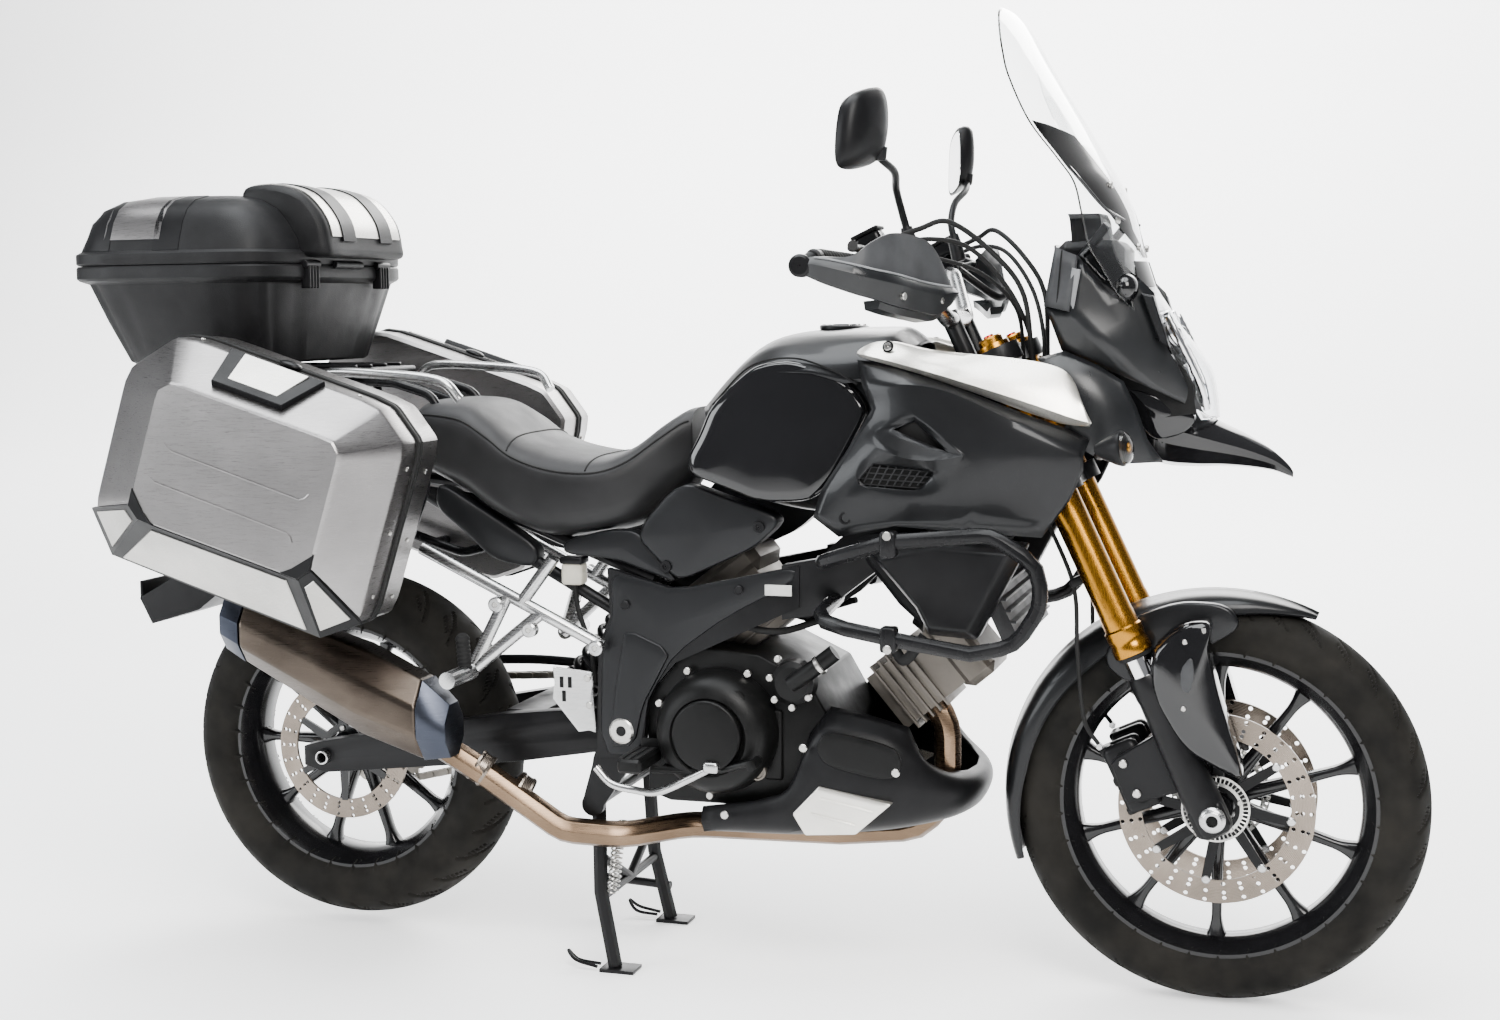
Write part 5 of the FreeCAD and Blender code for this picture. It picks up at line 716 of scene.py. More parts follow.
def finish(name):
    if name not in FINISHES:
        make_finishes()
    return FINISHES[name]


# Wheels

def tyre_shape(centre, section, width, half_tread, depth, grooves):
    """A tyre: its section is a smooth curve through points of (across, radius), turned round
    the axle; each tread groove is a slanted band, depth less where the distance to the nearest groove
    line, angle * count / full turn - slope * across, is small, fading out over the shoulder."""
    across, radius = smooth_path(np.asarray(section, float), 76).T
    steps = 960
    swing = np.linspace(0, 2 * math.pi, steps, endpoint=False)
    turn = swing[:, None] * grooves / (2 * math.pi)
    side = across[None]
    lean = np.abs(side) / half_tread
    phase = turn - 0.9 * lean ** 0.8 + np.where(side > 0, 0.5, 0.0)
    nearest = np.abs(phase - np.round(phase)) / grooves * 2 * math.pi * radius.max()
    wall = width / 2
    long_groove = (lean > 0.14) & (lean < 1.02)
    band = np.clip((wall - nearest) / 1.6, 0, 1) * long_groove
    second = turn + 0.5 - 1.3 * lean + np.where(side > 0, 0.5, 0.0)
    nearest_second = np.abs(second - np.round(second)) / grooves * 2 * math.pi * radius.max()
    band = np.maximum(band, np.clip((wall * 0.8 - nearest_second) / 1.6, 0, 1) * (lean > 0.52) * (lean < 0.9))
    outer = radius[None] - depth * band * np.clip((1.08 - lean) / 0.08, 0, 1)
    ring_line = np.clip((1.0 - np.abs(np.abs(side) - half_tread * 1.32)) / 1.0, 0, 1)
    outer = outer + 0.6 * ring_line
    points = np.stack([centre[0] + outer * np.sin(swing)[:, None],
                       centre[1] + np.broadcast_to(side, outer.shape),
                       centre[2] + outer * np.cos(swing)[:, None]], -1)
    inner = np.stack([centre[0] + (radius[None, [0, -1]] - 4) * np.sin(swing)[:, None],
                      centre[1] + np.broadcast_to(across[None, [0, -1]] * 0.7, (steps, 2)),
                      centre[2] + (radius[None, [0, -1]] - 4) * np.cos(swing)[:, None]], -1)
    ring = np.concatenate([inner[:, :1], points, inner[:, 1:]], axis=1)
    return Shape(ring, grid_faces(steps, ring.shape[1], True, True))


def rim_shape(centre, bead, half, hub_half):
    """The barrel's closed section turned round the axle, with rolled lips."""
    profile = [(-half - 5, bead + 13), (-half - 1, bead + 14), (-half, bead + 2), (-half + 6, bead - 1),
               (-half * 0.55, bead - 4), (-half * 0.4, bead - 12), (half * 0.4, bead - 12),
               (half * 0.55, bead - 4), (half - 6, bead - 1), (half, bead + 2), (half + 1, bead + 14),
               (half + 5, bead + 13), (half + 5, bead + 4), (half * 0.72, bead - 9),
               (half * 0.45, bead - 17), (-half * 0.45, bead - 17), (-half * 0.72, bead - 9),
               (-half - 5, bead + 4)]
    barrel = turned(profile, centre, AXLE_WAY, 120)
    bore = 13.5
    hub = turned([(-hub_half, bore), (-hub_half, 24), (-hub_half + 3, 27), (-hub_half * 0.62, 33),
                  (-hub_half * 0.3, 35), (hub_half * 0.3, 35), (hub_half * 0.62, 33), (hub_half - 3, 27),
                  (hub_half, 24), (hub_half, bore)], centre, AXLE_WAY, 64)
    return barrel, hub


def spoke_shape(centre, bead, count, twist=0.0):
    """Slim spokes: a rounded section carried out from the hub, its width a smooth curve of the radius
    that is wide at the hub, narrow at the waist and flared at the barrel."""
    radius = np.linspace(24, bead - 9, 26)
    share = (radius - radius[0]) / (radius[-1] - radius[0])
    width = 8 + 7 * (1 - share) ** 2.2 + 12 * np.clip((share - 0.78) / 0.22, 0, 1) ** 2
    depth = 12 + 4 * (1 - share) + 5 * np.clip((share - 0.8) / 0.2, 0, 1) ** 2
    swing = np.linspace(0, 2 * math.pi, 14, endpoint=False)
    ring = np.stack([np.sign(np.cos(swing)) * np.abs(np.cos(swing)) ** 0.7,
                     np.sign(np.sin(swing)) * np.abs(np.sin(swing)) ** 0.6], -1)
    shapes = []
    for out, side in ways_round(count, twist):
        rings = (np.asarray(centre, float) + radius[:, None, None] * out
                 + ring[None, :, :1] * width[:, None, None] * side
                 + ring[None, :, 1:] * depth[:, None, None] * np.array([0, 1, 0]))
        shapes.append(loft(rings))
    return total(shapes)


def ways_round(count, twist=0.0):
    """Pairs of directions at even steps round an axle: out from it, and along the circle."""
    turns = [2 * math.pi * (number + twist) / count for number in range(count)]
    return [(np.array([math.sin(turn), 0, math.cos(turn)]), np.array([math.cos(turn), 0, -math.sin(turn)]))
            for turn in turns]


def flat_arm(foot, out, side, near, far, half_thick, shift=0.0):
    """A flat bar out from an axle: near and far are (radius, half width), and the far end is moved
    along the circle by the shift."""
    ring = np.array([foot + out * near[0] - side * near[1], foot + out * near[0] + side * near[1],
                     foot + out * far[0] + side * (shift + far[1]),
                     foot + out * far[0] + side * (shift - far[1])])
    return loft(np.stack([ring - [0, half_thick, 0], ring + [0, half_thick, 0]]))


def drilled_ring(centre, inner, outer, low, high, sectors, rows, hole):
    """A drilled disc: each sector and row is one cell of the polar grid, whose four sides are joined to
    a round hole at its middle, pushed in or out by the sector's number; both faces, the holes' walls
    and the two rims are closed."""
    steps = 12
    swing = np.linspace(0, 2 * math.pi, steps, endpoint=False) + math.pi / 4
    square = np.stack([np.cos(swing), np.sin(swing)], -1)
    square /= np.max(np.abs(square), axis=1, keepdims=True)
    cell_turn = 2 * math.pi / sectors
    reach = (outer - inner) / rows
    sector, row = np.meshgrid(np.arange(sectors), np.arange(rows), indexing="ij")
    middle_turn = (sector + 0.5) * cell_turn
    middle_radius = inner + (row + 0.5) * reach
    push = (np.mod(sector * 2 + row, 3) - 1) * reach * 0.16
    edge_turn = middle_turn[..., None] + square[:, 0] * cell_turn / 2
    edge_radius = middle_radius[..., None] + square[:, 1] * reach / 2
    round_turn = middle_turn[..., None] + np.cos(swing) * hole / (middle_radius + push)[..., None]
    round_radius = (middle_radius + push)[..., None] + np.sin(swing) * hole
    loops = []
    for turn, radius, depth in ((edge_turn, edge_radius, high), (round_turn, round_radius, high),
                                (round_turn, round_radius, low), (edge_turn, edge_radius, low)):
        loops.append(np.stack([centre[0] + radius * np.sin(turn), np.full(turn.shape, centre[1] + depth),
                               centre[2] + radius * np.cos(turn)], -1))
    block = np.stack(loops, 2).reshape(-1, 4, steps, 3)
    faces = []
    pattern = np.array(grid_faces(4, steps, False, True))
    for number in range(len(block)):
        faces += (pattern + number * 4 * steps).tolist()
    face = Shape(block, faces)
    rims = []
    for radius in (inner, outer):
        rim = turned([(low, radius), (high, radius)], centre, AXLE_WAY, sectors * 3, False)
        rims.append(rim)
    return total([face] + rims)


def bolt_circle(centre, radius, count, size, near, far):
    """Bolt heads on a circle round an axis along Y."""
    spots = [np.multiply(centre, (1, 0, 1)) + out * radius for out, _ in ways_round(count)]
    return total([rod(spot + [0, near, 0], spot + [0, far, 0], size, 12, size * 0.25) for spot in spots])


def tone_ring(centre, level):
    """The slotted ring that the wheel sensor reads: two thin rings joined by bars set round the axle."""
    ring = turned([(0, 38), (0, 43), (2, 43), (2, 38)], centre + [0, level, 0], AXLE_WAY, 60)
    rim = turned([(0, 51), (0, 54), (2, 54), (2, 51)], centre + [0, level, 0], AXLE_WAY, 60)
    bars = []
    for turn in np.linspace(0, 2 * math.pi, 44, endpoint=False):
        way = np.array([math.cos(turn), 0, math.sin(turn)])
        bars.append(rod(centre + way * 42 + [0, level + 1, 0], centre + way * 52 + [0, level + 1, 0], 1.1, 6))
    return total([ring, rim] + bars)


class MOTORCYCLE_OT_front_wheel(bpy.types.Operator):
    """Adds the front tyre, rim, discs and bobbins."""
    bl_idname = "motorcycle.front_wheel"
    bl_label = "Front wheel"

    def execute(self, context):
        setting = sizes()
        section = [(-39, 244), (-45, 250), (-51, 262), (-54.5, 278), (-55.2, 290), (-52, 302), (-44, 312),
                   (-30, 321.5), (-14, 327.2), (0, 328.8), (14, 327.2), (30, 321.5), (44, 312), (52, 302),
                   (55.2, 290), (54.5, 278), (51, 262), (45, 250), (39, 244)]
        tyre = tyre_shape(FRONT_AXLE, section, 5.5, 47, setting.tread_depth * 1000, setting.tread_pairs)
        piece("FrontTyre", "front_wheel", [(tyre, "tyre_rubber")], ["front_tyre"], 40)
        barrel, hub = rim_shape(FRONT_AXLE, 241, 40.6, 62)
        spokes = spoke_shape(FRONT_AXLE, 241, setting.spoke_count)
        valve = rod(FRONT_AXLE + [0, 0, -226], FRONT_AXLE + [0, 0, -198], 3.5, 10, 1)
        layers = [([barrel, hub, spokes], "wheel_black"), (valve, "silver")]
        piece("FrontRim", "front_wheel", layers, ["front_rim"], 38)
        disc = drilled_ring(FRONT_AXLE, 117, 154.5, 57.2, 61.8, 30, 3, 3.6)
        foot = FRONT_AXLE + [0, 59.5, 0]
        lean = 14
        ways = ways_round(8)
        carrier = [flat_arm(foot, out, side, (44, 9), (114, 7), 2.6, lean) for out, side in ways]
        spots = [foot + out * 117 + side * lean for out, side in ways]
        bobbins = [rod(spot - [0, 4.2, 0], spot + [0, 4.2, 0], 7, 16, 1.5) for spot in spots]
        ring = turned([(56.8, 31), (56.8, 50), (62.2, 50), (62.2, 31)], FRONT_AXLE, AXLE_WAY, 64)
        carrier.append(ring)
        pulse = drilled_ring(FRONT_AXLE, 66, 80, 53.2, 54.6, 48, 1, 2.6)
        heads = bolt_circle(FRONT_AXLE, 40, 5, 5, 61, 66)
        layers = [(disc.both(), "front_disc_steel"), (total(carrier).both(), "frame_black"),
                  (tone_ring(FRONT_AXLE, -64), "bolt_steel"),
                  (total(bobbins).both(), "silver"), (heads.both(), "bolt_steel"),
                  (pulse, "bolt_steel")]
        piece("FrontDiscs", "front_wheel", layers, ["front_discs"], 35)
        return {"FINISHED"}


class MOTORCYCLE_OT_rear_wheel(bpy.types.Operator):
    """Adds the rear tyre, rim, disc and sprocket."""
    bl_idname = "motorcycle.rear_wheel"
    bl_label = "Rear wheel"

    def execute(self, context):
        setting = sizes()
        section = [(-52, 219), (-60, 226), (-69, 240), (-73.5, 258), (-74.2, 272), (-70, 286), (-58, 300),
                   (-40, 311.5), (-20, 318.6), (0, 320.8), (20, 318.6), (40, 311.5), (58, 300), (70, 286),
                   (74.2, 272), (73.5, 258), (69, 240), (60, 226), (52, 219)]
        depth = setting.tread_depth * 1000 + 1
        tyre = tyre_shape(REAR_AXLE, section, 6.5, 64, depth, setting.tread_pairs - 4)
        piece("RearTyre", "rear_wheel", [(tyre, "tyre_rubber")], ["rear_tyre"], 40)
        barrel, hub = rim_shape(REAR_AXLE, 216, 54.3, 69)
        spokes = spoke_shape(REAR_AXLE, 216, setting.spoke_count, 0.5)
        piece("RearRim", "rear_wheel", [([barrel, hub, spokes], "wheel_black")], ["rear_rim"],
              38)
        disc = drilled_ring(REAR_AXLE, 95, 129.5, -69, -64, 26, 3, 3.4)
        arms = [flat_arm(REAR_AXLE + [0, -66.5, 0], out, side, (34, 9), (97, 6), 2.6)
                for out, side in ways_round(6)]
        arms.append(turned([(-69, 31), (-69, 44), (-64, 44), (-64, 31)], REAR_AXLE, AXLE_WAY, 48))
        heads = bolt_circle(REAR_AXLE, 38, 5, 5, -73, -69)
        piece("RearDisc", "rear_wheel", [(disc, "rear_disc_steel"), (arms, "wheel_black"),
                                         (heads, "bolt_steel")], ["rear_disc"], 35)
        teeth = 41
        swing = np.linspace(0, 2 * math.pi, teeth * 6, endpoint=False)
        reach = 101.5 + 2.6 * np.tanh(2.2 * np.cos(swing * teeth))
        loop = np.stack([REAR_AXLE[0] + reach * np.sin(swing), REAR_AXLE[2] + reach * np.cos(swing)], -1)
        inner = np.stack([REAR_AXLE[0] + 78 * np.sin(swing), REAR_AXLE[2] + 78 * np.cos(swing)], -1)
        rings = [np.stack([flat[:, 0], np.full(len(flat), level), flat[:, 1]], -1)
                 for flat, level in ((inner, 91.4), (loop, 91.4), (loop, 98.6), (inner, 98.6))]
        crown = loft(rings, False, True)
        web = [flat_arm(REAR_AXLE + [0, 95, 0], out, side, (28, 14), (80, 12), 3.4)
               for out, side in ways_round(5)]
        web.append(turned([(69.5, 14), (69.5, 40), (90, 46), (98.6, 46), (98.6, 14)], REAR_AXLE, AXLE_WAY,
                          48))
        nuts = bolt_circle(REAR_AXLE, 62, 5, 6, 98.5, 104)
        piece("RearSprocket", "rear_wheel", [(crown, "chain_steel"), (web, "wheel_black"),
                                             (nuts, "bolt_steel")], ["rear_sprocket"], 35)
        return {"FINISHED"}


# Fork, handlebar and front fender, drawn along the fork: forward, left, up from the front axle

BAR_POINTS = [(-60, 0, 890), (-60, 80, 890), (-64, 180, 975), (-132, 425, 1026)]


class MOTORCYCLE_OT_fork(bpy.types.Operator):
    """Adds the fork tubes, axle carriers, yokes, fork covers and brake calipers."""
    bl_idname = "motorcycle.fork"
    bl_label = "Fork"

    def execute(self, context):
        leg = (-7, 105, 0)
        outer = turned([(284, 21.6), (284, 30), (287, 31), (300, 31), (303, 29.6), (311, 29.6), (314, 31),
                        (327, 31), (330, 28.4), (352, 27.6), (355, 27), (818, 27), (822, 26), (822, 3)],
                       leg, (0, 0, 1), 48)
        cap = turned([(822, 2), (822, 20), (831, 20), (834, 18), (834, 2)], leg, (0, 0, 1), 32)
        dial = turned([(834, 1), (834, 9), (838, 8), (838, 1)], leg, (0, 0, 1), 24)
        layers = [(outer, "gold_anodised"), (cap, "gold_anodised"), (dial, "red_anodised")]
        piece("ForkTubes", "steering", layers, ["fork_tubes"], through=from_steering, both=True)
        inner = turned([(240, 2), (240, 21.3), (284.5, 21.3), (284.5, 2)], leg, (0, 0, 1), 48)
        seal = turned([(276, 21.4), (276, 25), (279, 27), (284, 27.4), (284, 21.4)], leg, (0, 0, 1), 48)
        piece("ForkStanchions", "steering", [(inner, "chrome"), (seal, "rubber")], ["fork_stanchions"],
              through=from_steering, both=True)
        foot = turned([(-30, 1), (-30, 21), (-26, 27), (-16, 30.5), (0, 31), (40, 30.6), (120, 28.6),
                       (205, 26.4), (212, 27.6), (240, 27.6), (246, 26), (246, 21.5)], leg, (0, 0, 1), 48)
        lug_outline = [(-118, 66), (-120, 76), (-116, 134), (-104, 140), (-40, 150), (-10, 160), (-4, 60),
                       (-30, 52), (-96, 60)]
        lug = plate(lug_outline, 91.2, 104.5, 2.5)
        clamp = rounded_box((-36, 84, -26), (22, 128, 24), 9)
        slot_bolts = [rod((-38, y, -14), (-30, y, -14), 5.5, 12, 1.2) for y in (96, 114)]
        caliper_bolts = [rod((-97, 104, z), (-97, 110, z), 7, 12, 1.5) for z in (76, 128)]
        axle = turned([(0, 8), (0, 19), (2, 20.5), (9, 20.5), (12, 18), (13, 16), (17, 15.5), (18, 14),
                       (18, 9.5), (12, 8)], (0, 128, 0), AXLE_WAY, 40)
        # Painted shade: a dark plug at each axle end stands for the shade inside the hollow bore.
        bore = rod((0, 132, 0), (0, 141, 0), 9.2, 24)
        axle_middle = rod((0, -96, 0), (0, 96, 0), 12.4, 24)
        carrier = total([foot, lug, clamp]).mapped(from_steering).both()
        bolts = total(slot_bolts + caliper_bolts).mapped(from_steering).both()
        ends = (axle.mapped(from_steering)).both() + axle_middle.mapped(from_steering)
        piece("ForkFeet", "steering", [(carrier, "frame_black"), (bolts, "bolt_steel"), (ends, "silver"),
                                       (bore.mapped(from_steering).both(), "painted_shade_inside")], ["fork_feet"])
        cover = panel([(723, 590), (752, 622), (782, 640), (819, 641), (813, 594), (832, 518), (873, 391),
                       (846, 398), (776, 434), (724, 524)], (785, 520), 78, 132, 10, 14, 8, 0.0, 96, 2)
        inset = panel([(771, 566), (789, 590), (794, 560), (787, 528), (774, 532)], (783, 556), 136, 142,
                      1.5, 2, 4, 0.0, 48, 2)
        screws = [rod((778, 140, 610), (778, 143, 610), 4, 12, 1),
                  rod((777, 140, 505), (777, 144, 505), 4, 12, 1)]
        piece("ForkGuards", "steering", [(cover, "gloss_black"), (inset, "dark_strip"),
                                         (screws, "bolt_steel")], ["fork_guards"], both=True)
        softened("triple_clamps", "frame_black", 3, 3)
        body_half = rounded_box((-127, 64.5, 42), (-67, 89.5, 158), 12)
        inner_half = rounded_box((-127, 31, 42), (-67, 54.5, 158), 10)
        bridges = [rounded_box((-129, 34, 92), (-108, 86, 108), 5),
                   rounded_box((-129, 36, 42), (-112, 84, 56), 5),
                   rounded_box((-129, 36, 144), (-112, 84, 158), 5)]
        caps = [rod((-93, 88, z), (-93, 91.6, z), 17, 24, 2) for z in (72, 128)]
        pins = [rod((-72, 36, z), (-72, 86, z), 3, 10) for z in (88, 112)]
        pads = [rounded_box((-122, 53, 50), (-72, 57, 150), 1.5),
                rounded_box((-122, 62, 50), (-72, 66, 150), 1.5)]
        banjo = rod((-124, 78, 164), (-124, 90, 164), 6, 6, 1)
        layers = [([body_half, inner_half] + bridges, "frame_black"), (caps, "engine_black"),
                  (pins + pads, "bolt_steel"), (banjo, "silver")]
        piece("FrontCalipers", "steering", layers, ["front_calipers"],
              through=from_steering, both=True)
        hose = tube([(-124, 84, 166), (-128, 86, 215), (-90, 96, 320), (-52, 92, 420), (-48, 86, 540)], 3.6,
                    0, 12, None, AXLE_WAY, 40)
        clip = rounded_box((-56, 78, 415), (-32, 98, 430), 3)
        piece("BrakeHoses", "steering", [(hose, "rubber"), (clip, "frame_black")],
              through=from_steering, both=True)
        return {"FINISHED"}


def fender_shell(front, rear, half, crown_radius, side_radius, wall=3.0):
    """A shell over the tyre: at each angle round the axle the outer line is radius = crown less the
    drop times across to the power 2.6, its half width a curve of the angle; the inner line is the same
    less the wall, and both close into one ring."""
    turn = np.radians(np.linspace(front, rear, 72))
    share = np.linspace(0, 1, 72)
    width = half * np.interp(share, [0, 0.05, 0.14, 0.3, 0.6, 0.85, 1], [0.2, 0.5, 0.8, 1, 1, 0.92, 0.72])
    drop = (crown_radius - side_radius) * np.interp(share, [0, 0.1, 0.25, 0.55, 0.8, 1],
                                                    [0.12, 0.45, 0.9, 1, 0.8, 0.35])
    across = np.linspace(-1, 1, 25)
    rings = []
    for grow in (0.0, -wall):
        radius = (crown_radius + grow - drop[:, None] * np.abs(across) ** 2.6
                  + 4 * np.clip(1 - np.abs(across) / 0.16, 0, 1)[None])
        y = np.sin(across * math.pi / 2)[None] * (width[:, None] + grow)
        rings.append(np.stack([FRONT_AXLE[0] + radius * np.sin(turn)[:, None], y,
                               FRONT_AXLE[2] + radius * np.cos(turn)[:, None]], -1))
    outer, inner = rings
    return loft(np.concatenate([outer, inner[:, ::-1]], axis=1))


class MOTORCYCLE_OT_front_fender(bpy.types.Operator):
    """Adds the front fender and its stays."""
    bl_idname = "motorcycle.front_fender"
    bl_label = "Front fender"

    def execute(self, context):
        shell = fender_shell(26, -109, 71, 345, 300)
        wing = panel([(640, 560), (672, 626), (760, 664), (838, 662), (862, 626), (800, 588), (742, 560),
                      (690, 522)], (750, 605), 64, 76, 6, 5, 6, 0.05, 80, 2)
        screws = total([rod((x, 78, z), (x, 83, z), 5, 12, 1.2)
                        for x, z in ((700, 590), (742, 600), (800, 628))])
        piece("FrontFender", "steering", [(shell, "satin_grey"), (wing.both(), "satin_grey"),
                                          (screws.both(), "bolt_steel")], ["front_fender"])
        return {"FINISHED"}


def guard_rings(stations):
    """Upright sections of a hand guard along its way round the bar's end: for each station (forward,
    left, low, band top, wing top), a closed ring set out from the way by its own level normal."""
    rows = smooth_path(stations, 72)
    way = rows[:, :2]
    along = np.gradient(way, axis=0)
    along /= np.linalg.norm(along, axis=1, keepdims=True)
    outward = np.stack([-along[:, 1], along[:, 0]], -1)
    outward *= np.sign(np.sum(outward * (way - [290, 330]), axis=1))[:, None]
    low, band, wing = rows[:, 2], rows[:, 3], rows[:, 4]
    middle = low + (band - low) * 0.68
    half = (band + wing) / 2
    ring = [(-9, low + 4), (-4, low), (1, low + 1), (7, middle - 2), (7.5, middle), (1.5, band - 1),
            (0, band), (-1.5, band + 0.5), (-4, half), (-8, wing), (-11, wing), (-8, half), (-6, band),
            (-10, middle)]
    points = [np.column_stack([way + outward * out, height]) for out, height in ring]
    return np.stack(points, axis=1)


class MOTORCYCLE_OT_handlebar(bpy.types.Operator):
    """Adds the bar, grips, levers, switches, guards and mirrors."""
    bl_idname = "motorcycle.handlebar"
    bl_label = "Handlebar"

    def execute(self, context):
        far = [(x, -y, z) for x, y, z in BAR_POINTS]
        path = rounded_path(far[:0:-1] + BAR_POINTS[1:], 60, 10)
        reach = np.abs(path[:, 1])
        thick = np.interp(reach, [0, 60, 130, 425], [1.25, 1.25, 0.92, 0.88])
        bar = sweep(path, circle(12, 24), thick, (1, 0, 0)).mapped(from_steering)
        piece("Handlebar", "steering", [(bar, "silver")], ["handlebar"])
        bend, end = np.array(BAR_POINTS[2], float), np.array(BAR_POINTS[3], float)
        along = (end - bend) / np.linalg.norm(end - bend)
        start = end - along * 122
        place = np.linspace(0, 122, 80)
        ribs = 1 + 0.045 * np.tanh(3 * np.sin(place / 122 * 2 * math.pi * 15)) * (place > 8) * (place < 116)
        flange = 1 + 0.45 * np.clip(1 - np.abs(place - 3) / 3, 0, 1)
        grip = sweep(start + along * place[:, None], circle(15.8, 28), ribs * flange, (1, 0, 0))
        weight = sweep(end + along * np.array([0, 2, 12, 15])[:, None], circle(15, 28), [0.9, 1, 1, 0.8],
                       (1, 0, 0))
        perch = sweep(start - along * np.array([4, 8, 44, 48])[::-1, None], circle(19, 24),
                      [0.85, 1, 1, 0.85], (1, 0, 0))
        middle = start - along * 26
        box = rounded_box((-24, -22, -24), (24, 22, 24), 9).moved(*middle)
        reservoir = rounded_box((-14, -24, 14), (28, 20, 42), 8).moved(*(middle + [6, -10, 8]))
        lid = rounded_box((-16, -26, 40), (30, 22, 46), 2.5).moved(*(middle + [6, -10, 8]))
        lever = tube([middle + [14, 0, -2], middle + [46, 18, -6], end + [54, -70, -8], end + [50, -14, -6],
                      end + [58, 8, -6]], 6.2, 0, 14, [1.1] * 8 + [0.9] * 26 + [1.25] * 2, (0, 0, 1), 36)
        buttons = [rod(middle + [-25, -8, 6], middle + [-30, -8, 6], 5, 12, 1),
                   rod(middle + [-25, 8, -6], middle + [-29, 8, -6], 6, 12, 1)]
        piece("GripsAndLevers", "steering", [(grip, "rubber"), ([weight, perch, box, lid], "black_plastic"),
                                             (reservoir, "smoked_plastic"), (lever, "frame_black"),
                                             (buttons, "grey_and_painted_highlight")], ["grips_and_levers"],
              40, through=from_steering, both=True)
        stations = [(258, 456, 1179, 1206, 1207), (285, 460, 1168, 1205, 1207), (328, 453, 1153, 1196, 1207),
                    (357, 436, 1144, 1188, 1226), (382, 400, 1133, 1181, 1240), (404, 335, 1124, 1171, 1237),
                    (419, 292, 1120, 1166, 1224), (431, 256, 1132, 1163, 1190), (436, 240, 1142, 1160, 1163)]
        rings = guard_rings(stations)
        skin = loft(rings)
        columns = rings.shape[1]
        wing_faces = np.arange(len(skin.faces)) % columns
        on_wing = (wing_faces >= 7) & (wing_faces <= 9)
        on_wing[-2:] = False
        band = Shape(skin.points, [face for face, keep in zip(skin.faces, ~on_wing) if keep])
        wing = Shape(skin.points, [face for face, keep in zip(skin.faces, on_wing) if keep])
        # Painted highlight: a thin grey line along the top fold of each hand guard's band.
        line = sweep(rings[6:-6, 5] + [0, 0, 0.4], circle(1.6, 8), None, (0, 0, 1))
        under = loft(np.stack([np.column_stack([rings[30:60, 1, :2] - [out, 0], rings[30:60, 1, 2] + rise])
                               for out, rise in ((0, 4), (4, -9), (24, -11), (26, 2))], axis=1))
        knob = rod(from_steering(end + along * 12), from_steering([-146, 454, end[2] - 4.0]), 13, 24, 3)
        cap = turned([(0, 1), (0, 14), (3, 17), (22, 17), (26, 13), (26, 1)], (252, 440, 1194),
                     (0.05, 1, 0), 28)
        mount = tube([from_steering((-60, 205, 985)), (414, 222, 1150), (430, 244, 1150)], 7, 0, 14, None,
                     AXLE_WAY, 14)
        screws = total([rod(spot, np.add(spot, lean), 5.5, 12, 1) for spot, lean in
                        (((387, 392, 1148), (7, 3, 0)), ((421, 284, 1142), (7, 1, 0)))])
        piece("HandGuards", "steering", [([band, under], "cowl_black"), (wing, "dark_strip"),
                                         (line, "grey_and_painted_highlight"), ([knob, cap, mount], "frame_black"),
                                         (screws, "bolt_steel")], ["hand_guards"], 40,
              both=True)
        turn = math.radians(25)
        forward = np.array([math.cos(turn), math.sin(turn), 0])
        outward = np.array([-math.sin(turn), math.cos(turn), 0])
        upright = np.array([math.sin(RAKE), 0, math.cos(RAKE)])
        head = np.array([5.0, 368, 1178])
        loop = smooth_outline([(-40, 56), (18, 55), (46, 44), (56, 12), (60, -30), (52, -48), (20, -56),
                               (-28, -55), (-44, -50), (-54, -20), (-54, 24)], 3, 0.24)
        rows = [(-15, 0.95), (-17, 0.98), (-16, 1), (-6, 1.0), (4, 0.93), (12, 0.78), (17, 0.5), (18.5, 0.2)]
        shell = loft([head + forward * depth + (outward * loop[:, :1] + upright * loop[:, 1:]) * grow
                      for depth, grow in rows])
        glass = loft([head + forward * depth + (outward * loop[:, :1] + upright * loop[:, 1:]) * grow
                      for depth, grow in ((-17.4, 0.9), (-16.2, 0.91))])
        root = np.array([-48.0, 184, 1000])
        foot = head - upright * 50 - outward * 34
        stem = tube([root, (-40, 184, 1034), (-34, 190, 1062), (-20, 228, 1094), (-2, 278, 1112), foot,
                     foot + upright * 24], 6.0, 0, 14, None, (1, 0, 0), 48)
        boot = turned([(0, 1), (0, 10), (3, 12.5), (30, 11.5), (48, 9), (48, 1)], root - [0, 0, 6],
                      (0.2, 0, 1), 24)
        collar = turned([(0, 1), (0, 8), (4, 10), (20, 12), (20, 1)], foot - upright * 6, upright, 20)
        piece("Mirrors", "steering", [([stem, boot, collar, shell], "black_plastic"), (glass, "chrome")],
              ["mirrors"], 40, through=from_steering, both=True)
        runs = [
            [(334, 262, 1232), (381, 240, 1251), (420, 200, 1262), (478, 150, 1215), (520, 110, 1150),
             (530, 80, 1040)],
            [(340, 258, 1224), (392, 220, 1236), (446, 170, 1222), (497, 120, 1160), (524, 70, 1085),
             (528, 50, 1010)],
            [(350, 250, 1214), (410, 190, 1204), (462, 130, 1180), (505, 80, 1125), (512, 50, 1040)],
        ]
        cables = [tube([(x, side * y, z) for x, y, z in run], 4.2 - number * 0.5, 0, 12, None, AXLE_WAY, 48)
                  for side in (1, -1) for number, run in enumerate(runs[:3 if side < 0 else 2])]
        piece("BarCables", "steering", [(cables, "rubber")])
        return {"FINISHED"}


# Nose, tank and side panels

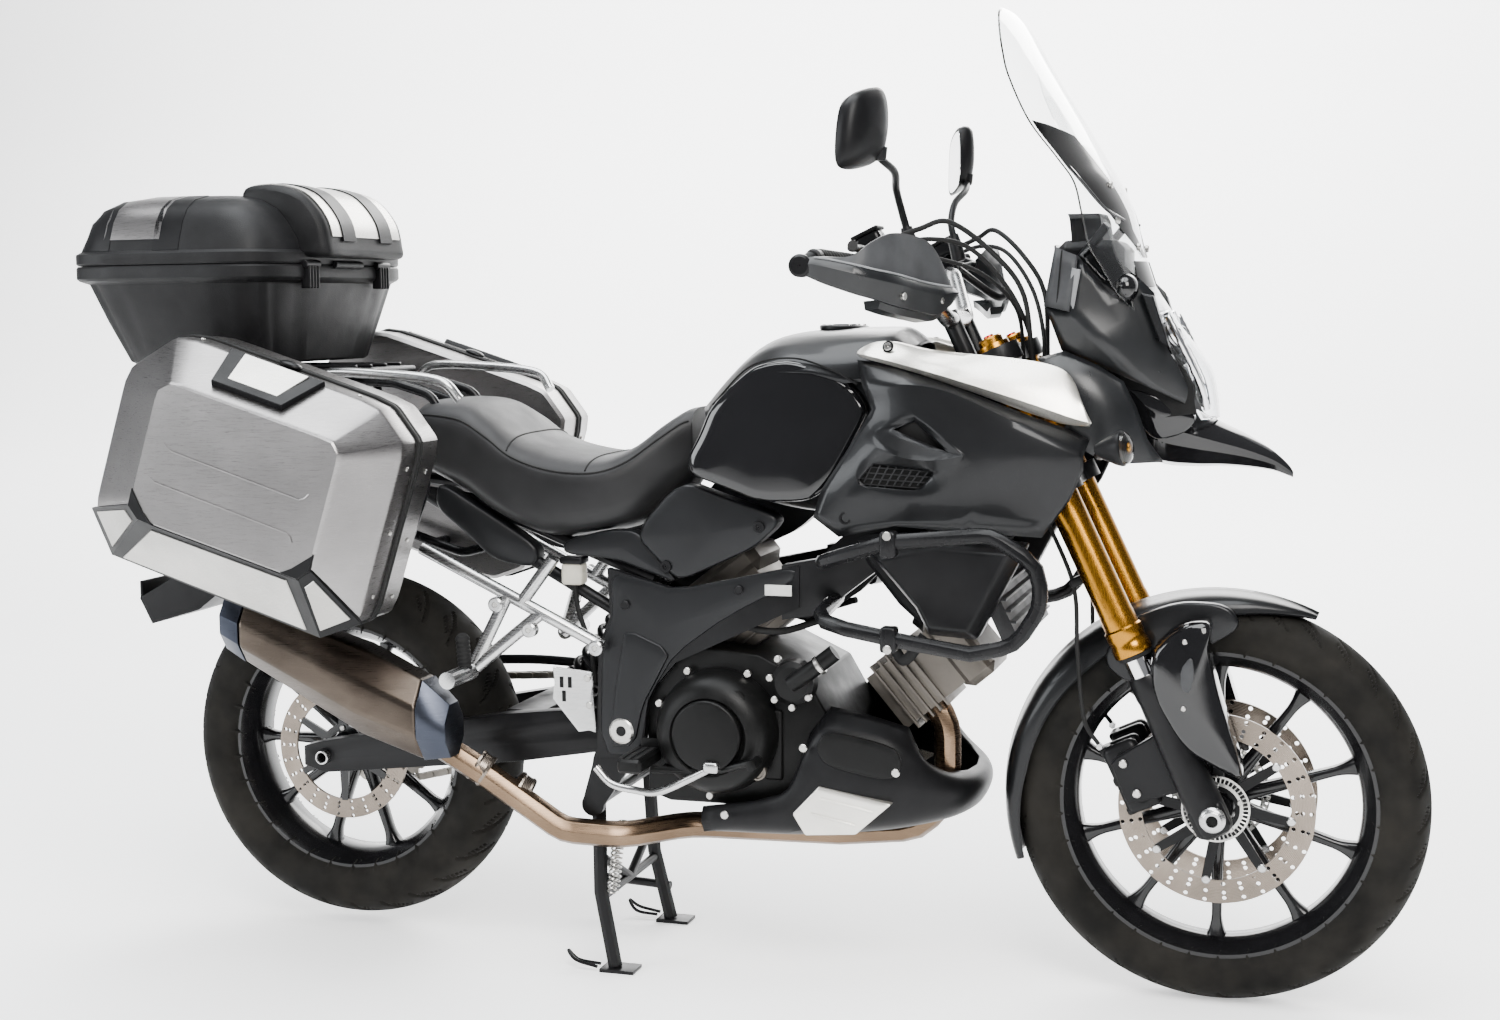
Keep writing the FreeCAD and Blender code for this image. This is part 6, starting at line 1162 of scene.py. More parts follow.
def sculpted(name, body, points, faces, folds, layers=(), look="satin_grey", nodes=(), wall=3.0,
             levels=2):
    """A cage of named corners and its mirror image, thickened inwards by Solidify and rounded by
    Subdivision, with its fold lines creased; layers are loose shapes added as one more object."""
    names = list(points)
    corners = np.array([points[word] for word in names], float)
    shape = Shape(corners, [[names.index(word) for word in face.split()] for face in faces])
    thing = piece(name, body, [(shape, look)], nodes, 60, both=True)
    mesh = thing.data
    places = np.empty(len(mesh.vertices) * 3)
    mesh.vertices.foreach_get("co", places)
    places = places.reshape(-1, 3) / METRES
    ends = np.empty(len(mesh.edges) * 2, int)
    mesh.edges.foreach_get("vertices", ends)
    ends = ends.reshape(-1, 2)
    weights = np.zeros(len(mesh.edges))
    for line, weight in folds:
        words = line.split()
        for first, last in zip(words, words[1:]):
            for flank in ((1, 1, 1), (1, -1, 1)):
                start = np.argmin(np.linalg.norm(places - np.multiply(points[first], flank), axis=1))
                stop = np.argmin(np.linalg.norm(places - np.multiply(points[last], flank), axis=1))
                weights[(ends == start).any(1) & (ends == stop).any(1)] = weight
    mesh.attributes.new("crease_edge", "FLOAT", "EDGE").data.foreach_set("value", weights)
    shell = thing.modifiers.new("Wall", "SOLIDIFY")
    shell.thickness = wall * METRES
    shell.offset = -1
    shell.edge_crease_inner = 1
    shell.edge_crease_outer = 1
    shell.edge_crease_rim = 1
    rounding = thing.modifiers.new("Rounding", "SUBSURF")
    rounding.levels = levels
    rounding.render_levels = levels
    if layers:
        piece(name + "Details", body, layers)
    return thing


def grid_cage(rows):
    """Names and quads for a cage given as rows of points."""
    points = {"%d_%d" % (row, column): spot
              for row, line in enumerate(rows) for column, spot in enumerate(line)}
    faces = ["%d_%d %d_%d %d_%d %d_%d" % (row, column, row, column + 1, row + 1, column + 1, row + 1, column)
             for row in range(len(rows) - 1) for column in range(len(rows[0]) - 1)]
    return points, faces


def row_fold(row, count, weight):
    """One whole row of a grid cage as a fold line."""
    return " ".join("%d_%d" % (row, column) for column in range(count)), weight


def ring_rows(rows, sides=48, power=0.6):
    """Super-ellipse sections across the machine: y = half * sign(cos) * |cos| ** power and
    z = middle + half height * sign(sin) * |sin| ** power, one row for each X."""
    swing = np.linspace(0, 2 * math.pi, sides, endpoint=False)
    cosine = np.sign(np.cos(swing)) * np.abs(np.cos(swing)) ** power
    sine = np.sign(np.sin(swing)) * np.abs(np.sin(swing)) ** power
    rows = np.asarray(rows, float)
    middle = (rows[:, 2] + rows[:, 3]) / 2
    half = (rows[:, 3] - rows[:, 2]) / 2
    return np.stack([np.broadcast_to(rows[:, :1], (len(rows), sides)), rows[:, 1:2] * cosine,
                     middle[:, None] + half[:, None] * sine], -1)


class MOTORCYCLE_OT_tank(bpy.types.Operator):
    """Adds the tank, its gloss sides, the long bright trims, the fairings and the side covers."""
    bl_idname = "motorcycle.tank"
    bl_label = "Tank and fairings"

    def execute(self, context):
        rows = smooth_path([(-28, 60, 862, 958), (10, 94, 836, 1002), (60, 120, 812, 1040),
                            (120, 140, 798, 1068), (190, 150, 790, 1080), (260, 152, 786, 1082),
                            (310, 144, 796, 1074), (348, 124, 824, 1052), (356, 104, 850, 1036)], 54)
        body = loft(ring_rows(rows, 64, 0.62))
        cap = turned([(0, 1), (0, 40), (3, 42), (7, 42), (9, 39), (9, 30), (7, 28), (7, 1)], (200, 0, 1094),
                     (0.03, 0, 1), 48)
        lock = rounded_box((181, -7, 1100), (221, 7, 1105), 2.5)
        turns = np.linspace(0, 2 * math.pi, 6, endpoint=False)
        bolts = total([rod((200 + 35 * math.cos(turn), 35 * math.sin(turn), 1101),
                           (200 + 35 * math.cos(turn), 35 * math.sin(turn), 1105), 2.6, 10, 0.6)
                       for turn in turns])
        piece("FuelTank", "chassis", [(body, "satin_grey"), (cap, "frame_black"), (lock, "dark_grey"),
                                      (bolts, "bolt_steel")], ["fuel_tank"])
        rows = [
            [(-34, 0, 972), (12, 0, 1024), (68, 0, 1076), (114, 0, 1092), (171, 0, 1099), (240, 0, 1101),
             (306, 0, 1101), (326, 0, 1092), (346, 0, 1074)],
            [(-32, 40, 970), (14, 52, 1021), (68, 60, 1073), (114, 66, 1088), (171, 68, 1094),
             (240, 68, 1098), (306, 64, 1098), (325, 62, 1088), (342, 56, 1070)],
            [(-26, 72, 966), (18, 92, 1012), (72, 104, 1058), (118, 112, 1072), (174, 112, 1070),
             (242, 108, 1078), (304, 102, 1084), (322, 98, 1074), (338, 90, 1058)],
            [(-20, 88, 958), (24, 116, 1000), (80, 136, 1036), (124, 146, 1052), (182, 150, 1050),
             (240, 148, 1046), (296, 142, 1054), (318, 134, 1048), (334, 118, 1036)],
            [(-14, 98, 946), (32, 132, 984), (86, 152, 1016), (128, 160, 1030), (186, 162, 1028),
             (240, 160, 1012), (292, 152, 1016), (314, 142, 1010), (332, 124, 1004)],
        ]
        points, faces = grid_cage(rows)
        sculpted("TankTop", "chassis", points, faces, [row_fold(2, 9, 0.75), row_fold(3, 9, 0.35),
                                                       ("0_6 1_6 2_6 3_6", 0.5)], (), "satin_grey", ())
        side = panel([(13, 975), (79, 1036), (115, 1047), (154, 1050), (215, 1031), (258, 1007), (284, 970),
                      (260, 922), (222, 850), (186, 822), (101, 819), (45, 840), (-20, 861), (-27, 888),
                      (-6, 926)], (125, 935), 122, 168, 11, 10, 12, -0.12, 140, 2)
        # Painted shade: a thin dark line along the side panel's upper edge, for the gap between panel and
        # tank top.
        rim = tube([(15, 152, 976), (80, 154, 1038), (152, 155, 1052), (216, 158, 1034), (262, 162, 1010)],
                   1.6, 0, 8, None, AXLE_WAY, 48)
        piece("TankSides", "chassis", [(side, "gloss_black"), (rim, "painted_shade_inside")], ["tank_sides"],
              both=True)
        rows = [
            [(268, 150, 1056), (288, 146, 1070), (328, 146, 1072), (366, 148, 1060), (430, 150, 1053),
             (516, 150, 1046), (576, 148, 1036), (598, 148, 1024), (606, 150, 1010)],
            [(264, 164, 1064), (284, 162, 1079), (328, 162, 1081), (366, 164, 1067), (430, 166, 1060),
             (516, 168, 1053), (580, 166, 1042), (602, 166, 1028), (612, 168, 1008)],
            [(266, 178, 1061), (292, 182, 1066), (334, 186, 1063), (374, 190, 1050), (440, 194, 1036),
             (524, 196, 1018), (586, 192, 1000), (610, 188, 990), (626, 186, 978)],
            [(268, 186, 1060), (300, 193, 1054), (346, 198, 1042), (392, 201, 1030), (456, 204, 1011),
             (534, 205, 987), (592, 201, 967), (616, 196, 958), (638, 188, 952)],
            [(272, 180, 1054), (304, 184, 1045), (348, 187, 1034), (392, 189, 1020), (456, 191, 999),
             (536, 191, 970), (590, 188, 952), (612, 185, 948), (634, 180, 946)],
            [(274, 170, 1052), (304, 172, 1044), (348, 174, 1032), (392, 176, 1018), (456, 178, 997),
             (536, 178, 968), (590, 174, 950), (610, 171, 947), (630, 168, 946)],
        ]
        points, faces = grid_cage(rows)
        # Painted shade: a dark cup round the trim bolt, for the recess it sits in.
        trim_cup = turned([(0, 1), (0, 9), (1.2, 9.5), (1.6, 8), (1.2, 1)], (318, 182, 1070),
                          (-0.1, 0.95, 0.3), 28)
        trim_bolt = turned([(0, 1), (0, 6.5), (3, 6.5), (4, 5.5), (4, 3), (2, 3), (2, 1)], (318, 182, 1070),
                           (-0.1, 0.95, 0.3), 24)
        sculpted("SilverTrims", "chassis", points, faces, [row_fold(1, 9, 0.7), row_fold(3, 9, 1),
                                                           row_fold(4, 9, 0.9)],
                 [(trim_bolt.both(), "bolt_steel"), (trim_cup.both(), "painted_shade_inside")], "champagne",
                 ["silver_trims"])
        points = {
            "a0": (266, 1050, 176), "a1": (331, 1040, 184), "a2": (392, 1020, 188), "a3": (454, 998, 190),
            "a4": (536, 966, 190), "a5": (594, 946, 186), "a6": (634, 926, 176),
            "b0": (278, 1012, 196), "b1": (331, 1013, 218), "b2": (398, 1013, 224), "b3": (466, 988, 229),
            "b4": (540, 950, 230), "b5": (594, 920, 220), "b6": (628, 902, 204),
            "c0": (296, 972, 204), "c1": (334, 984, 218), "c2": (370, 978, 226), "c3": (458, 916, 237),
            "c4": (544, 900, 233), "c5": (598, 888, 220), "c6": (628, 880, 200),
            "d0": (301, 938, 220), "d1": (368, 968, 226), "d2": (368, 954, 214), "d5": (282, 901, 222),
            "l1": (335, 943, 226), "l2": (424, 908, 232), "l3": (450, 904, 238), "l4": (396, 892, 248),
            "l5": (327, 903, 247), "m0": (278, 862, 222), "m1": (303, 888, 224), "m2": (399, 876, 227),
            "m3": (376, 847, 228), "m4": (290, 853, 223), "n0": (262, 848, 222), "n2": (378, 836, 233),
            "n3": (416, 846, 234), "r1": (252, 903, 202), "r2": (212, 843, 204), "r3": (200, 800, 208),
            "g1": (242, 769, 208), "g2": (335, 790, 221), "g3": (450, 783, 222), "g4": (566, 776, 210),
            "g5": (606, 832, 198),
        }
        points = {word: (x, y, z) for word, (x, z, y) in points.items()}
        faces = ["a0 a1 b1 b0", "a1 a2 b2 b1", "a2 a3 b3 b2", "a3 a4 b4 b3", "a4 a5 b5 b4", "a5 a6 b6 b5",
                 "b0 b1 c1 c0", "b1 b2 c2 c1", "b2 b3 c3 c2", "b3 b4 c4 c3", "b4 b5 c5 c4", "b5 b6 c6 c5",
                 "c0 c1 d1 d0", "c1 c2 d1", "c2 c3 l3 d1", "d0 d1 d2 l1", "d1 l3 l2 d2", "d0 l1 l5",
                 "l1 l2 l4 l5", "l2 l3 l4", "c0 d0 d5 r1", "d0 l5 m1 d5", "l5 l4 m2 m1", "l4 l3 n3 m2",
                 "m2 n3 n2 m3", "m3 n2 n0 m4", "m4 n0 m0", "n0 d5 m1 m0", "r1 d5 n0 r2", "r2 n0 g1 r3",
                 "n0 n2 g2 g1", "n2 n3 g3 g2", "n3 c4 g3", "n3 l3 c3 c4", "c4 c5 g4 g3", "c5 c6 g5 g4"]
        folds = [("b0 b1 b2 b3 b4 b5 b6", 0.45), ("c1 c2 c3", 0.95), ("c3 c4", 0.6), ("d0 d1 l3", 1),
                 ("d1 d2", 0.5), ("d0 l5 l4 l3", 1), ("d0 l1 l2 l3", 1), ("d5 m1", 0.3), ("l3 n3", 0.95),
                 ("n3 n2 n0", 0.95), ("n0 d5", 0.85), ("c4 n3", 0.5), ("c4 c5 c6", 0.4)]
        # Painted shade: dark plates fill the upper vent's opening and the space behind the lower vent's
        # slats.
        hole = plate([(322, 928), (366, 962), (452, 906), (420, 900), (330, 918)], 196, 214, 1)
        mesh_back = plate([(270, 852), (296, 900), (406, 888), (382, 840), (286, 846)], 206, 215, 1)
        slats = [rod((268 + step * 13, 217, 846 + step * 1.0), (292 + step * 13, 219, 898 - step * 1.6),
                     1.3, 8) for step in range(9)]
        cross = [rod((274 + step * 4, 217, 856 + step * 9), (386 + step * 4, 219, 850 + step * 9), 1.1, 8)
                 for step in range(4)]
        screw = turned([(0, 1), (0, 9), (5, 10), (8, 10), (8, 6.5), (4, 6), (4, 1)], (254, 206, 800),
                       AXLE_WAY, 24)
        sculpted("Fairings", "chassis", points, faces, folds,
                 [(total([hole, mesh_back]).both(), "painted_shade_inside"),
                  (total(slats + cross).both(), "radiator_black"), (screw.both(), "black_plastic")],
                 "satin_grey", ["fairings"], 3.5)
        cover = panel([(-45, 851), (30, 824), (118, 797), (127, 781), (83, 741), (20, 712), (-50, 680),
                       (-88, 718), (-128, 760)], (10, 765), 114, 152, 7, 5, 10, 0.0, 120, 2)
        wing = panel([(-122, 764), (-180, 763), (-258, 744), (-259, 720), (-168, 716), (-100, 692),
                      (-50, 676), (-84, 716)], (-150, 735), 112, 146, 4, 4, 6, 0.0, 90, 2)
        screws = total([turned([(0, 1), (0, 9), (3, 10), (5, 9.5), (5, 5), (3, 4.5), (3, 1)], spot,
                               AXLE_WAY, 24) for spot in ((94, 156, 776), (-70, 152, 706))])
        rear = panel([(-500, 842), (-400, 784), (-311, 730), (-317, 692), (-397, 704), (-450, 752),
                      (-506, 795)], (-410, 755), 98, 128, 6, 6, 8, 0.0, 96, 2)
        piece("SideCovers", "chassis", [([cover, wing, rear], "dark_grey"), (screws, "black_plastic")],
              ["side_covers"], both=True)
        return {"FINISHED"}


class MOTORCYCLE_OT_nose(bpy.types.Operator):
    """Adds the headlamp, cowl, beak, instruments and front indicators."""
    bl_idname = "motorcycle.nose"
    bl_label = "Nose"

    def execute(self, context):
        points = {"q0": (558, 136, 1131), "q1": (574, 130, 1222), "q2": (583, 129, 1062),
                  "q3": (598, 148, 1122), "q4": (610, 137, 1208), "q5": (660, 132, 1147),
                  "q7": (626, 116, 1227), "q8": (668, 108, 1198), "q9": (700, 102, 1172),
                  "q10": (722, 98, 1150), "q11": (745, 104, 1062), "q12": (798, 74, 963),
                  "q13": (712, 116, 1006), "q14": (702, 122, 1096), "q15": (745, 108, 1030),
                  "q16": (646, 149, 1076), }
        recess = {word: points[word] for word in ("q4", "q5", "q7", "q8", "q9")}
        sculpted("CowlRecess", "chassis", recess, ["q4 q7 q8 q5", "q8 q9 q5"], [("q4 q7 q8 q9 q5 q4", 1)], (),
                 "screen_black", ())
        back = {word: points[word] for word in ("q0", "q1", "q3", "q4")}
        sculpted("CowlBack", "chassis", back, ["q1 q4 q3 q0"], [("q1 q4 q3 q0 q1", 1)], (), "dark_strip", (),
                 6)
        faces = ["q0 q3 q16 q2", "q3 q5 q14 q16", "q4 q5 q3", "q5 q9 q10 q14", "q14 q10 q11 q15",
                 "q16 q14 q15 q13", "q2 q16 q13", "q13 q15 q12", "q15 q11 q12"]
        folds = [("q4 q3", 1), ("q3 q5 q14", 1), ("q3 q16 q13", 1), ("q14 q16", 0.9), ("q14 q11", 0.9),
                 ("q0 q3", 0.6), ("q5 q9", 0.9), ("q4 q5", 1), ("q1 q4", 0.9), ("q2 q13 q12", 0.8)]
        knob = ball((682, 118, 1158), (18, 26, 22), 28)
        strip = plate([(601, 1190), (614, 1187), (604, 1125), (591, 1126)], 136, 146.5, 1)
        front = plate([(704, 1150), (723, 1145), (748, 1066), (733, 1074)], 98, 124, 2.5)
        # Painted shade: a dark line for the gap at the cowl's seam.
        seam = rod((585, 143, 1217), (577, 146, 1127), 1.2, 8)
        sculpted("CowlSides", "chassis", points, faces, folds,
                 [(knob.both(), "gloss_black"), (strip.both(), "light_strip"),
                  (front.both(), "dark_grey"), (seam.both(), "painted_shade_inside")],
                 "cowl_black", ["cowl_sides"], 4)
        rows = [
            [(545, 126, 1050), (589, 136, 1062), (640, 138, 1040), (680, 132, 1014)],
            [(560, 158, 1040), (604, 168, 1030), (650, 164, 1004), (700, 130, 974)],
            [(604, 170, 968), (640, 168, 952), (684, 156, 938), (716, 118, 924)],
            [(590, 168, 936), (630, 166, 899), (676, 152, 884), (738, 96, 886)],
            [(600, 130, 930), (636, 130, 896), (676, 110, 884), (726, 70, 888)],
        ]
        points, faces = grid_cage(rows)
        sculpted("InnerCowl", "chassis", points, faces, [row_fold(3, 4, 0.8), row_fold(0, 4, 0.5)], (),
                 "cowl_black", ())
        rows = smooth_path([(652, 62, 944, 1008), (690, 72, 900, 1004), (730, 74, 878, 990),
                            (780, 68, 874, 966), (822, 56, 875, 944), (862, 40, 873, 924),
                            (900, 20, 868, 900), (924, 8, 860, 878), (932, 3, 857, 866)], 44)
        swing = np.array([(0, 1), (0.18, 0.985), (0.5, 0.72), (0.8, 0.42), (1, 0.16), (0.97, -0.3),
                          (0.6, -0.86), (0.25, -1), (-0.25, -1), (-0.6, -0.86), (-0.97, -0.3), (-1, 0.16),
                          (-0.8, 0.42), (-0.5, 0.72), (-0.18, 0.985)])
        middle = (rows[:, 2] + rows[:, 3]) / 2
        half = (rows[:, 3] - rows[:, 2]) / 2
        rings = np.stack([np.broadcast_to(rows[:, :1], (44, 15)), rows[:, 1:2] * swing[:, 0],
                          middle[:, None] + half[:, None] * swing[:, 1]], -1)
        cheek = panel([(664, 1004), (716, 998), (792, 958), (770, 930), (716, 916)], (724, 962), 52, 84, 5,
                      4, 6, 0.1, 64, 2)
        piece("Beak", "chassis", [(loft(rings), "gloss_black"), (cheek.both(), "gloss_black")], ["beak"],
              24)
        # The housing behind the lens takes the near-black painted-shade finish, for the lamp's shaded inside.
        housing = plate([(672, 1120), (690, 1148), (706, 1150), (748, 1066), (782, 1004), (786, 962),
                         (740, 956), (700, 985), (668, 1010)], -88, 88, 6)
        lens_rows = []
        rows = smooth_path([(716, 6, 84, 1156), (738, 12, 94, 1122), (760, 22, 98, 1090),
                            (788, 36, 96, 1054), (807, 44, 88, 1022), (815, 36, 74, 986),
                            (818, 22, 52, 952)], 24)
        for x, back, half_width, z in rows:
            across = np.linspace(-1, 1, 21)
            outer = np.stack([x - back * np.abs(across) ** 2.2, across * half_width, np.full(21, z)], -1)
            lens_rows.append(np.vstack([outer, outer[::-1] - [4, 0, 1.5]]))
        lens = loft(lens_rows)
        bowls = []
        for spot, radius in (((752, 50, 1084), 34), ((752, -50, 1084), 34), ((776, 38, 1016), 27),
                             ((776, -38, 1016), 27)):
            bowls.append(turned([(0, 1), (2, radius * 0.5), (9, radius * 0.82), (20, radius), (22, radius),
                                 (22, radius + 2), (0, radius + 2), (-3, 1)],
                                np.array(spot, float) - [22, 0, 2], (0.92, 0, 0.3), 40))
        brows = [tube([(742, side * 88, 1114), (764, side * 88, 1070), (790, side * 74, 1010),
                       (800, side * 50, 968)], 5, 0, 12, [1, 1.2] * 12, AXLE_WAY, 24) for side in (1, -1)]
        bulbs = total([ball((752, side * 50, 1088), (8, 9, 9)) for side in (1, -1)]
                      + [ball((776, side * 38, 1020), (7, 8, 8)) for side in (1, -1)])
        piece("Headlamp", "chassis", [(housing, "painted_shade_inside"), (bowls + brows, "chrome"),
                                      (bulbs, "lamp_lens")], ["headlight"])
        piece("HeadlampLens", "chassis", [(lens, "lamp_lens")])
        softened("instrument_panel", "black_plastic", 6, 3)
        hood = loft([np.stack([np.array([592, 640, 646, 640, 592, 588], float) + slide,
                               np.array([-1, -0.92, 0, 0.92, 1, 0]) * half_width, np.full(6, z)], -1)
                     for half_width, slide, z in ((86, 0, 1222), (84, -1, 1240), (78, -5, 1268),
                                                  (70, -9, 1276))])
        glass = plate([(572, 1150), (562, 1226), (565, 1228), (577, 1152)], -72, 72, 1)
        piece("InstrumentHood", "chassis", [(hood, "black_plastic"), (glass, "smoked_screen")])
        centre = np.array([694.0, 256, 919])
        axis = np.array([0.97, 0.2, 0.1])
        body = turned([(-42, 1), (-42, 9), (-30, 15), (-12, 24), (-3, 27), (0, 27), (2, 25), (2, 1)],
                      centre, axis, 36)
        lens = turned([(1, 1), (1, 24.5), (6, 24), (11, 19), (14, 10), (15, 1)], centre, axis, 36)
        bulb = ball(centre + axis * 5, (5, 8, 8), 14)
        stalk = rod((652, 198, 905), (660, 238, 912), 9, 20, 2)
        rear_lamp = rounded_box((-846, -66, 862), (-822, 66, 912), 7)
        piece("Indicators", "chassis", [(total([stalk, body]).both(), "black_plastic"),
                                        (lens.both(), "indicator_lens"), (bulb.both(), "gold_anodised"),
                                        (rear_lamp, "tail_lens")], ["lamps"])
        return {"FINISHED"}


def screen_sheet(rows, wall):
    """A sheet bowed across: at each height, X falls back from the middle with the place across to the
    power 2.1; its inner face is the same, a wall behind, and both close into one ring."""
    across = np.linspace(-1, 1, 33)
    rings = []
    for x, half, back, z in rows:
        front = np.stack([x - back * np.abs(across) ** 2.1, across * half, np.full(33, z)], -1)
        behind = front[::-1] - [wall, 0, 0]
        rings.append(np.vstack([front, behind]))
    return loft(rings)


def screen_patch(rows, edges, lift, count=14):
    """A thin layer on the sheet's front: at each height it runs between two places across, and
    x = the sheet's own x there plus the lift."""
    heights = np.array([height for height, _, _ in edges], float)
    levels = np.linspace(heights.min(), heights.max(), 44)
    order = np.argsort(heights)
    starts = np.interp(levels, heights[order], np.array([edge[1] for edge in edges])[order])
    stops = np.interp(levels, heights[order], np.array([edge[2] for edge in edges])[order])
    order = np.argsort(rows[:, 3])
    x, half, back = (np.interp(levels, rows[order, 3], rows[order, column]) for column in range(3))
    share = starts[:, None] + (stops - starts)[:, None] * np.linspace(0, 1, count)
    outer = np.stack([x[:, None] - back[:, None] * np.abs(share) ** 2.1 + lift, share * half[:, None],
                      np.repeat(levels[:, None], count, 1)], -1)
    return loft(np.concatenate([outer, outer[:, ::-1] - [lift * 0.6, 0, 0]], axis=1))


class MOTORCYCLE_OT_screen(bpy.types.Operator):
    """Adds the tall clear screen with its dark bands and brackets."""
    bl_idname = "motorcycle.screen"
    bl_label = "Screen"

    def execute(self, context):
        wall = sizes().screen_wall * 1000
        rows = smooth_path([(726, 118, 30, 1122), (718, 146, 46, 1150), (705, 166, 54, 1190),
                            (693, 182, 60, 1224), (681, 192, 58, 1272), (662, 198, 50, 1318),
                            (640, 201, 54, 1356), (607, 202, 63, 1412), (565, 196, 53, 1480),
                            (541, 188, 40, 1520), (523, 174, 29, 1553), (508, 152, 19, 1578),
                            (496, 118, 11, 1593), (488, 70, 6, 1600)], 72)
        sheet = screen_sheet(rows, wall)
        edges = [(1412, 0.985, 0.975), (1408, 0.985, 0.86), (1393, 0.985, 0.58), (1335, 0.985, 0.46),
                 (1276, 0.7, 0.31), (1249, 0.56, 0.3), (1207, 0.2, 0.04)]
        band = screen_patch(rows, edges, 1.6)
        clear_edge = tube([(676, 108, 1262), (652, 160, 1280), (622, 190, 1318), (604, 198, 1340)], 2.6, 0,
                          10, None, (1, 0, 0), 24)
        bolts = total([rod((x, y, z), (x + 7, y, z), 6, 16, 1.5) for x, y, z in
                       ((664, 120, 1262), (690, 60, 1222), (650, 96, 1318))])
        stays = tube([(600, 96, 1196), (630, 104, 1232), (650, 112, 1256)], 7, 0, 14, None, AXLE_WAY, 16)
        lower = screen_patch(rows, [(1200, 0.5, 0.1), (1160, 0.62, 0.1)], 1.2)
        piece("ScreenBand", "chassis", [([band, lower], "screen_black"), (clear_edge, "gloss_black"),
                                        (bolts, "bolt_steel"), (stays, "frame_black")],
              both=True)
        piece("Windscreen", "chassis", [(sheet, "clear_screen")], ["windscreen"], 50)
        return {"FINISHED"}


class MOTORCYCLE_OT_seat(bpy.types.Operator):
    """Adds the stepped saddle with its seams, and the tail pieces behind it."""
    bl_idname = "motorcycle.seat"
    bl_label = "Seat"

    def execute(self, context):
        rows = smooth_path([(-556, 104, 868, 962), (-530, 124, 850, 978), (-454, 140, 815, 977),
                            (-400, 150, 782, 950), (-350, 156, 760, 914), (-281, 160, 742, 892),
                            (-205, 156, 752, 884), (-150, 140, 764, 902), (-100, 112, 800, 940),
                            (-66, 88, 838, 962), (-48, 76, 856, 966)], 90)
        rings = ring_rows(rows, 72, 0.55)
        shares = np.linspace(0, 2 * math.pi, 72, endpoint=False)
        top = loft(rings)
        columns = rings.shape[1]
        swing = shares[np.arange(len(top.faces) - 2) % columns]
        is_top = np.sin(swing) > 0.42
        upper = Shape(top.points, [face for face, keep in zip(top.faces, is_top) if keep])
        lower = Shape(top.points, [face for face, keep in zip(top.faces, ~is_top) if keep] + top.faces[-2:])
        seams = []
        for side in (1, -1):
            column = int(round((0.44 if side > 0 else math.pi - 0.44) / (2 * math.pi) * columns)) % columns
            line = rings[3:-3, column] + [0, side * 0.6, 0.6]
            seams.append(sweep(line, circle(1.6, 8), None, (0, 0, 1)))
        for station in (34, 52):
            arc = rings[station][6:31] + [0, 0, 0.4]
            seams.append(sweep(arc, circle(1.5, 8), None, (1, 0, 0)))
        saddle = piece("Seat", "chassis", [(upper, "seat_top"), (lower, "seat_side"), (seams, "rubber")],
                       ["seat"], 60)
        softened("tail_cover", "black_plastic", 6, 3)
        softened("rear_fender", "black_plastic", 5, 3)
        blank = rounded_box((-1136, -88, 604), (-1130, 88, 640), 2)
        lamp = rounded_box((-1134, -22, 652), (-1122, 22, 664), 3)
        piece("PlateHolder", "chassis", [(blank, "black_plastic"), (lamp, "lamp_lens")])
        return {"FINISHED"}


# Frame, engine, exhaust and running gear

def patch(grid, lift, wall=1.0):
    """A thin plate that follows part of a surface: point = surface + normal * lift outside and surface
    - normal * wall inside, with the normal from the cross product of the grid's two directions."""
    grid = np.asarray(grid, float)
    normal = np.cross(np.gradient(grid, axis=0), np.gradient(grid, axis=1))
    normal /= np.linalg.norm(normal, axis=2, keepdims=True) + 1e-9
    outside = grid + normal * lift
    inside = grid - normal * wall
    return loft(np.concatenate([outside, inside[:, ::-1]], axis=1))


def facet(corners, lift, wall, inset=0.0):
    """A flat plate on a facet: corners drawn in to their mean by the inset, and moved along the normal."""
    corners = np.asarray(corners, float)
    middle = corners.mean(axis=0)
    away = corners - middle
    reach = np.linalg.norm(away, axis=1, keepdims=True)
    loop = middle + away * (1 - inset / reach)
    normal = np.cross(corners[1] - corners[0], corners[2] - corners[1])
    normal /= np.linalg.norm(normal)
    if normal[1] < 0:
        normal = -normal
    rim = middle + (loop - middle) * (1 - 1.5 / reach)
    return loft([loop - normal * wall, loop + normal * (lift - 1.5), rim + normal * lift])


def coil(start, end, radius, wire, turns, sides=10):
    """A helix: point = line + radius * (cos, sin) of 2 pi turns * share, square to the line."""
    start, end = np.asarray(start, float), np.asarray(end, float)
    along = (end - start) / np.linalg.norm(end - start)
    side = np.cross(along, AXLE_WAY)
    side /= np.linalg.norm(side)
    rise = np.cross(side, along)
    share = np.linspace(0, 1, int(turns * 22))
    swing = (share * turns * 2 * math.pi)[:, None]
    path = start + (end - start) * share[:, None] + (side * np.cos(swing) + rise * np.sin(swing)) * radius
    return sweep(path, circle(wire, sides), None, along)


def bolt(spot, radius, height=4.0, side=-1):
    """A bolt head that faces sideways, with a chamfered rim."""
    spot = np.asarray(spot, float)
    return rod(spot, spot + [0, side * height, 0], radius, 14, min(1.2, height * 0.3))


CHAIN_LEVEL = 95
FRONT_SPROCKET = (-70.0, 440.0)
FRONT_SPROCKET_RADIUS = 42.0
REAR_SPROCKET_RADIUS = 101.0


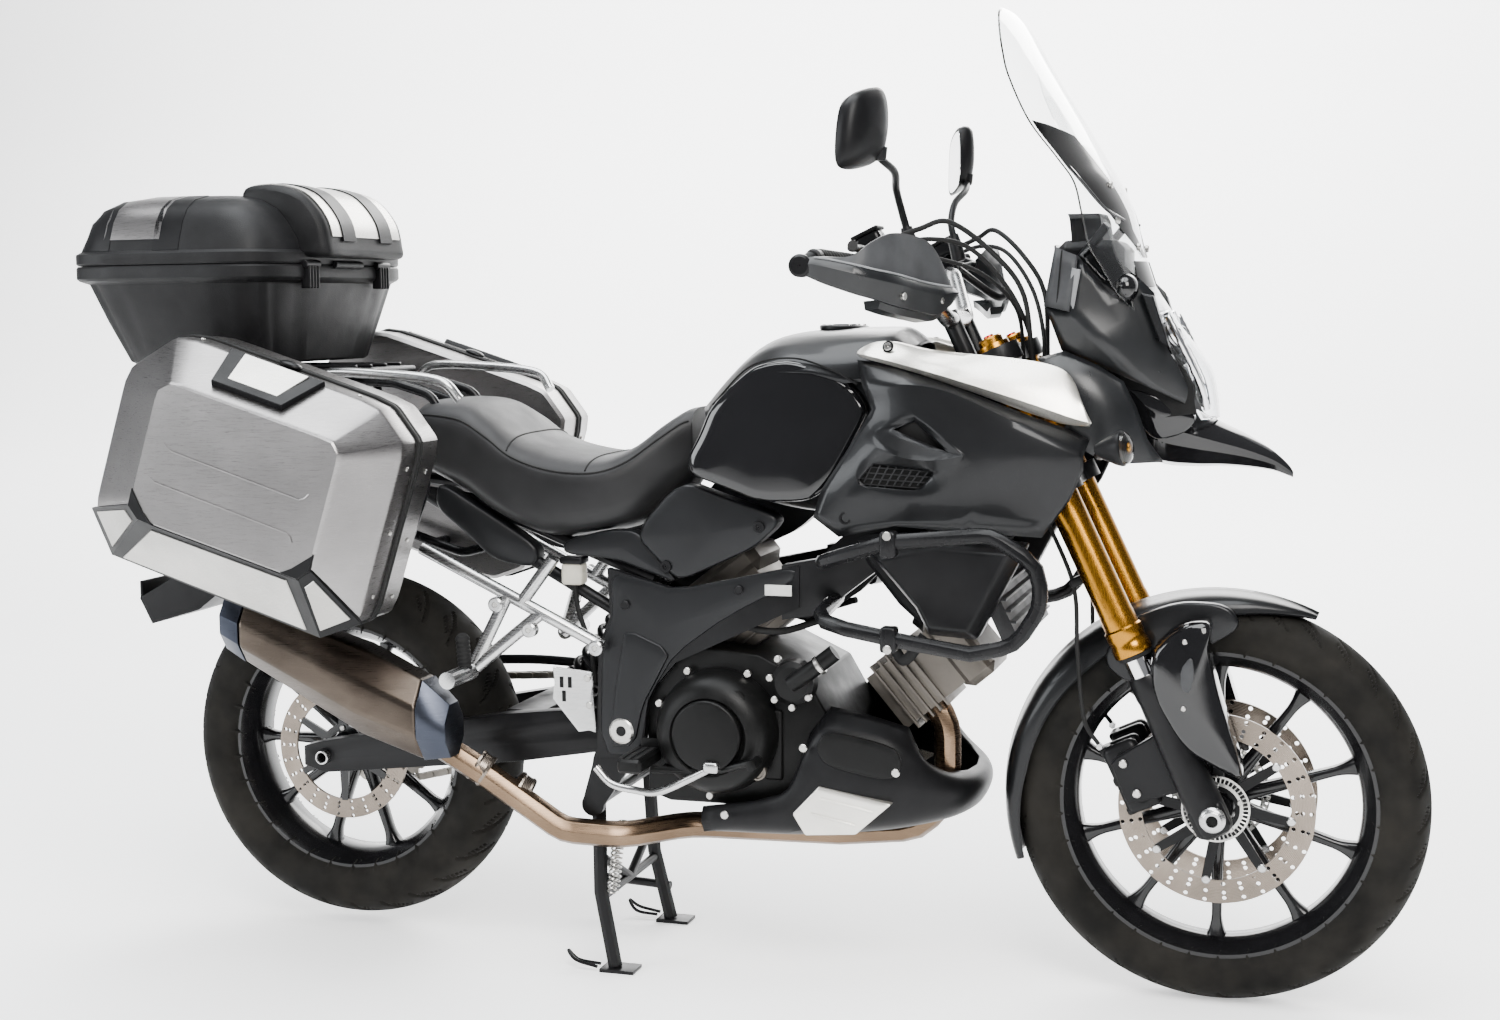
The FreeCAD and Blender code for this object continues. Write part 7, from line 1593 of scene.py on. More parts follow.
def chain_path(count):
    """Even steps round two sprockets: two straight runs tangent to both circles, and two arcs."""
    small, large = np.array(FRONT_SPROCKET), REAR_AXLE[[0, 2]]
    small_radius, large_radius = FRONT_SPROCKET_RADIUS, REAR_SPROCKET_RADIUS
    between = large - small
    span = np.linalg.norm(between)
    facing = math.atan2(between[1], between[0])
    lean = math.acos((small_radius - large_radius) / span)
    turn_small = np.linspace(facing + lean, facing + lean + 2 * (math.pi - lean), 60)
    turn_large = np.linspace(facing - lean, facing + lean, 90)
    arc_small = small + small_radius * np.stack([np.cos(turn_small), np.sin(turn_small)], -1)
    arc_large = large + large_radius * np.stack([np.cos(turn_large), np.sin(turn_large)], -1)
    return spread_outline(np.vstack([arc_small, arc_large]), count)


class MOTORCYCLE_OT_chain(bpy.types.Operator):
    """Adds the drive chain link by link, with its front sprocket and guard."""
    bl_idname = "motorcycle.chain"
    bl_label = "Drive chain"

    def execute(self, context):
        links = sizes().chain_links
        spots = chain_path(links)
        along = np.roll(spots, -1, axis=0) - spots
        pitch = np.linalg.norm(along, axis=1)
        along /= pitch[:, None]
        swing = np.linspace(0, 2 * math.pi, 20, endpoint=False)
        length = float(pitch.mean())
        outline = np.stack([np.cos(swing) * 6.2 + np.where(np.cos(swing) > 0, length / 2, -length / 2),
                            np.sin(swing) * 6.2], -1)
        outline[:, 1] *= 1 - 0.22 * np.exp(-(outline[:, 0] / 3.5) ** 2)
        chains = []
        for wide, parity in ((7.6, 0), (5.6, 1)):
            for side in (1, -1):
                for number in range(parity, links, 2):
                    middle = spots[number] + along[number] * pitch[number] / 2
                    across = np.array([-along[number][1], along[number][0]])
                    flat = middle + outline[:, :1] * along[number] + outline[:, 1:] * across
                    near = CHAIN_LEVEL + side * (wide - 0.9)
                    far = CHAIN_LEVEL + side * (wide + 0.9)
                    chains.append(loft([np.stack([flat[:, 0], np.full(20, y), flat[:, 1]], -1)
                                        for y in (near, far)]))
        pins = [rod((x, CHAIN_LEVEL - 8.6, z), (x, CHAIN_LEVEL + 8.6, z), 3.4, 8) for x, z in spots]
        teeth = 17
        turn = np.linspace(0, 2 * math.pi, teeth * 8, endpoint=False)
        radius = 38 + 6 * np.clip(np.cos(turn * teeth) + 0.2, 0, 1.2)
        middle_x, middle_z = FRONT_SPROCKET
        wheel = loft([np.stack([middle_x + np.cos(turn) * radius * grow, np.full(len(turn), y),
                                middle_z + np.sin(turn) * radius * grow], -1)
                      for y, grow in ((91, 0.97), (92.5, 1), (97.5, 1), (99, 0.97))])
        guard = tube([(-640, 96, 470), (-560, 96, 482), (-420, 96, 490), (-300, 96, 486)], 9, 0, 12, None,
                     AXLE_WAY, 24)
        piece("DriveChain", "chassis", [(chains + pins, "chain_steel"), (wheel, "front_disc_steel")],
              ["drive_chain"])
        piece("ChainGuard", "chassis", [(guard, "black_plastic")])
        return {"FINISHED"}


class MOTORCYCLE_OT_frame(bpy.types.Operator):
    """Dresses the frame, subframe, swingarm, shock, stands and foot controls."""
    bl_idname = "motorcycle.frame"
    bl_label = "Frame and stands"

    def execute(self, context):
        for node, look, width, segments in (
                ("main_frame", "frame_black", 3, 3), ("rear_subframe", "frame_black", 2, 3),
                ("swingarm", "frame_black", 4, 3), ("swingarm_axles", "silver", 1.5, 3),
                ("centre_stand", "frame_black", 2, 3), ("side_stand", "frame_black", 2, 3),
                ("foot_controls", "engine_black", 1, 2), ("foot_hangers", "silver", 1.5, 3),
                ("rear_caliper", "frame_black", 2, 3), ("crash_bars", "tube_black", 1, 2)):
            softened(node, look, width, segments)
        spar = panel([(-165, 622), (-168, 694), (-110, 684), (-52, 668), (60, 692), (158, 712), (150, 686),
                      (40, 628), (-54, 560), (-92, 500), (-112, 460), (-120, 384), (-192, 380),
                      (-186, 569)], (-80, 600), 150, 160, 3, 4, 8, 0.0, 150, 1)
        crease = panel([(-150, 560), (-140, 600), (-60, 566), (-84, 520), (-112, 470), (-128, 400),
                        (-176, 396)], (-125, 505), 158, 166, 2, 3, 6, 0.0, 100, 1)
        screws = total([bolt((x, 163, z), 7.5, 4.5, 1) for x, z in ((-140, 640), (-150, 425), (60, 672))])
        pivot = turned([(-2, 1), (-2, 22), (3, 22), (5, 19), (5, 9), (1, 9), (1, 1)], (-150, 164, 425),
                       AXLE_WAY, 32)
        label = rounded_box((104, 160.5, 664), (150, 162.2, 682), 0.8)
        piece("FrameCovers", "chassis", [(spar.both(), "dark_grey"), (crease.both(), "dark_grey"),
                                         (screws.both(), "frame_black"), (pivot.both(), "bolt_steel"),
                                         (label.mirrored(), "label_plate")])
        low, high = np.array([-327.0, 0, 420.0]), np.array([-132.0, 0, 675.0])
        along = (high - low) / np.linalg.norm(high - low)
        body = turned([(-6, 1), (-6, 13), (40, 13), (42, 20), (60, 20), (62, 36), (70, 37), (72, 22),
                       (150, 22)], low, along, 32, False)
        damper = turned([(150, 12), (240, 12), (242, 37), (250, 37), (252, 24), (318, 24), (320, 1)], low,
                        along, 32, False)
        spring = coil(low + along * 70, low + along * 244, 30, 5.6, sizes().spring_turns)
        ends = total([rod(low - [0, 22, 0], low + [0, 22, 0], 15, 24, 2),
                      rod(high - [0, 22, 0], high + [0, 22, 0], 15, 24, 2)])
        piece("RearShock", "chassis", [([body, ends], "engine_black"), (damper, "silver"),
                                       (spring, "frame_black")], ["rear_shock"])
        springs = total([coil((-172, -y, 256), (-188, -y, 132), 7, 1.7, 15, 6) for y in (114, 131)])
        loops = [tube([(-205, side * 143, 8), (-245, side * 143, 12), (-262, side * 150, 30),
                       (-245, side * 158, 16), (-205, side * 160, 8)], 3, 0, 8, None, (0, 0, 1), 20)
                 for side in (1, -1)]
        piece("StandSprings", "centre_stand", [(springs, "bolt_steel"), (loops, "frame_black")])
        bosses = [turned([(-4, 1), (-4, 13), (10, 13), (12, 10), (12, 5), (9, 5), (9, 1)], spot, AXLE_WAY, 24)
                  for spot in ((-351, 214, 642), (-291, 214, 601), (-186, 180, 569))]
        nuts = [bolt((x, y, z), 5, 3, 1) for x, y, z in ((-351, 223, 642), (-291, 223, 601),
                                                         (-186, 189, 569))]
        ribs = [(4 + step * 8 + shift, radius) for step in range(9)
                for shift, radius in ((0, 11), (3, 12.5), (6, 11))]
        peg = turned([(0, 1), (0, 9)] + ribs + [(78, 8), (78, 1)], (-407, 226, 520), (0.1, 0.35, 1.0), 24)
        piece("PassengerPegs", "chassis", [(bosses, "silver"), (nuts, "bolt_steel"), (peg, "rubber")],
              both=True)
        heel = plate([(-275, 529), (-204, 522), (-202, 500), (-207, 470), (-200, 440), (-198, 419),
                      (-229, 427), (-269, 474)], 157, 163.5, 1.2)
        # Painted shade: dark blocks for the slots through the heel plate.
        slots = [rounded_box((x, 163, z), (x + 7, 164.6, z + 19), 0.7)
                 for x, z in ((-262, 494), (-247, 494), (-258, 470))]
        screws = [bolt((x, 163, z), 6, 4, 1) for x, z in ((-211, 512), (-208, 466))]
        pedal = tube([(-178, 214, 372), (-150, 216, 346), (-110, 216, 338), (-68, 214, 337), (-10, 212, 364),
                      (28, 212, 384)], 6.5, 0, 14, None, AXLE_WAY, 30)
        toe = rounded_box((14, 196, 376), (40, 228, 394), 5)
        peg = rounded_box((-122, 162, 378), (-84, 262, 398), 7)
        treads = [rounded_box((-121 + 13 * step, 172, 397), (-113 + 13 * step, 258, 402), 1.5)
                  for step in range(3)]
        piece("RiderPegs", "chassis", [(heel, "silver"), (slots, "painted_shade_inside"), (screws, "bolt_steel"),
                                       ([pedal, toe], "silver"), ([peg] + treads, "rubber")],
              both=True)
        tank = rounded_box((-262, 118, 668), (-224, 150, 706), 6).mirrored()
        lid = rounded_box((-264, 116, 704), (-222, 152, 716), 4).mirrored()
        hose = tube([(-243, -134, 668), (-238, -130, 620), (-214, -138, 560), (-206, -140, 500)], 4.5, 0,
                    12, None, AXLE_WAY, 24)
        piece("BrakeReservoir", "chassis", [(tank, "reservoir"), (lid, "frame_black"), (hose, "rubber")])
        clamps = [rounded_box((330, 276, z - 20), (356, 304, z + 20), 5) for z in (770, 622)]
        heads = [bolt((343, 302, z), 7, 5, 1) for z in (784, 608)] + [bolt((214, 160, 655), 11, 7, 1)]
        piece("BarClamps", "chassis", [(clamps, "tube_black"), (heads, "bolt_steel")],
              both=True)
        return {"FINISHED"}


class MOTORCYCLE_OT_engine(bpy.types.Operator):
    """Dresses the engine, its covers, the radiator and the exhaust."""
    bl_idname = "motorcycle.engine"
    bl_label = "Engine and exhaust"

    def execute(self, context):
        for node, look, width, segments in (
                ("engine_case", "engine_black", 5, 3), ("engine_covers", "engine_black", 5, 3),
                ("cylinders", "engine_brown", 2, 2), ("radiator", "radiator_black", 2, 2),
                ("radiator_shrouds", "black_plastic", 5, 3), ("exhaust_pipe", "pipe_metal", 1, 2),
                ("muffler", "muffler_metal", 7, 4), ("muffler_caps", "shield_metal", 5, 3)):
            softened(node, look, width, segments)
        rows = [
            [(-6, 168, 306), (-6, 176, 296), (-6, 178, 282), (-5, 168, 262), (-4, 110, 252), (-4, 0, 252)],
            [(86, 174, 322), (88, 184, 310), (90, 186, 290), (90, 174, 264), (90, 112, 252), (90, 0, 252)],
            [(148, 176, 342), (150, 186, 326), (150, 188, 300), (150, 178, 268), (150, 116, 254),
             (150, 0, 254)],
            [(176, 150, 436), (168, 180, 410), (160, 191, 336), (174, 182, 272), (178, 120, 256),
             (178, 0, 256)],
            [(212, 148, 482), (204, 186, 452), (206, 193, 366), (232, 185, 279), (232, 120, 262),
             (232, 0, 262)],
            [(280, 146, 470), (280, 184, 442), (282, 191, 346), (284, 178, 282), (286, 116, 268),
             (286, 0, 268)],
            [(340, 138, 452), (346, 168, 424), (344, 178, 346), (340, 160, 290), (336, 108, 276),
             (336, 0, 276)],
            [(362, 128, 396), (380, 148, 382), (392, 154, 340), (386, 138, 300), (380, 96, 284),
             (380, 0, 284)],
            [(396, 100, 372), (418, 114, 366), (430, 118, 338), (420, 104, 306), (412, 70, 292),
             (412, 0, 292)],
            [(420, 52, 366), (440, 58, 360), (448, 60, 338), (438, 52, 312), (428, 34, 298),
             (428, 0, 298)],
            [(426, 0, 364), (446, 0, 358), (454, 0, 338), (444, 0, 314), (434, 0, 302), (430, 0, 299)],
        ]
        points, faces = grid_cage(rows)
        folds = [("3_1 4_1 5_1 6_1", 0.7), ("0_2 1_2 2_2 3_2 4_2 5_2 6_2 7_2", 0.35), ("4_0 4_1 4_2", 0.3),
                 ("2_0 3_0", 0.5), ("2_1 3_1", 0.4), ("6_0 7_0", 0.5)]
        sculpted("BellyGuard", "chassis", points, faces, folds, (), "black_plastic", ["belly_guard"],
                 4)
        clutch = turned([(60, 1), (66, 54), (63, 57), (65, 61), (70, 66), (67, 78), (56, 92), (36, 101),
                         (18, 104), (0, 105)], (18, 142, 432), AXLE_WAY, 80, False)
        cover_bolts = [bolt((18 + 112 * math.cos(turn), 150, 432 + 112 * math.sin(turn)), 6.5, 9, 1)
                       for turn in np.radians([62, 118, 158, 200, 262])]
        filler = turned([(-6, 1), (-6, 19), (6, 19), (9, 16), (9, 1)], (62, 196, 492), (0.2, 1, 0.3), 24)
        window = turned([(-4, 1), (-4, 15), (5, 15), (6, 12), (3, 11), (3, 1)], (92, 172, 372), AXLE_WAY, 28)
        pump = turned([(-10, 1), (-10, 38), (14, 36), (20, 28), (22, 1)], (150, 150, 520), AXLE_WAY, 32)
        pipe = tube([(150, 168, 520), (185, 176, 545), (225, 172, 576)], 14, 0, 18, None, AXLE_WAY, 16)
        collar = rod((196, 175, 552), (203, 174.5, 557), 16.5, 24, 1.5)
        pump_bolts = [bolt((x, 160, z), 6, 10, 1) for x, z in ((112, 528), (126, 560), (178, 498),
                                                               (150, 480), (120, 492))]
        lower = rounded_box((96, 140, 352), (128, 150, 470), 5)
        castings = total([clutch, filler, pump, pipe, lower]).mirrored()
        fixings = total(cover_bolts + pump_bolts + [collar]).mirrored()
        piece("ClutchCover", "chassis", [(castings, "engine_black"), (fixings, "bolt_steel"),
                                         (window.mirrored(), "engine_brown")])
        generator = turned([(36, 1), (40, 44), (38, 48), (44, 54), (40, 70), (14, 78), (0, 79)],
                           (113, 142, 410), AXLE_WAY, 72, False)
        generator_bolts = [bolt((113 + 86 * math.cos(turn), 146, 410 + 86 * math.sin(turn)), 6.5, 9, 1)
                           for turn in np.linspace(0, 2 * math.pi, 8, endpoint=False)]
        piece("GeneratorCover", "chassis", [(generator, "engine_black"), (generator_bolts, "bolt_steel")])
        insert = panel([(202, 358), (323, 336), (262, 281), (177, 274), (156, 309)], (228, 314), 176, 194,
                       1.5, 3, 6, 0.06, 80, 0)
        ribs = [tube([(206, 196.4, 338), (250, 196, 330), (292, 195, 321)], 3, 0, 10, None, AXLE_WAY, 14),
                tube([(188, 194.8, 312), (236, 194.6, 303), (262, 194, 297)], 3, 0, 10, None, AXLE_WAY, 14)]
        pocket = panel([(214, 452), (330, 430), (342, 400), (320, 372), (214, 392), (196, 420)], (270, 412),
                       188, 193, 1, 2, 4, 0.0, 70, 2)
        screws = [bolt((x, 192, z), 7, 4, 1) for x, z in ((330, 388), (40, 300), (176, 420))]
        piece("BellyPlates", "chassis", [([insert] + ribs, "champagne"), (pocket, "engine_black"),
                                         (screws, "bolt_steel")], both=True)
        bands = [turned([(-13, 24), (-13, 28), (-9, 29), (-6, 27), (6, 27), (9, 29), (13, 28), (13, 24)],
                        spot, way, 32) for spot, way in (((-330, -180, 316), (-0.72, -0.36, 0.6)),
                                                         ((-392, -205, 356), (-0.78, -0.2, 0.58)))]
        joint_bolt = [bolt((-330, -206, 318), 6, 10)]
        shield_bolt = [bolt((-506, -290, 452), 13, 5), bolt((-506, -294, 452), 7, 5)]
        piece("PipeClamps", "chassis", [(bands, "front_disc_steel"),
                                        (joint_bolt + shield_bolt, "bolt_steel")])
        flank = plate([(240, 762), (330, 768), (392, 748), (384, 690), (373, 622), (352, 622), (320, 650),
                       (267, 716)], 112, 126, 8).both()
        shield = plate([(120, 690), (200, 735), (252, 758), (272, 712), (236, 672), (205, 640), (160, 610),
                        (128, 618)], 84, 96, 6).both()
        piece("FlankCovers", "chassis", [(flank, "black_plastic"), (shield, "frame_black")])
        hoses = [tube([(300, side * 96, 590), (330, side * 130, 560), (362, side * 120, 600)], 9, 0, 14, None,
                      AXLE_WAY, 20) for side in (1, -1)]
        lines = [tube([(-30, side * 150, 640), (60, side * 146, 610), (120, side * 130, 600),
                       (190, side * 110, 620)], 6, 0, 12, None, AXLE_WAY, 28) for side in (1, -1)]
        piece("EngineHoses", "chassis", [(hoses + lines, "rubber")])
        return {"FINISHED"}


SEAM = [(196, 197), (262, 150), (262, -150), (200, -197), (-205, -197), (-262, -135), (-262, 110),
        (-180, 197)]
FACE = [(180, 140), (200, 122), (200, -72), (182, -92), (-118, -96), (-142, -78), (-142, 118), (-120, 138)]


def case_loop(corners, y, grow=0.0):
    """An outline in a side case's length and height, grown outwards and rounded, at one Y."""
    loop = inset_outline(smooth_outline(corners, 2, 0.09), -grow)
    return np.stack([loop[:, 0], np.full(len(loop), float(y)), loop[:, 1]], -1)


def between(y, share):
    """An outline part of the way from the case's seam to its flat face, at one Y."""
    return case_loop(np.array(SEAM, float) + (np.array(FACE, float) - np.array(SEAM, float)) * share, y)


class MOTORCYCLE_OT_cases(bpy.types.Operator):
    """Adds the two metal side cases with their lids, seams, corner guards, handles and rivets."""
    bl_idname = "motorcycle.cases"
    bl_label = "Side cases"

    def execute(self, context):
        wall = 3.2
        inner = [case_loop(FACE, 484, -wall), case_loop(SEAM, 394, -wall), case_loop(SEAM, 342, -wall)]
        outer = [case_loop(SEAM, 342), case_loop(SEAM, 392), between(398, 0.05), between(480, 0.96),
                 case_loop(FACE, 486), case_loop(FACE, 488.5, -3)]
        shell = loft(inner + outer)
        seam = loft([case_loop(SEAM, 341, -6), case_loop(SEAM, 341, 3), case_loop(SEAM, 343, 4.5),
                     case_loop(SEAM, 348, 4.5), case_loop(SEAM, 350, 3), case_loop(SEAM, 350, -1)], False,
                    True)
        low_left, low_right = (-205, 394, -197), (200, 394, -197)
        facets = [
            [low_left, low_right, (182, 482, -92), (-118, 482, -96)],
            [(-262, 394, -135), low_left, (-118, 482, -96), (-142, 482, -78)],
            [low_right, (262, 394, -150), (200, 482, -72), (182, 482, -92)],
        ]
        guards = [facet(corners, 4, 3, -4) for corners in facets]
        corner_cap = facet([(182, 486, -92), (200, 486, -72), (200, 486, -44), (168, 486, -78),
                            (150, 486, -92)], 5, 2)
        rear_cap = facet([(-118, 486, -96), (-142, 486, -78), (-142, 486, -50), (-112, 486, -80),
                          (-90, 486, -96)], 5, 2)
        inlays = [facet(facets[0], 6, 1, 24), facet(facets[1], 6, 1, 20), facet(facets[2], 6, 1, 17)]
        frame_top = facet([(-82, 392, 197.5), (96, 392, 197.5), (72, 466, 153), (-60, 466, 153)], 9, 3)
        frame_plate = facet([(-52, 396, 196), (70, 396, 196), (54, 452, 160), (-40, 452, 160)], 11, 1)
        lock = ball((6, 352, 203), (20, 13, 6), 20)
        ridge_lines = ([(-104, 488.6, 40), (-90, 489, 32), (158, 489, 32), (166, 488.6, 46)],
                       [(-118, 488.6, -20), (-104, 489, -26), (150, 489, -26), (158, 488.6, -38)])
        ridges = [tube(line, 1.5, 10, 8, None, AXLE_WAY) for line in ridge_lines]
        rivets = []
        for u, w in ((262.5, 110), (262.5, 0), (262.5, -110), (-262.5, 60), (-262.5, -60)):
            away = math.copysign(1, u)
            rivets.append(rod((u - away, 372, w), (u + away * 2.2, 372, w), 4, 12, 1))
        for u in (-150, 150):
            rivets.append(rod((u, 372, 196.5), (u, 372, 199.4), 4, 12, 1))
        barrel = rod((-50, 340, -197.5), (50, 340, -197.5), 7, 20, 1)
        lid = [(total([shell, barrel]), "case_metal"), (seam, "rubber"),
               (total(guards + [corner_cap, rear_cap, frame_top]), "black_plastic"),
               (total(inlays + [frame_plate]), "guard_metal"), (total(ridges), "case_metal"),
               (total(rivets), "bolt_steel"), (lock, "frame_black")]
        left = [(shape.mapped(case_frame), look) for shape, look in lid]
        right = [(shape.mirrored(), look) for shape, look in left]
        piece("LeftCaseLid", "left_case_lid", left, ["left_case_lid"], 28)
        piece("RightCaseLid", "right_case_lid", right, ["right_case_lid"], 28)
        base = loft([case_loop(SEAM, 270, -wall - 4), case_loop(SEAM, 275, -wall),
                     case_loop(SEAM, 338.5, -wall), case_loop(SEAM, 338.5), case_loop(SEAM, 274),
                     case_loop(SEAM, 267, -6)])
        band = loft([case_loop(SEAM, 332, -1), case_loop(SEAM, 332, 2.5), case_loop(SEAM, 334, 4),
                     case_loop(SEAM, 338, 4), case_loop(SEAM, 339, 2.5), case_loop(SEAM, 339, -2)], False,
                    True)
        barrels = [rod((flank * 105, 340, -197.5), (flank * 155, 340, -197.5), 7, 20, 1) for flank in (1, -1)]
        studs = []
        for u, w in ((262.5, 100), (262.5, -20), (262.5, -120), (-262.5, 60)):
            away = math.copysign(1, u)
            studs.append(rod((u - away, 300, w), (u + away * 2.2, 300, w), 4, 12, 1))
        layers = [(total([base] + barrels), "case_metal"), (band, "rubber"), (total(studs), "bolt_steel")]
        piece("CaseBases", "chassis", [(shape.mapped(case_frame).both(), look) for shape, look in layers],
              ["case_bases"], 28)
        loop = [(0, 216, -150), (150, 216, -150), (224, 216, -104), (232, 216, 64), (180, 216, 124),
                (-180, 216, 124), (-234, 216, 60), (-222, 216, -108), (-150, 216, -150), (0, 216, -150)]
        ring = tube(loop, 9, 46, 16, None, AXLE_WAY)
        pads = total([rod((u, 216, w), (u, 262, w), 9, 16, 1) for u, w in ((-226, 0), (226, 0), (-90, 124),
                                                                           (90, -150))])
        stays = total([rod((-150, 92, 40), (-226, 216, 20), 8, 16), rod((120, 96, 44), (228, 216, 10), 8, 16),
                       rod((60, 92, 50), (100, 216, 122), 8, 16)])
        top = rounded_box((-977, -110, 1020), (-652, 110, 1034), 6)
        ribs = [rounded_box((-960, y - 5, 1034), (-672, y + 5, 1040), 2.5) for y in (-84, -28, 28, 84)]
        posts = [rod((x, side * 70, 1020), (x + 20, side * 84, 900), 8, 16)
                 for x in (-900, -720) for side in (1, -1)]
        runners = [tube([(-700, side * 78, 1014), (-600, side * 82, 1008), (-520, side * 86, 985),
                         (-500, side * 88, 905)], 8, 40, 16) for side in (1, -1)]
        piece("LuggageRacks", "chassis",
              [(total([ring, pads, stays]).mapped(case_frame).both(), "tube_black"),
               ([top] + ribs, "black_plastic"), (posts + runners, "tube_black")], ["luggage_racks"])
        rail = tube([(-420, 196, 985), (-452, 206, 1016), (-560, 208, 1028), (-660, 200, 1030),
                     (-690, 190, 1010)], 9, 0, 16, None, AXLE_WAY, 40)
        piece("GrabRails", "chassis", [(rail, "silver")], both=True)
        return {"FINISHED"}


def side_strip(rows, side, rear, front):
    """Part of one side of a closed skin between two places along x: every row is cut to that length
    and its width is read at nine even steps."""
    strips = []
    for row in rows:
        half = row[row[:, 1] * side > 0]
        half = half[np.argsort(half[:, 0])]
        x = np.linspace(max(rear, half[0, 0] + 1), min(front, half[-1, 0] - 1), 9)[::-side]
        strips.append(np.stack([x, np.interp(x, half[:, 0], half[:, 1]), np.full(9, row[0, 2])], -1))
    return np.array(strips)


def top_loop(z, rear, front, half, corner):
    """A rounded rectangle in plan, from rear to front, at one height: a super-ellipse of power set by
    the corner share."""
    swing = np.linspace(0, 2 * math.pi, 96, endpoint=False)
    x = np.sign(np.cos(swing)) * np.abs(np.cos(swing)) ** corner
    y = np.sign(np.sin(swing)) * np.abs(np.sin(swing)) ** corner
    return np.stack([(rear + front) / 2 + x * (front - rear) / 2, y * half, np.full(96, float(z))], -1)


class MOTORCYCLE_OT_top_case(bpy.types.Operator):
    """Adds the moulded top case, its ribbed base, metal-faced lid and raised front hump."""
    bl_idname = "motorcycle.top_case"
    bl_label = "Top case"

    def execute(self, context):
        corner = 0.36
        outer_rows = [(1046, -1078, -780, 200, corner), (1050, -1084, -776, 206, corner),
                      (1120, -1108, -762, 236, corner), (1186, -1130, -746, 262, corner),
                      (1192, -1148, -734, 276, corner), (1196, -1152, -731, 279, corner),
                      (1214, -1152, -731, 279, corner), (1217.5, -1150, -733, 277, corner)]
        outer = np.array([top_loop(*row) for row in outer_rows])
        inner = [top_loop(*row) for row in ((1217.5, -1136, -747, 263, corner),
                                            (1190, -1126, -750, 258, corner),
                                            (1052, -1074, -784, 200, corner))]
        around = np.linspace(0, 2 * math.pi, 96, endpoint=False)
        groove = 3.5 * np.clip(np.cos(around * 8) * 3 - 1.6, -1, 1)
        middle = outer[:, :, :2].mean(axis=1, keepdims=True)
        away = outer[:, :, :2] - middle
        away /= np.linalg.norm(away, axis=2, keepdims=True)
        fade = np.array([0, 0.4, 1, 1, 0, 0, 0, 0])[:, None, None]
        outer[:, :, :2] += away * groove[None, :, None] * fade
        base = loft(np.concatenate([outer, np.array(inner)]))
        barrels = [rod((-730, flank * 105, 1218.6), (-730, flank * 155, 1218.6), 7, 20, 1)
                   for flank in (1, -1)]
        knuckles = [rounded_box((-740, flank * 130 + step, 1176), (-722, flank * 130 + step + 6, 1216), 2.5)
                    for flank in (1, -1) for step in (-20, -10, 0, 10)]
        piece("TopCaseBase", "chassis", [(base, "case_plastic"), (barrels + knuckles, "black_plastic")],
              ["top_case_base"], 30)
        rows = [(1219, -1150, -733, 277, corner), (1222, -1152, -731, 279, corner),
                (1238, -1152, -731, 279, corner), (1243, -1144, -738, 272, corner),
                (1262, -1136, -742, 266, corner), (1292, -1126, -760, 254, corner),
                (1314, -1110, -778, 238, corner), (1330, -1082, -806, 212, corner),
                (1339, -1040, -846, 170, corner)]
        skin = np.array([top_loop(*row) for row in rows])
        inner = [top_loop(*row) for row in ((1335, -1040, -846, 168, corner),
                                            (1310, -1104, -784, 232, corner),
                                            (1240, -1138, -745, 264, corner),
                                            (1219, -1138, -745, 264, corner))]
        cover = loft(np.concatenate([skin[::-1], np.array(inner)[::-1]]))
        plates = []
        straps = []
        for side in (1, -1):
            for group, rear, front, low, lift in ((plates, -1148, -1092, 6, 2.2),
                                                  (straps, -1104, -1042, 3, 5),
                                                  (plates, -1056, -944, 4, 2.2), (straps, -956, -904, 3, 5)):
                group.append(patch(side_strip(skin[low:], side, rear, front), lift))
        hump_path = smooth_path([(-858, 0, 1318), (-852, 0, 1350), (-820, 0, 1357.5), (-780, 0, 1355),
                                 (-735, 0, 1338), (-700, 0, 1298), (-689, 0, 1256), (-692, 0, 1232),
                                 (-740, 0, 1230)], 40)
        across = np.concatenate([[-1.0, -0.985, -0.955], np.linspace(-0.91, 0.91, 25), [0.955, 0.985, 1.0]])
        centre = np.array([-785.0, 0, 1290.0])
        rings = []
        for share in across:
            inset = 1 - 0.16 * max(0.0, (abs(share) - 0.91) / 0.09) ** 2
            rings.append(centre + (hump_path - centre) * inset + [0, share * 150, 0])
        hump = loft(rings)
        grid = np.array(rings)
        strips = [patch(grid[first:last + 1, 4:29], -2.4, -4.2)
                  for first, last in ((4, 7), (11, 19), (23, 26))]
        straps += [patch(grid[first:last + 1, 3:30], -4.6, -4.2) for first, last in ((7, 11), (19, 23))]
        barrel = rod((-730, -50, 1218.6), (-730, 50, 1218.6), 7, 20, 1)
        piece("TopCaseLid", "top_case_lid", [([cover, hump, barrel], "case_plastic"),
                                             (plates, "case_metal"), (straps, "black_plastic"),
                                             (strips, "guard_metal")], ["top_case_lid"], 34)
        return {"FINISHED"}


# Floor, lights and camera, in metres and degrees

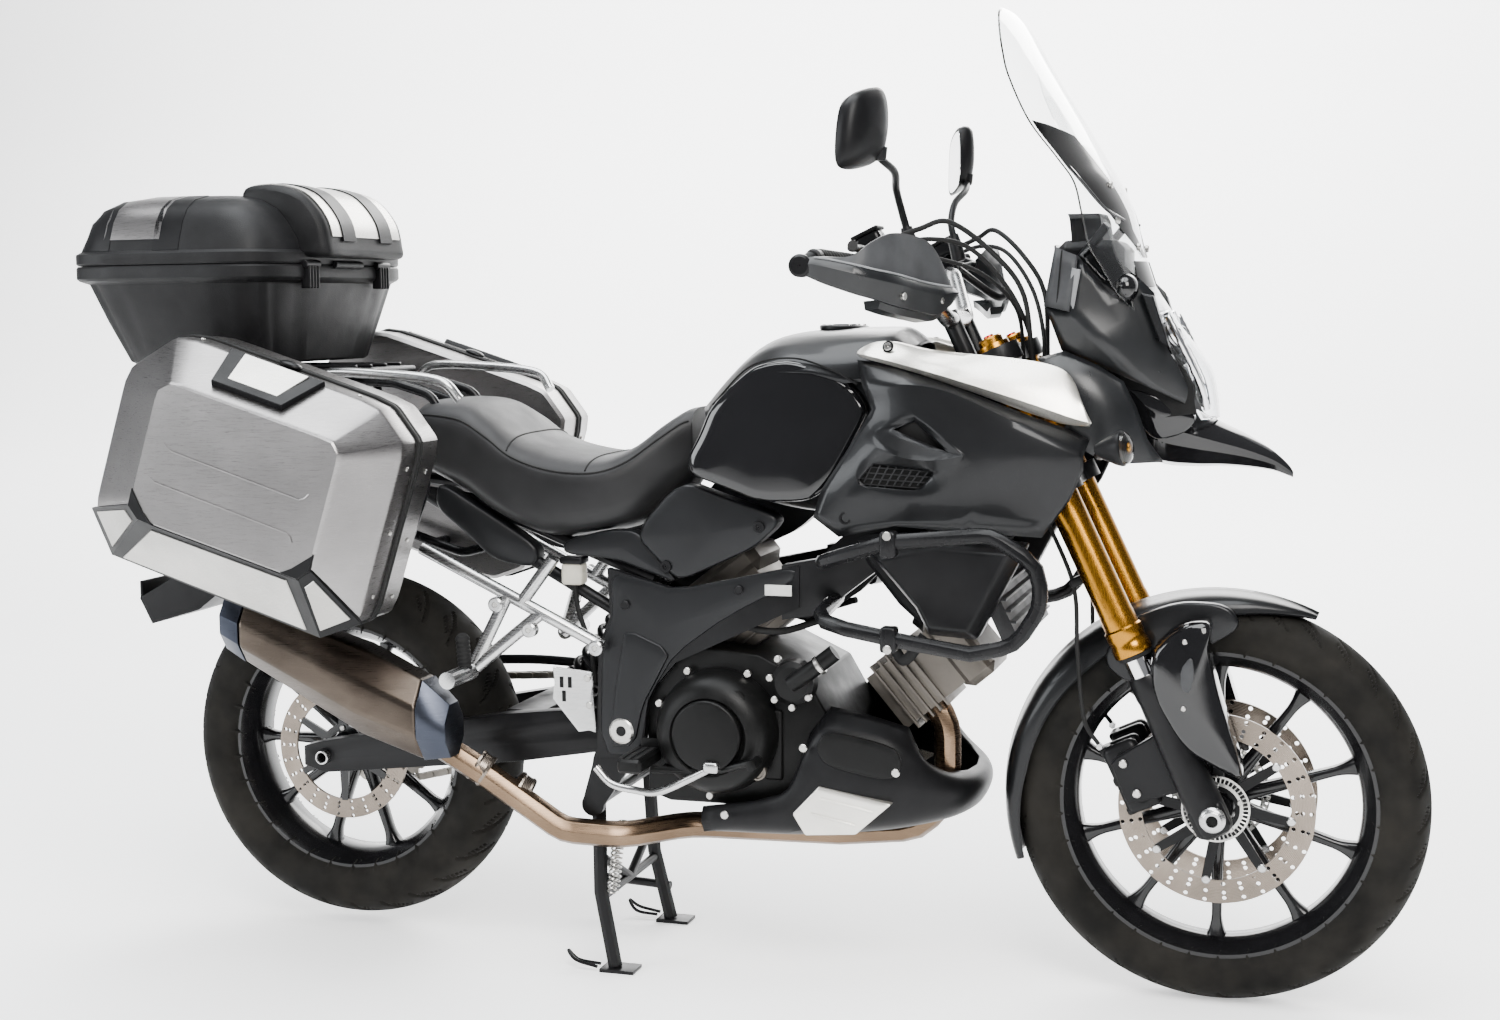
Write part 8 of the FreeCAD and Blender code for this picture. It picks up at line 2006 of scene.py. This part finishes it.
FLOOR_LINE = [(-9, 0), (2.4, 0), (6.4, 0.5), (8.6, 3.0), (9.4, 12)]
FLOOR_BEND = 2600
FLOOR_HALF = 14000
TARGET = (0.0, 0.0, 0.6)
LIGHTS = (
    ("KeyLight", (2.6, -4.4, 4.6), TARGET, (3.2, 3.2), 1.0, (1.0, 0.98, 0.95)),
    ("SkyLight", (-0.4, -0.6, 5.2), TARGET, (5.0, 3.2), 0.9, (0.95, 0.98, 1.0)),
    ("FillLight", (-4.4, -3.0, 2.2), TARGET, (2.6, 2.6), 0.38, (0.95, 0.98, 1.0)),
    ("BackLight", (0.6, 4.2, 3.6), TARGET, (4.0, 2.0), 0.5, (1.0, 0.99, 0.97)),
    ("WallLight", (-1.5, 4.6, 5.4), (-2.0, 9.0, 2.0), (9.0, 1.6), 2.4, (1.0, 1.0, 1.0)),
)
CAMERA_PLACE = (1.0338, -3.2223, 1.1377)
CAMERA_ANGLES = (107.304, -5.934, -0.645)
FOCAL_PIXELS = 1969.2
PHOTO_PIXELS = 1500
SENSOR = 36


class MOTORCYCLE_OT_stage(bpy.types.Operator):
    """Adds the floor, the soft lights and the camera at the photograph's angle."""
    bl_idname = "motorcycle.stage"
    bl_label = "Stage"

    def execute(self, context):
        settings = stage_settings()
        length = np.array(FLOOR_LINE) * 1000
        run = rounded_path(np.stack([length[:, 0] * 0, length[:, 0], length[:, 1]], -1), FLOOR_BEND, 120)
        left = run - [FLOOR_HALF, 0, 0]
        right = run + [FLOOR_HALF, 0, 0]
        sheet = np.concatenate([left, right])
        count = len(run)
        faces = [[row, row + 1, count + row + 1, count + row] for row in range(count - 1)]
        mesh = bpy.data.meshes.new("Floor")
        mesh.from_pydata((sheet * METRES).tolist(), [], faces)
        mesh.polygons.foreach_set("use_smooth", [True] * len(mesh.polygons))
        mesh.materials.append(finish("floor"))
        floor = bpy.data.objects.new("Floor", mesh)
        context.scene.collection.objects.link(floor)
        world = bpy.data.worlds.new("StudioAir")
        world.use_nodes = True
        world.node_tree.nodes["Background"].inputs["Color"].default_value = (0.93, 0.95, 1.0, 1)
        world.node_tree.nodes["Background"].inputs["Strength"].default_value = settings.air
        context.scene.world = world
        for name, place, aim, size, power, tone in LIGHTS:
            light = bpy.data.lights.new(name, "AREA")
            light.shape = "RECTANGLE"
            light.size = size[0]
            light.size_y = size[1]
            light.energy = power * settings.light
            light.color = tone
            lamp = bpy.data.objects.new(name, light)
            lamp.location = place
            lamp.rotation_euler = (Vector(aim) - Vector(place)).to_track_quat("-Z", "Y").to_euler()
            context.scene.collection.objects.link(lamp)
        yaw, pitch, roll = (math.radians(angle) for angle in CAMERA_ANGLES)
        ahead = np.array([math.cos(pitch) * math.cos(yaw), math.cos(pitch) * math.sin(yaw), math.sin(pitch)])
        right_hand = np.cross(ahead, [0, 0, 1])
        right_hand /= np.linalg.norm(right_hand)
        upright = np.cross(right_hand, ahead)
        level = right_hand * math.cos(roll) + upright * math.sin(roll)
        rise = upright * math.cos(roll) - right_hand * math.sin(roll)
        camera = bpy.data.cameras.new("PhotoCamera")
        camera.sensor_width = SENSOR
        camera.lens = FOCAL_PIXELS / PHOTO_PIXELS * SENSOR
        camera.dof.use_dof = False
        viewer = bpy.data.objects.new("PhotoCamera", camera)
        viewer.matrix_world = Matrix([(level[row], rise[row], -ahead[row], CAMERA_PLACE[row])
                                      for row in range(3)] + [(0, 0, 0, 1)])
        context.scene.collection.objects.link(viewer)
        context.scene.camera = viewer
        return {"FINISHED"}


PIECE_OPERATORS = (MOTORCYCLE_OT_front_wheel, MOTORCYCLE_OT_rear_wheel, MOTORCYCLE_OT_fork,
                   MOTORCYCLE_OT_front_fender, MOTORCYCLE_OT_handlebar, MOTORCYCLE_OT_tank,
                   MOTORCYCLE_OT_nose, MOTORCYCLE_OT_screen, MOTORCYCLE_OT_seat, MOTORCYCLE_OT_chain,
                   MOTORCYCLE_OT_frame, MOTORCYCLE_OT_engine, MOTORCYCLE_OT_cases, MOTORCYCLE_OT_top_case,
                   MOTORCYCLE_OT_stage)


class MOTORCYCLE_PT_pieces(bpy.types.Panel):
    """Lists every piece of the motorcycle and its settings in the sidebar."""
    bl_idname = "MOTORCYCLE_PT_pieces"
    bl_label = "Motorcycle"
    bl_space_type = "VIEW_3D"
    bl_region_type = "UI"
    bl_category = "Motorcycle"

    def draw(self, context):
        layout = self.layout
        for group in (context.scene.motorcycle_colours, context.scene.motorcycle_sizes,
                      context.scene.motorcycle_stage):
            box = layout.box()
            for word in group.__annotations__:
                box.prop(group, word)
        for operator in PIECE_OPERATORS:
            layout.operator(operator.bl_idname)


CLASSES = (MotorcycleColours, MotorcycleSizes, MotorcycleStage) + PIECE_OPERATORS + (MOTORCYCLE_PT_pieces,)


def register():
    for each in CLASSES:
        bpy.utils.register_class(each)
    bpy.types.Scene.motorcycle_colours = bpy.props.PointerProperty(type=MotorcycleColours)
    bpy.types.Scene.motorcycle_sizes = bpy.props.PointerProperty(type=MotorcycleSizes)
    bpy.types.Scene.motorcycle_stage = bpy.props.PointerProperty(type=MotorcycleStage)


def unregister():
    del bpy.types.Scene.motorcycle_stage
    del bpy.types.Scene.motorcycle_sizes
    del bpy.types.Scene.motorcycle_colours
    for each in reversed(CLASSES):
        bpy.utils.unregister_class(each)


def main():
    register()
    for operator in PIECE_OPERATORS:
        group, word = operator.bl_idname.split(".")
        getattr(getattr(bpy.ops, group), word)()


if __name__ == "__main__":
    main()
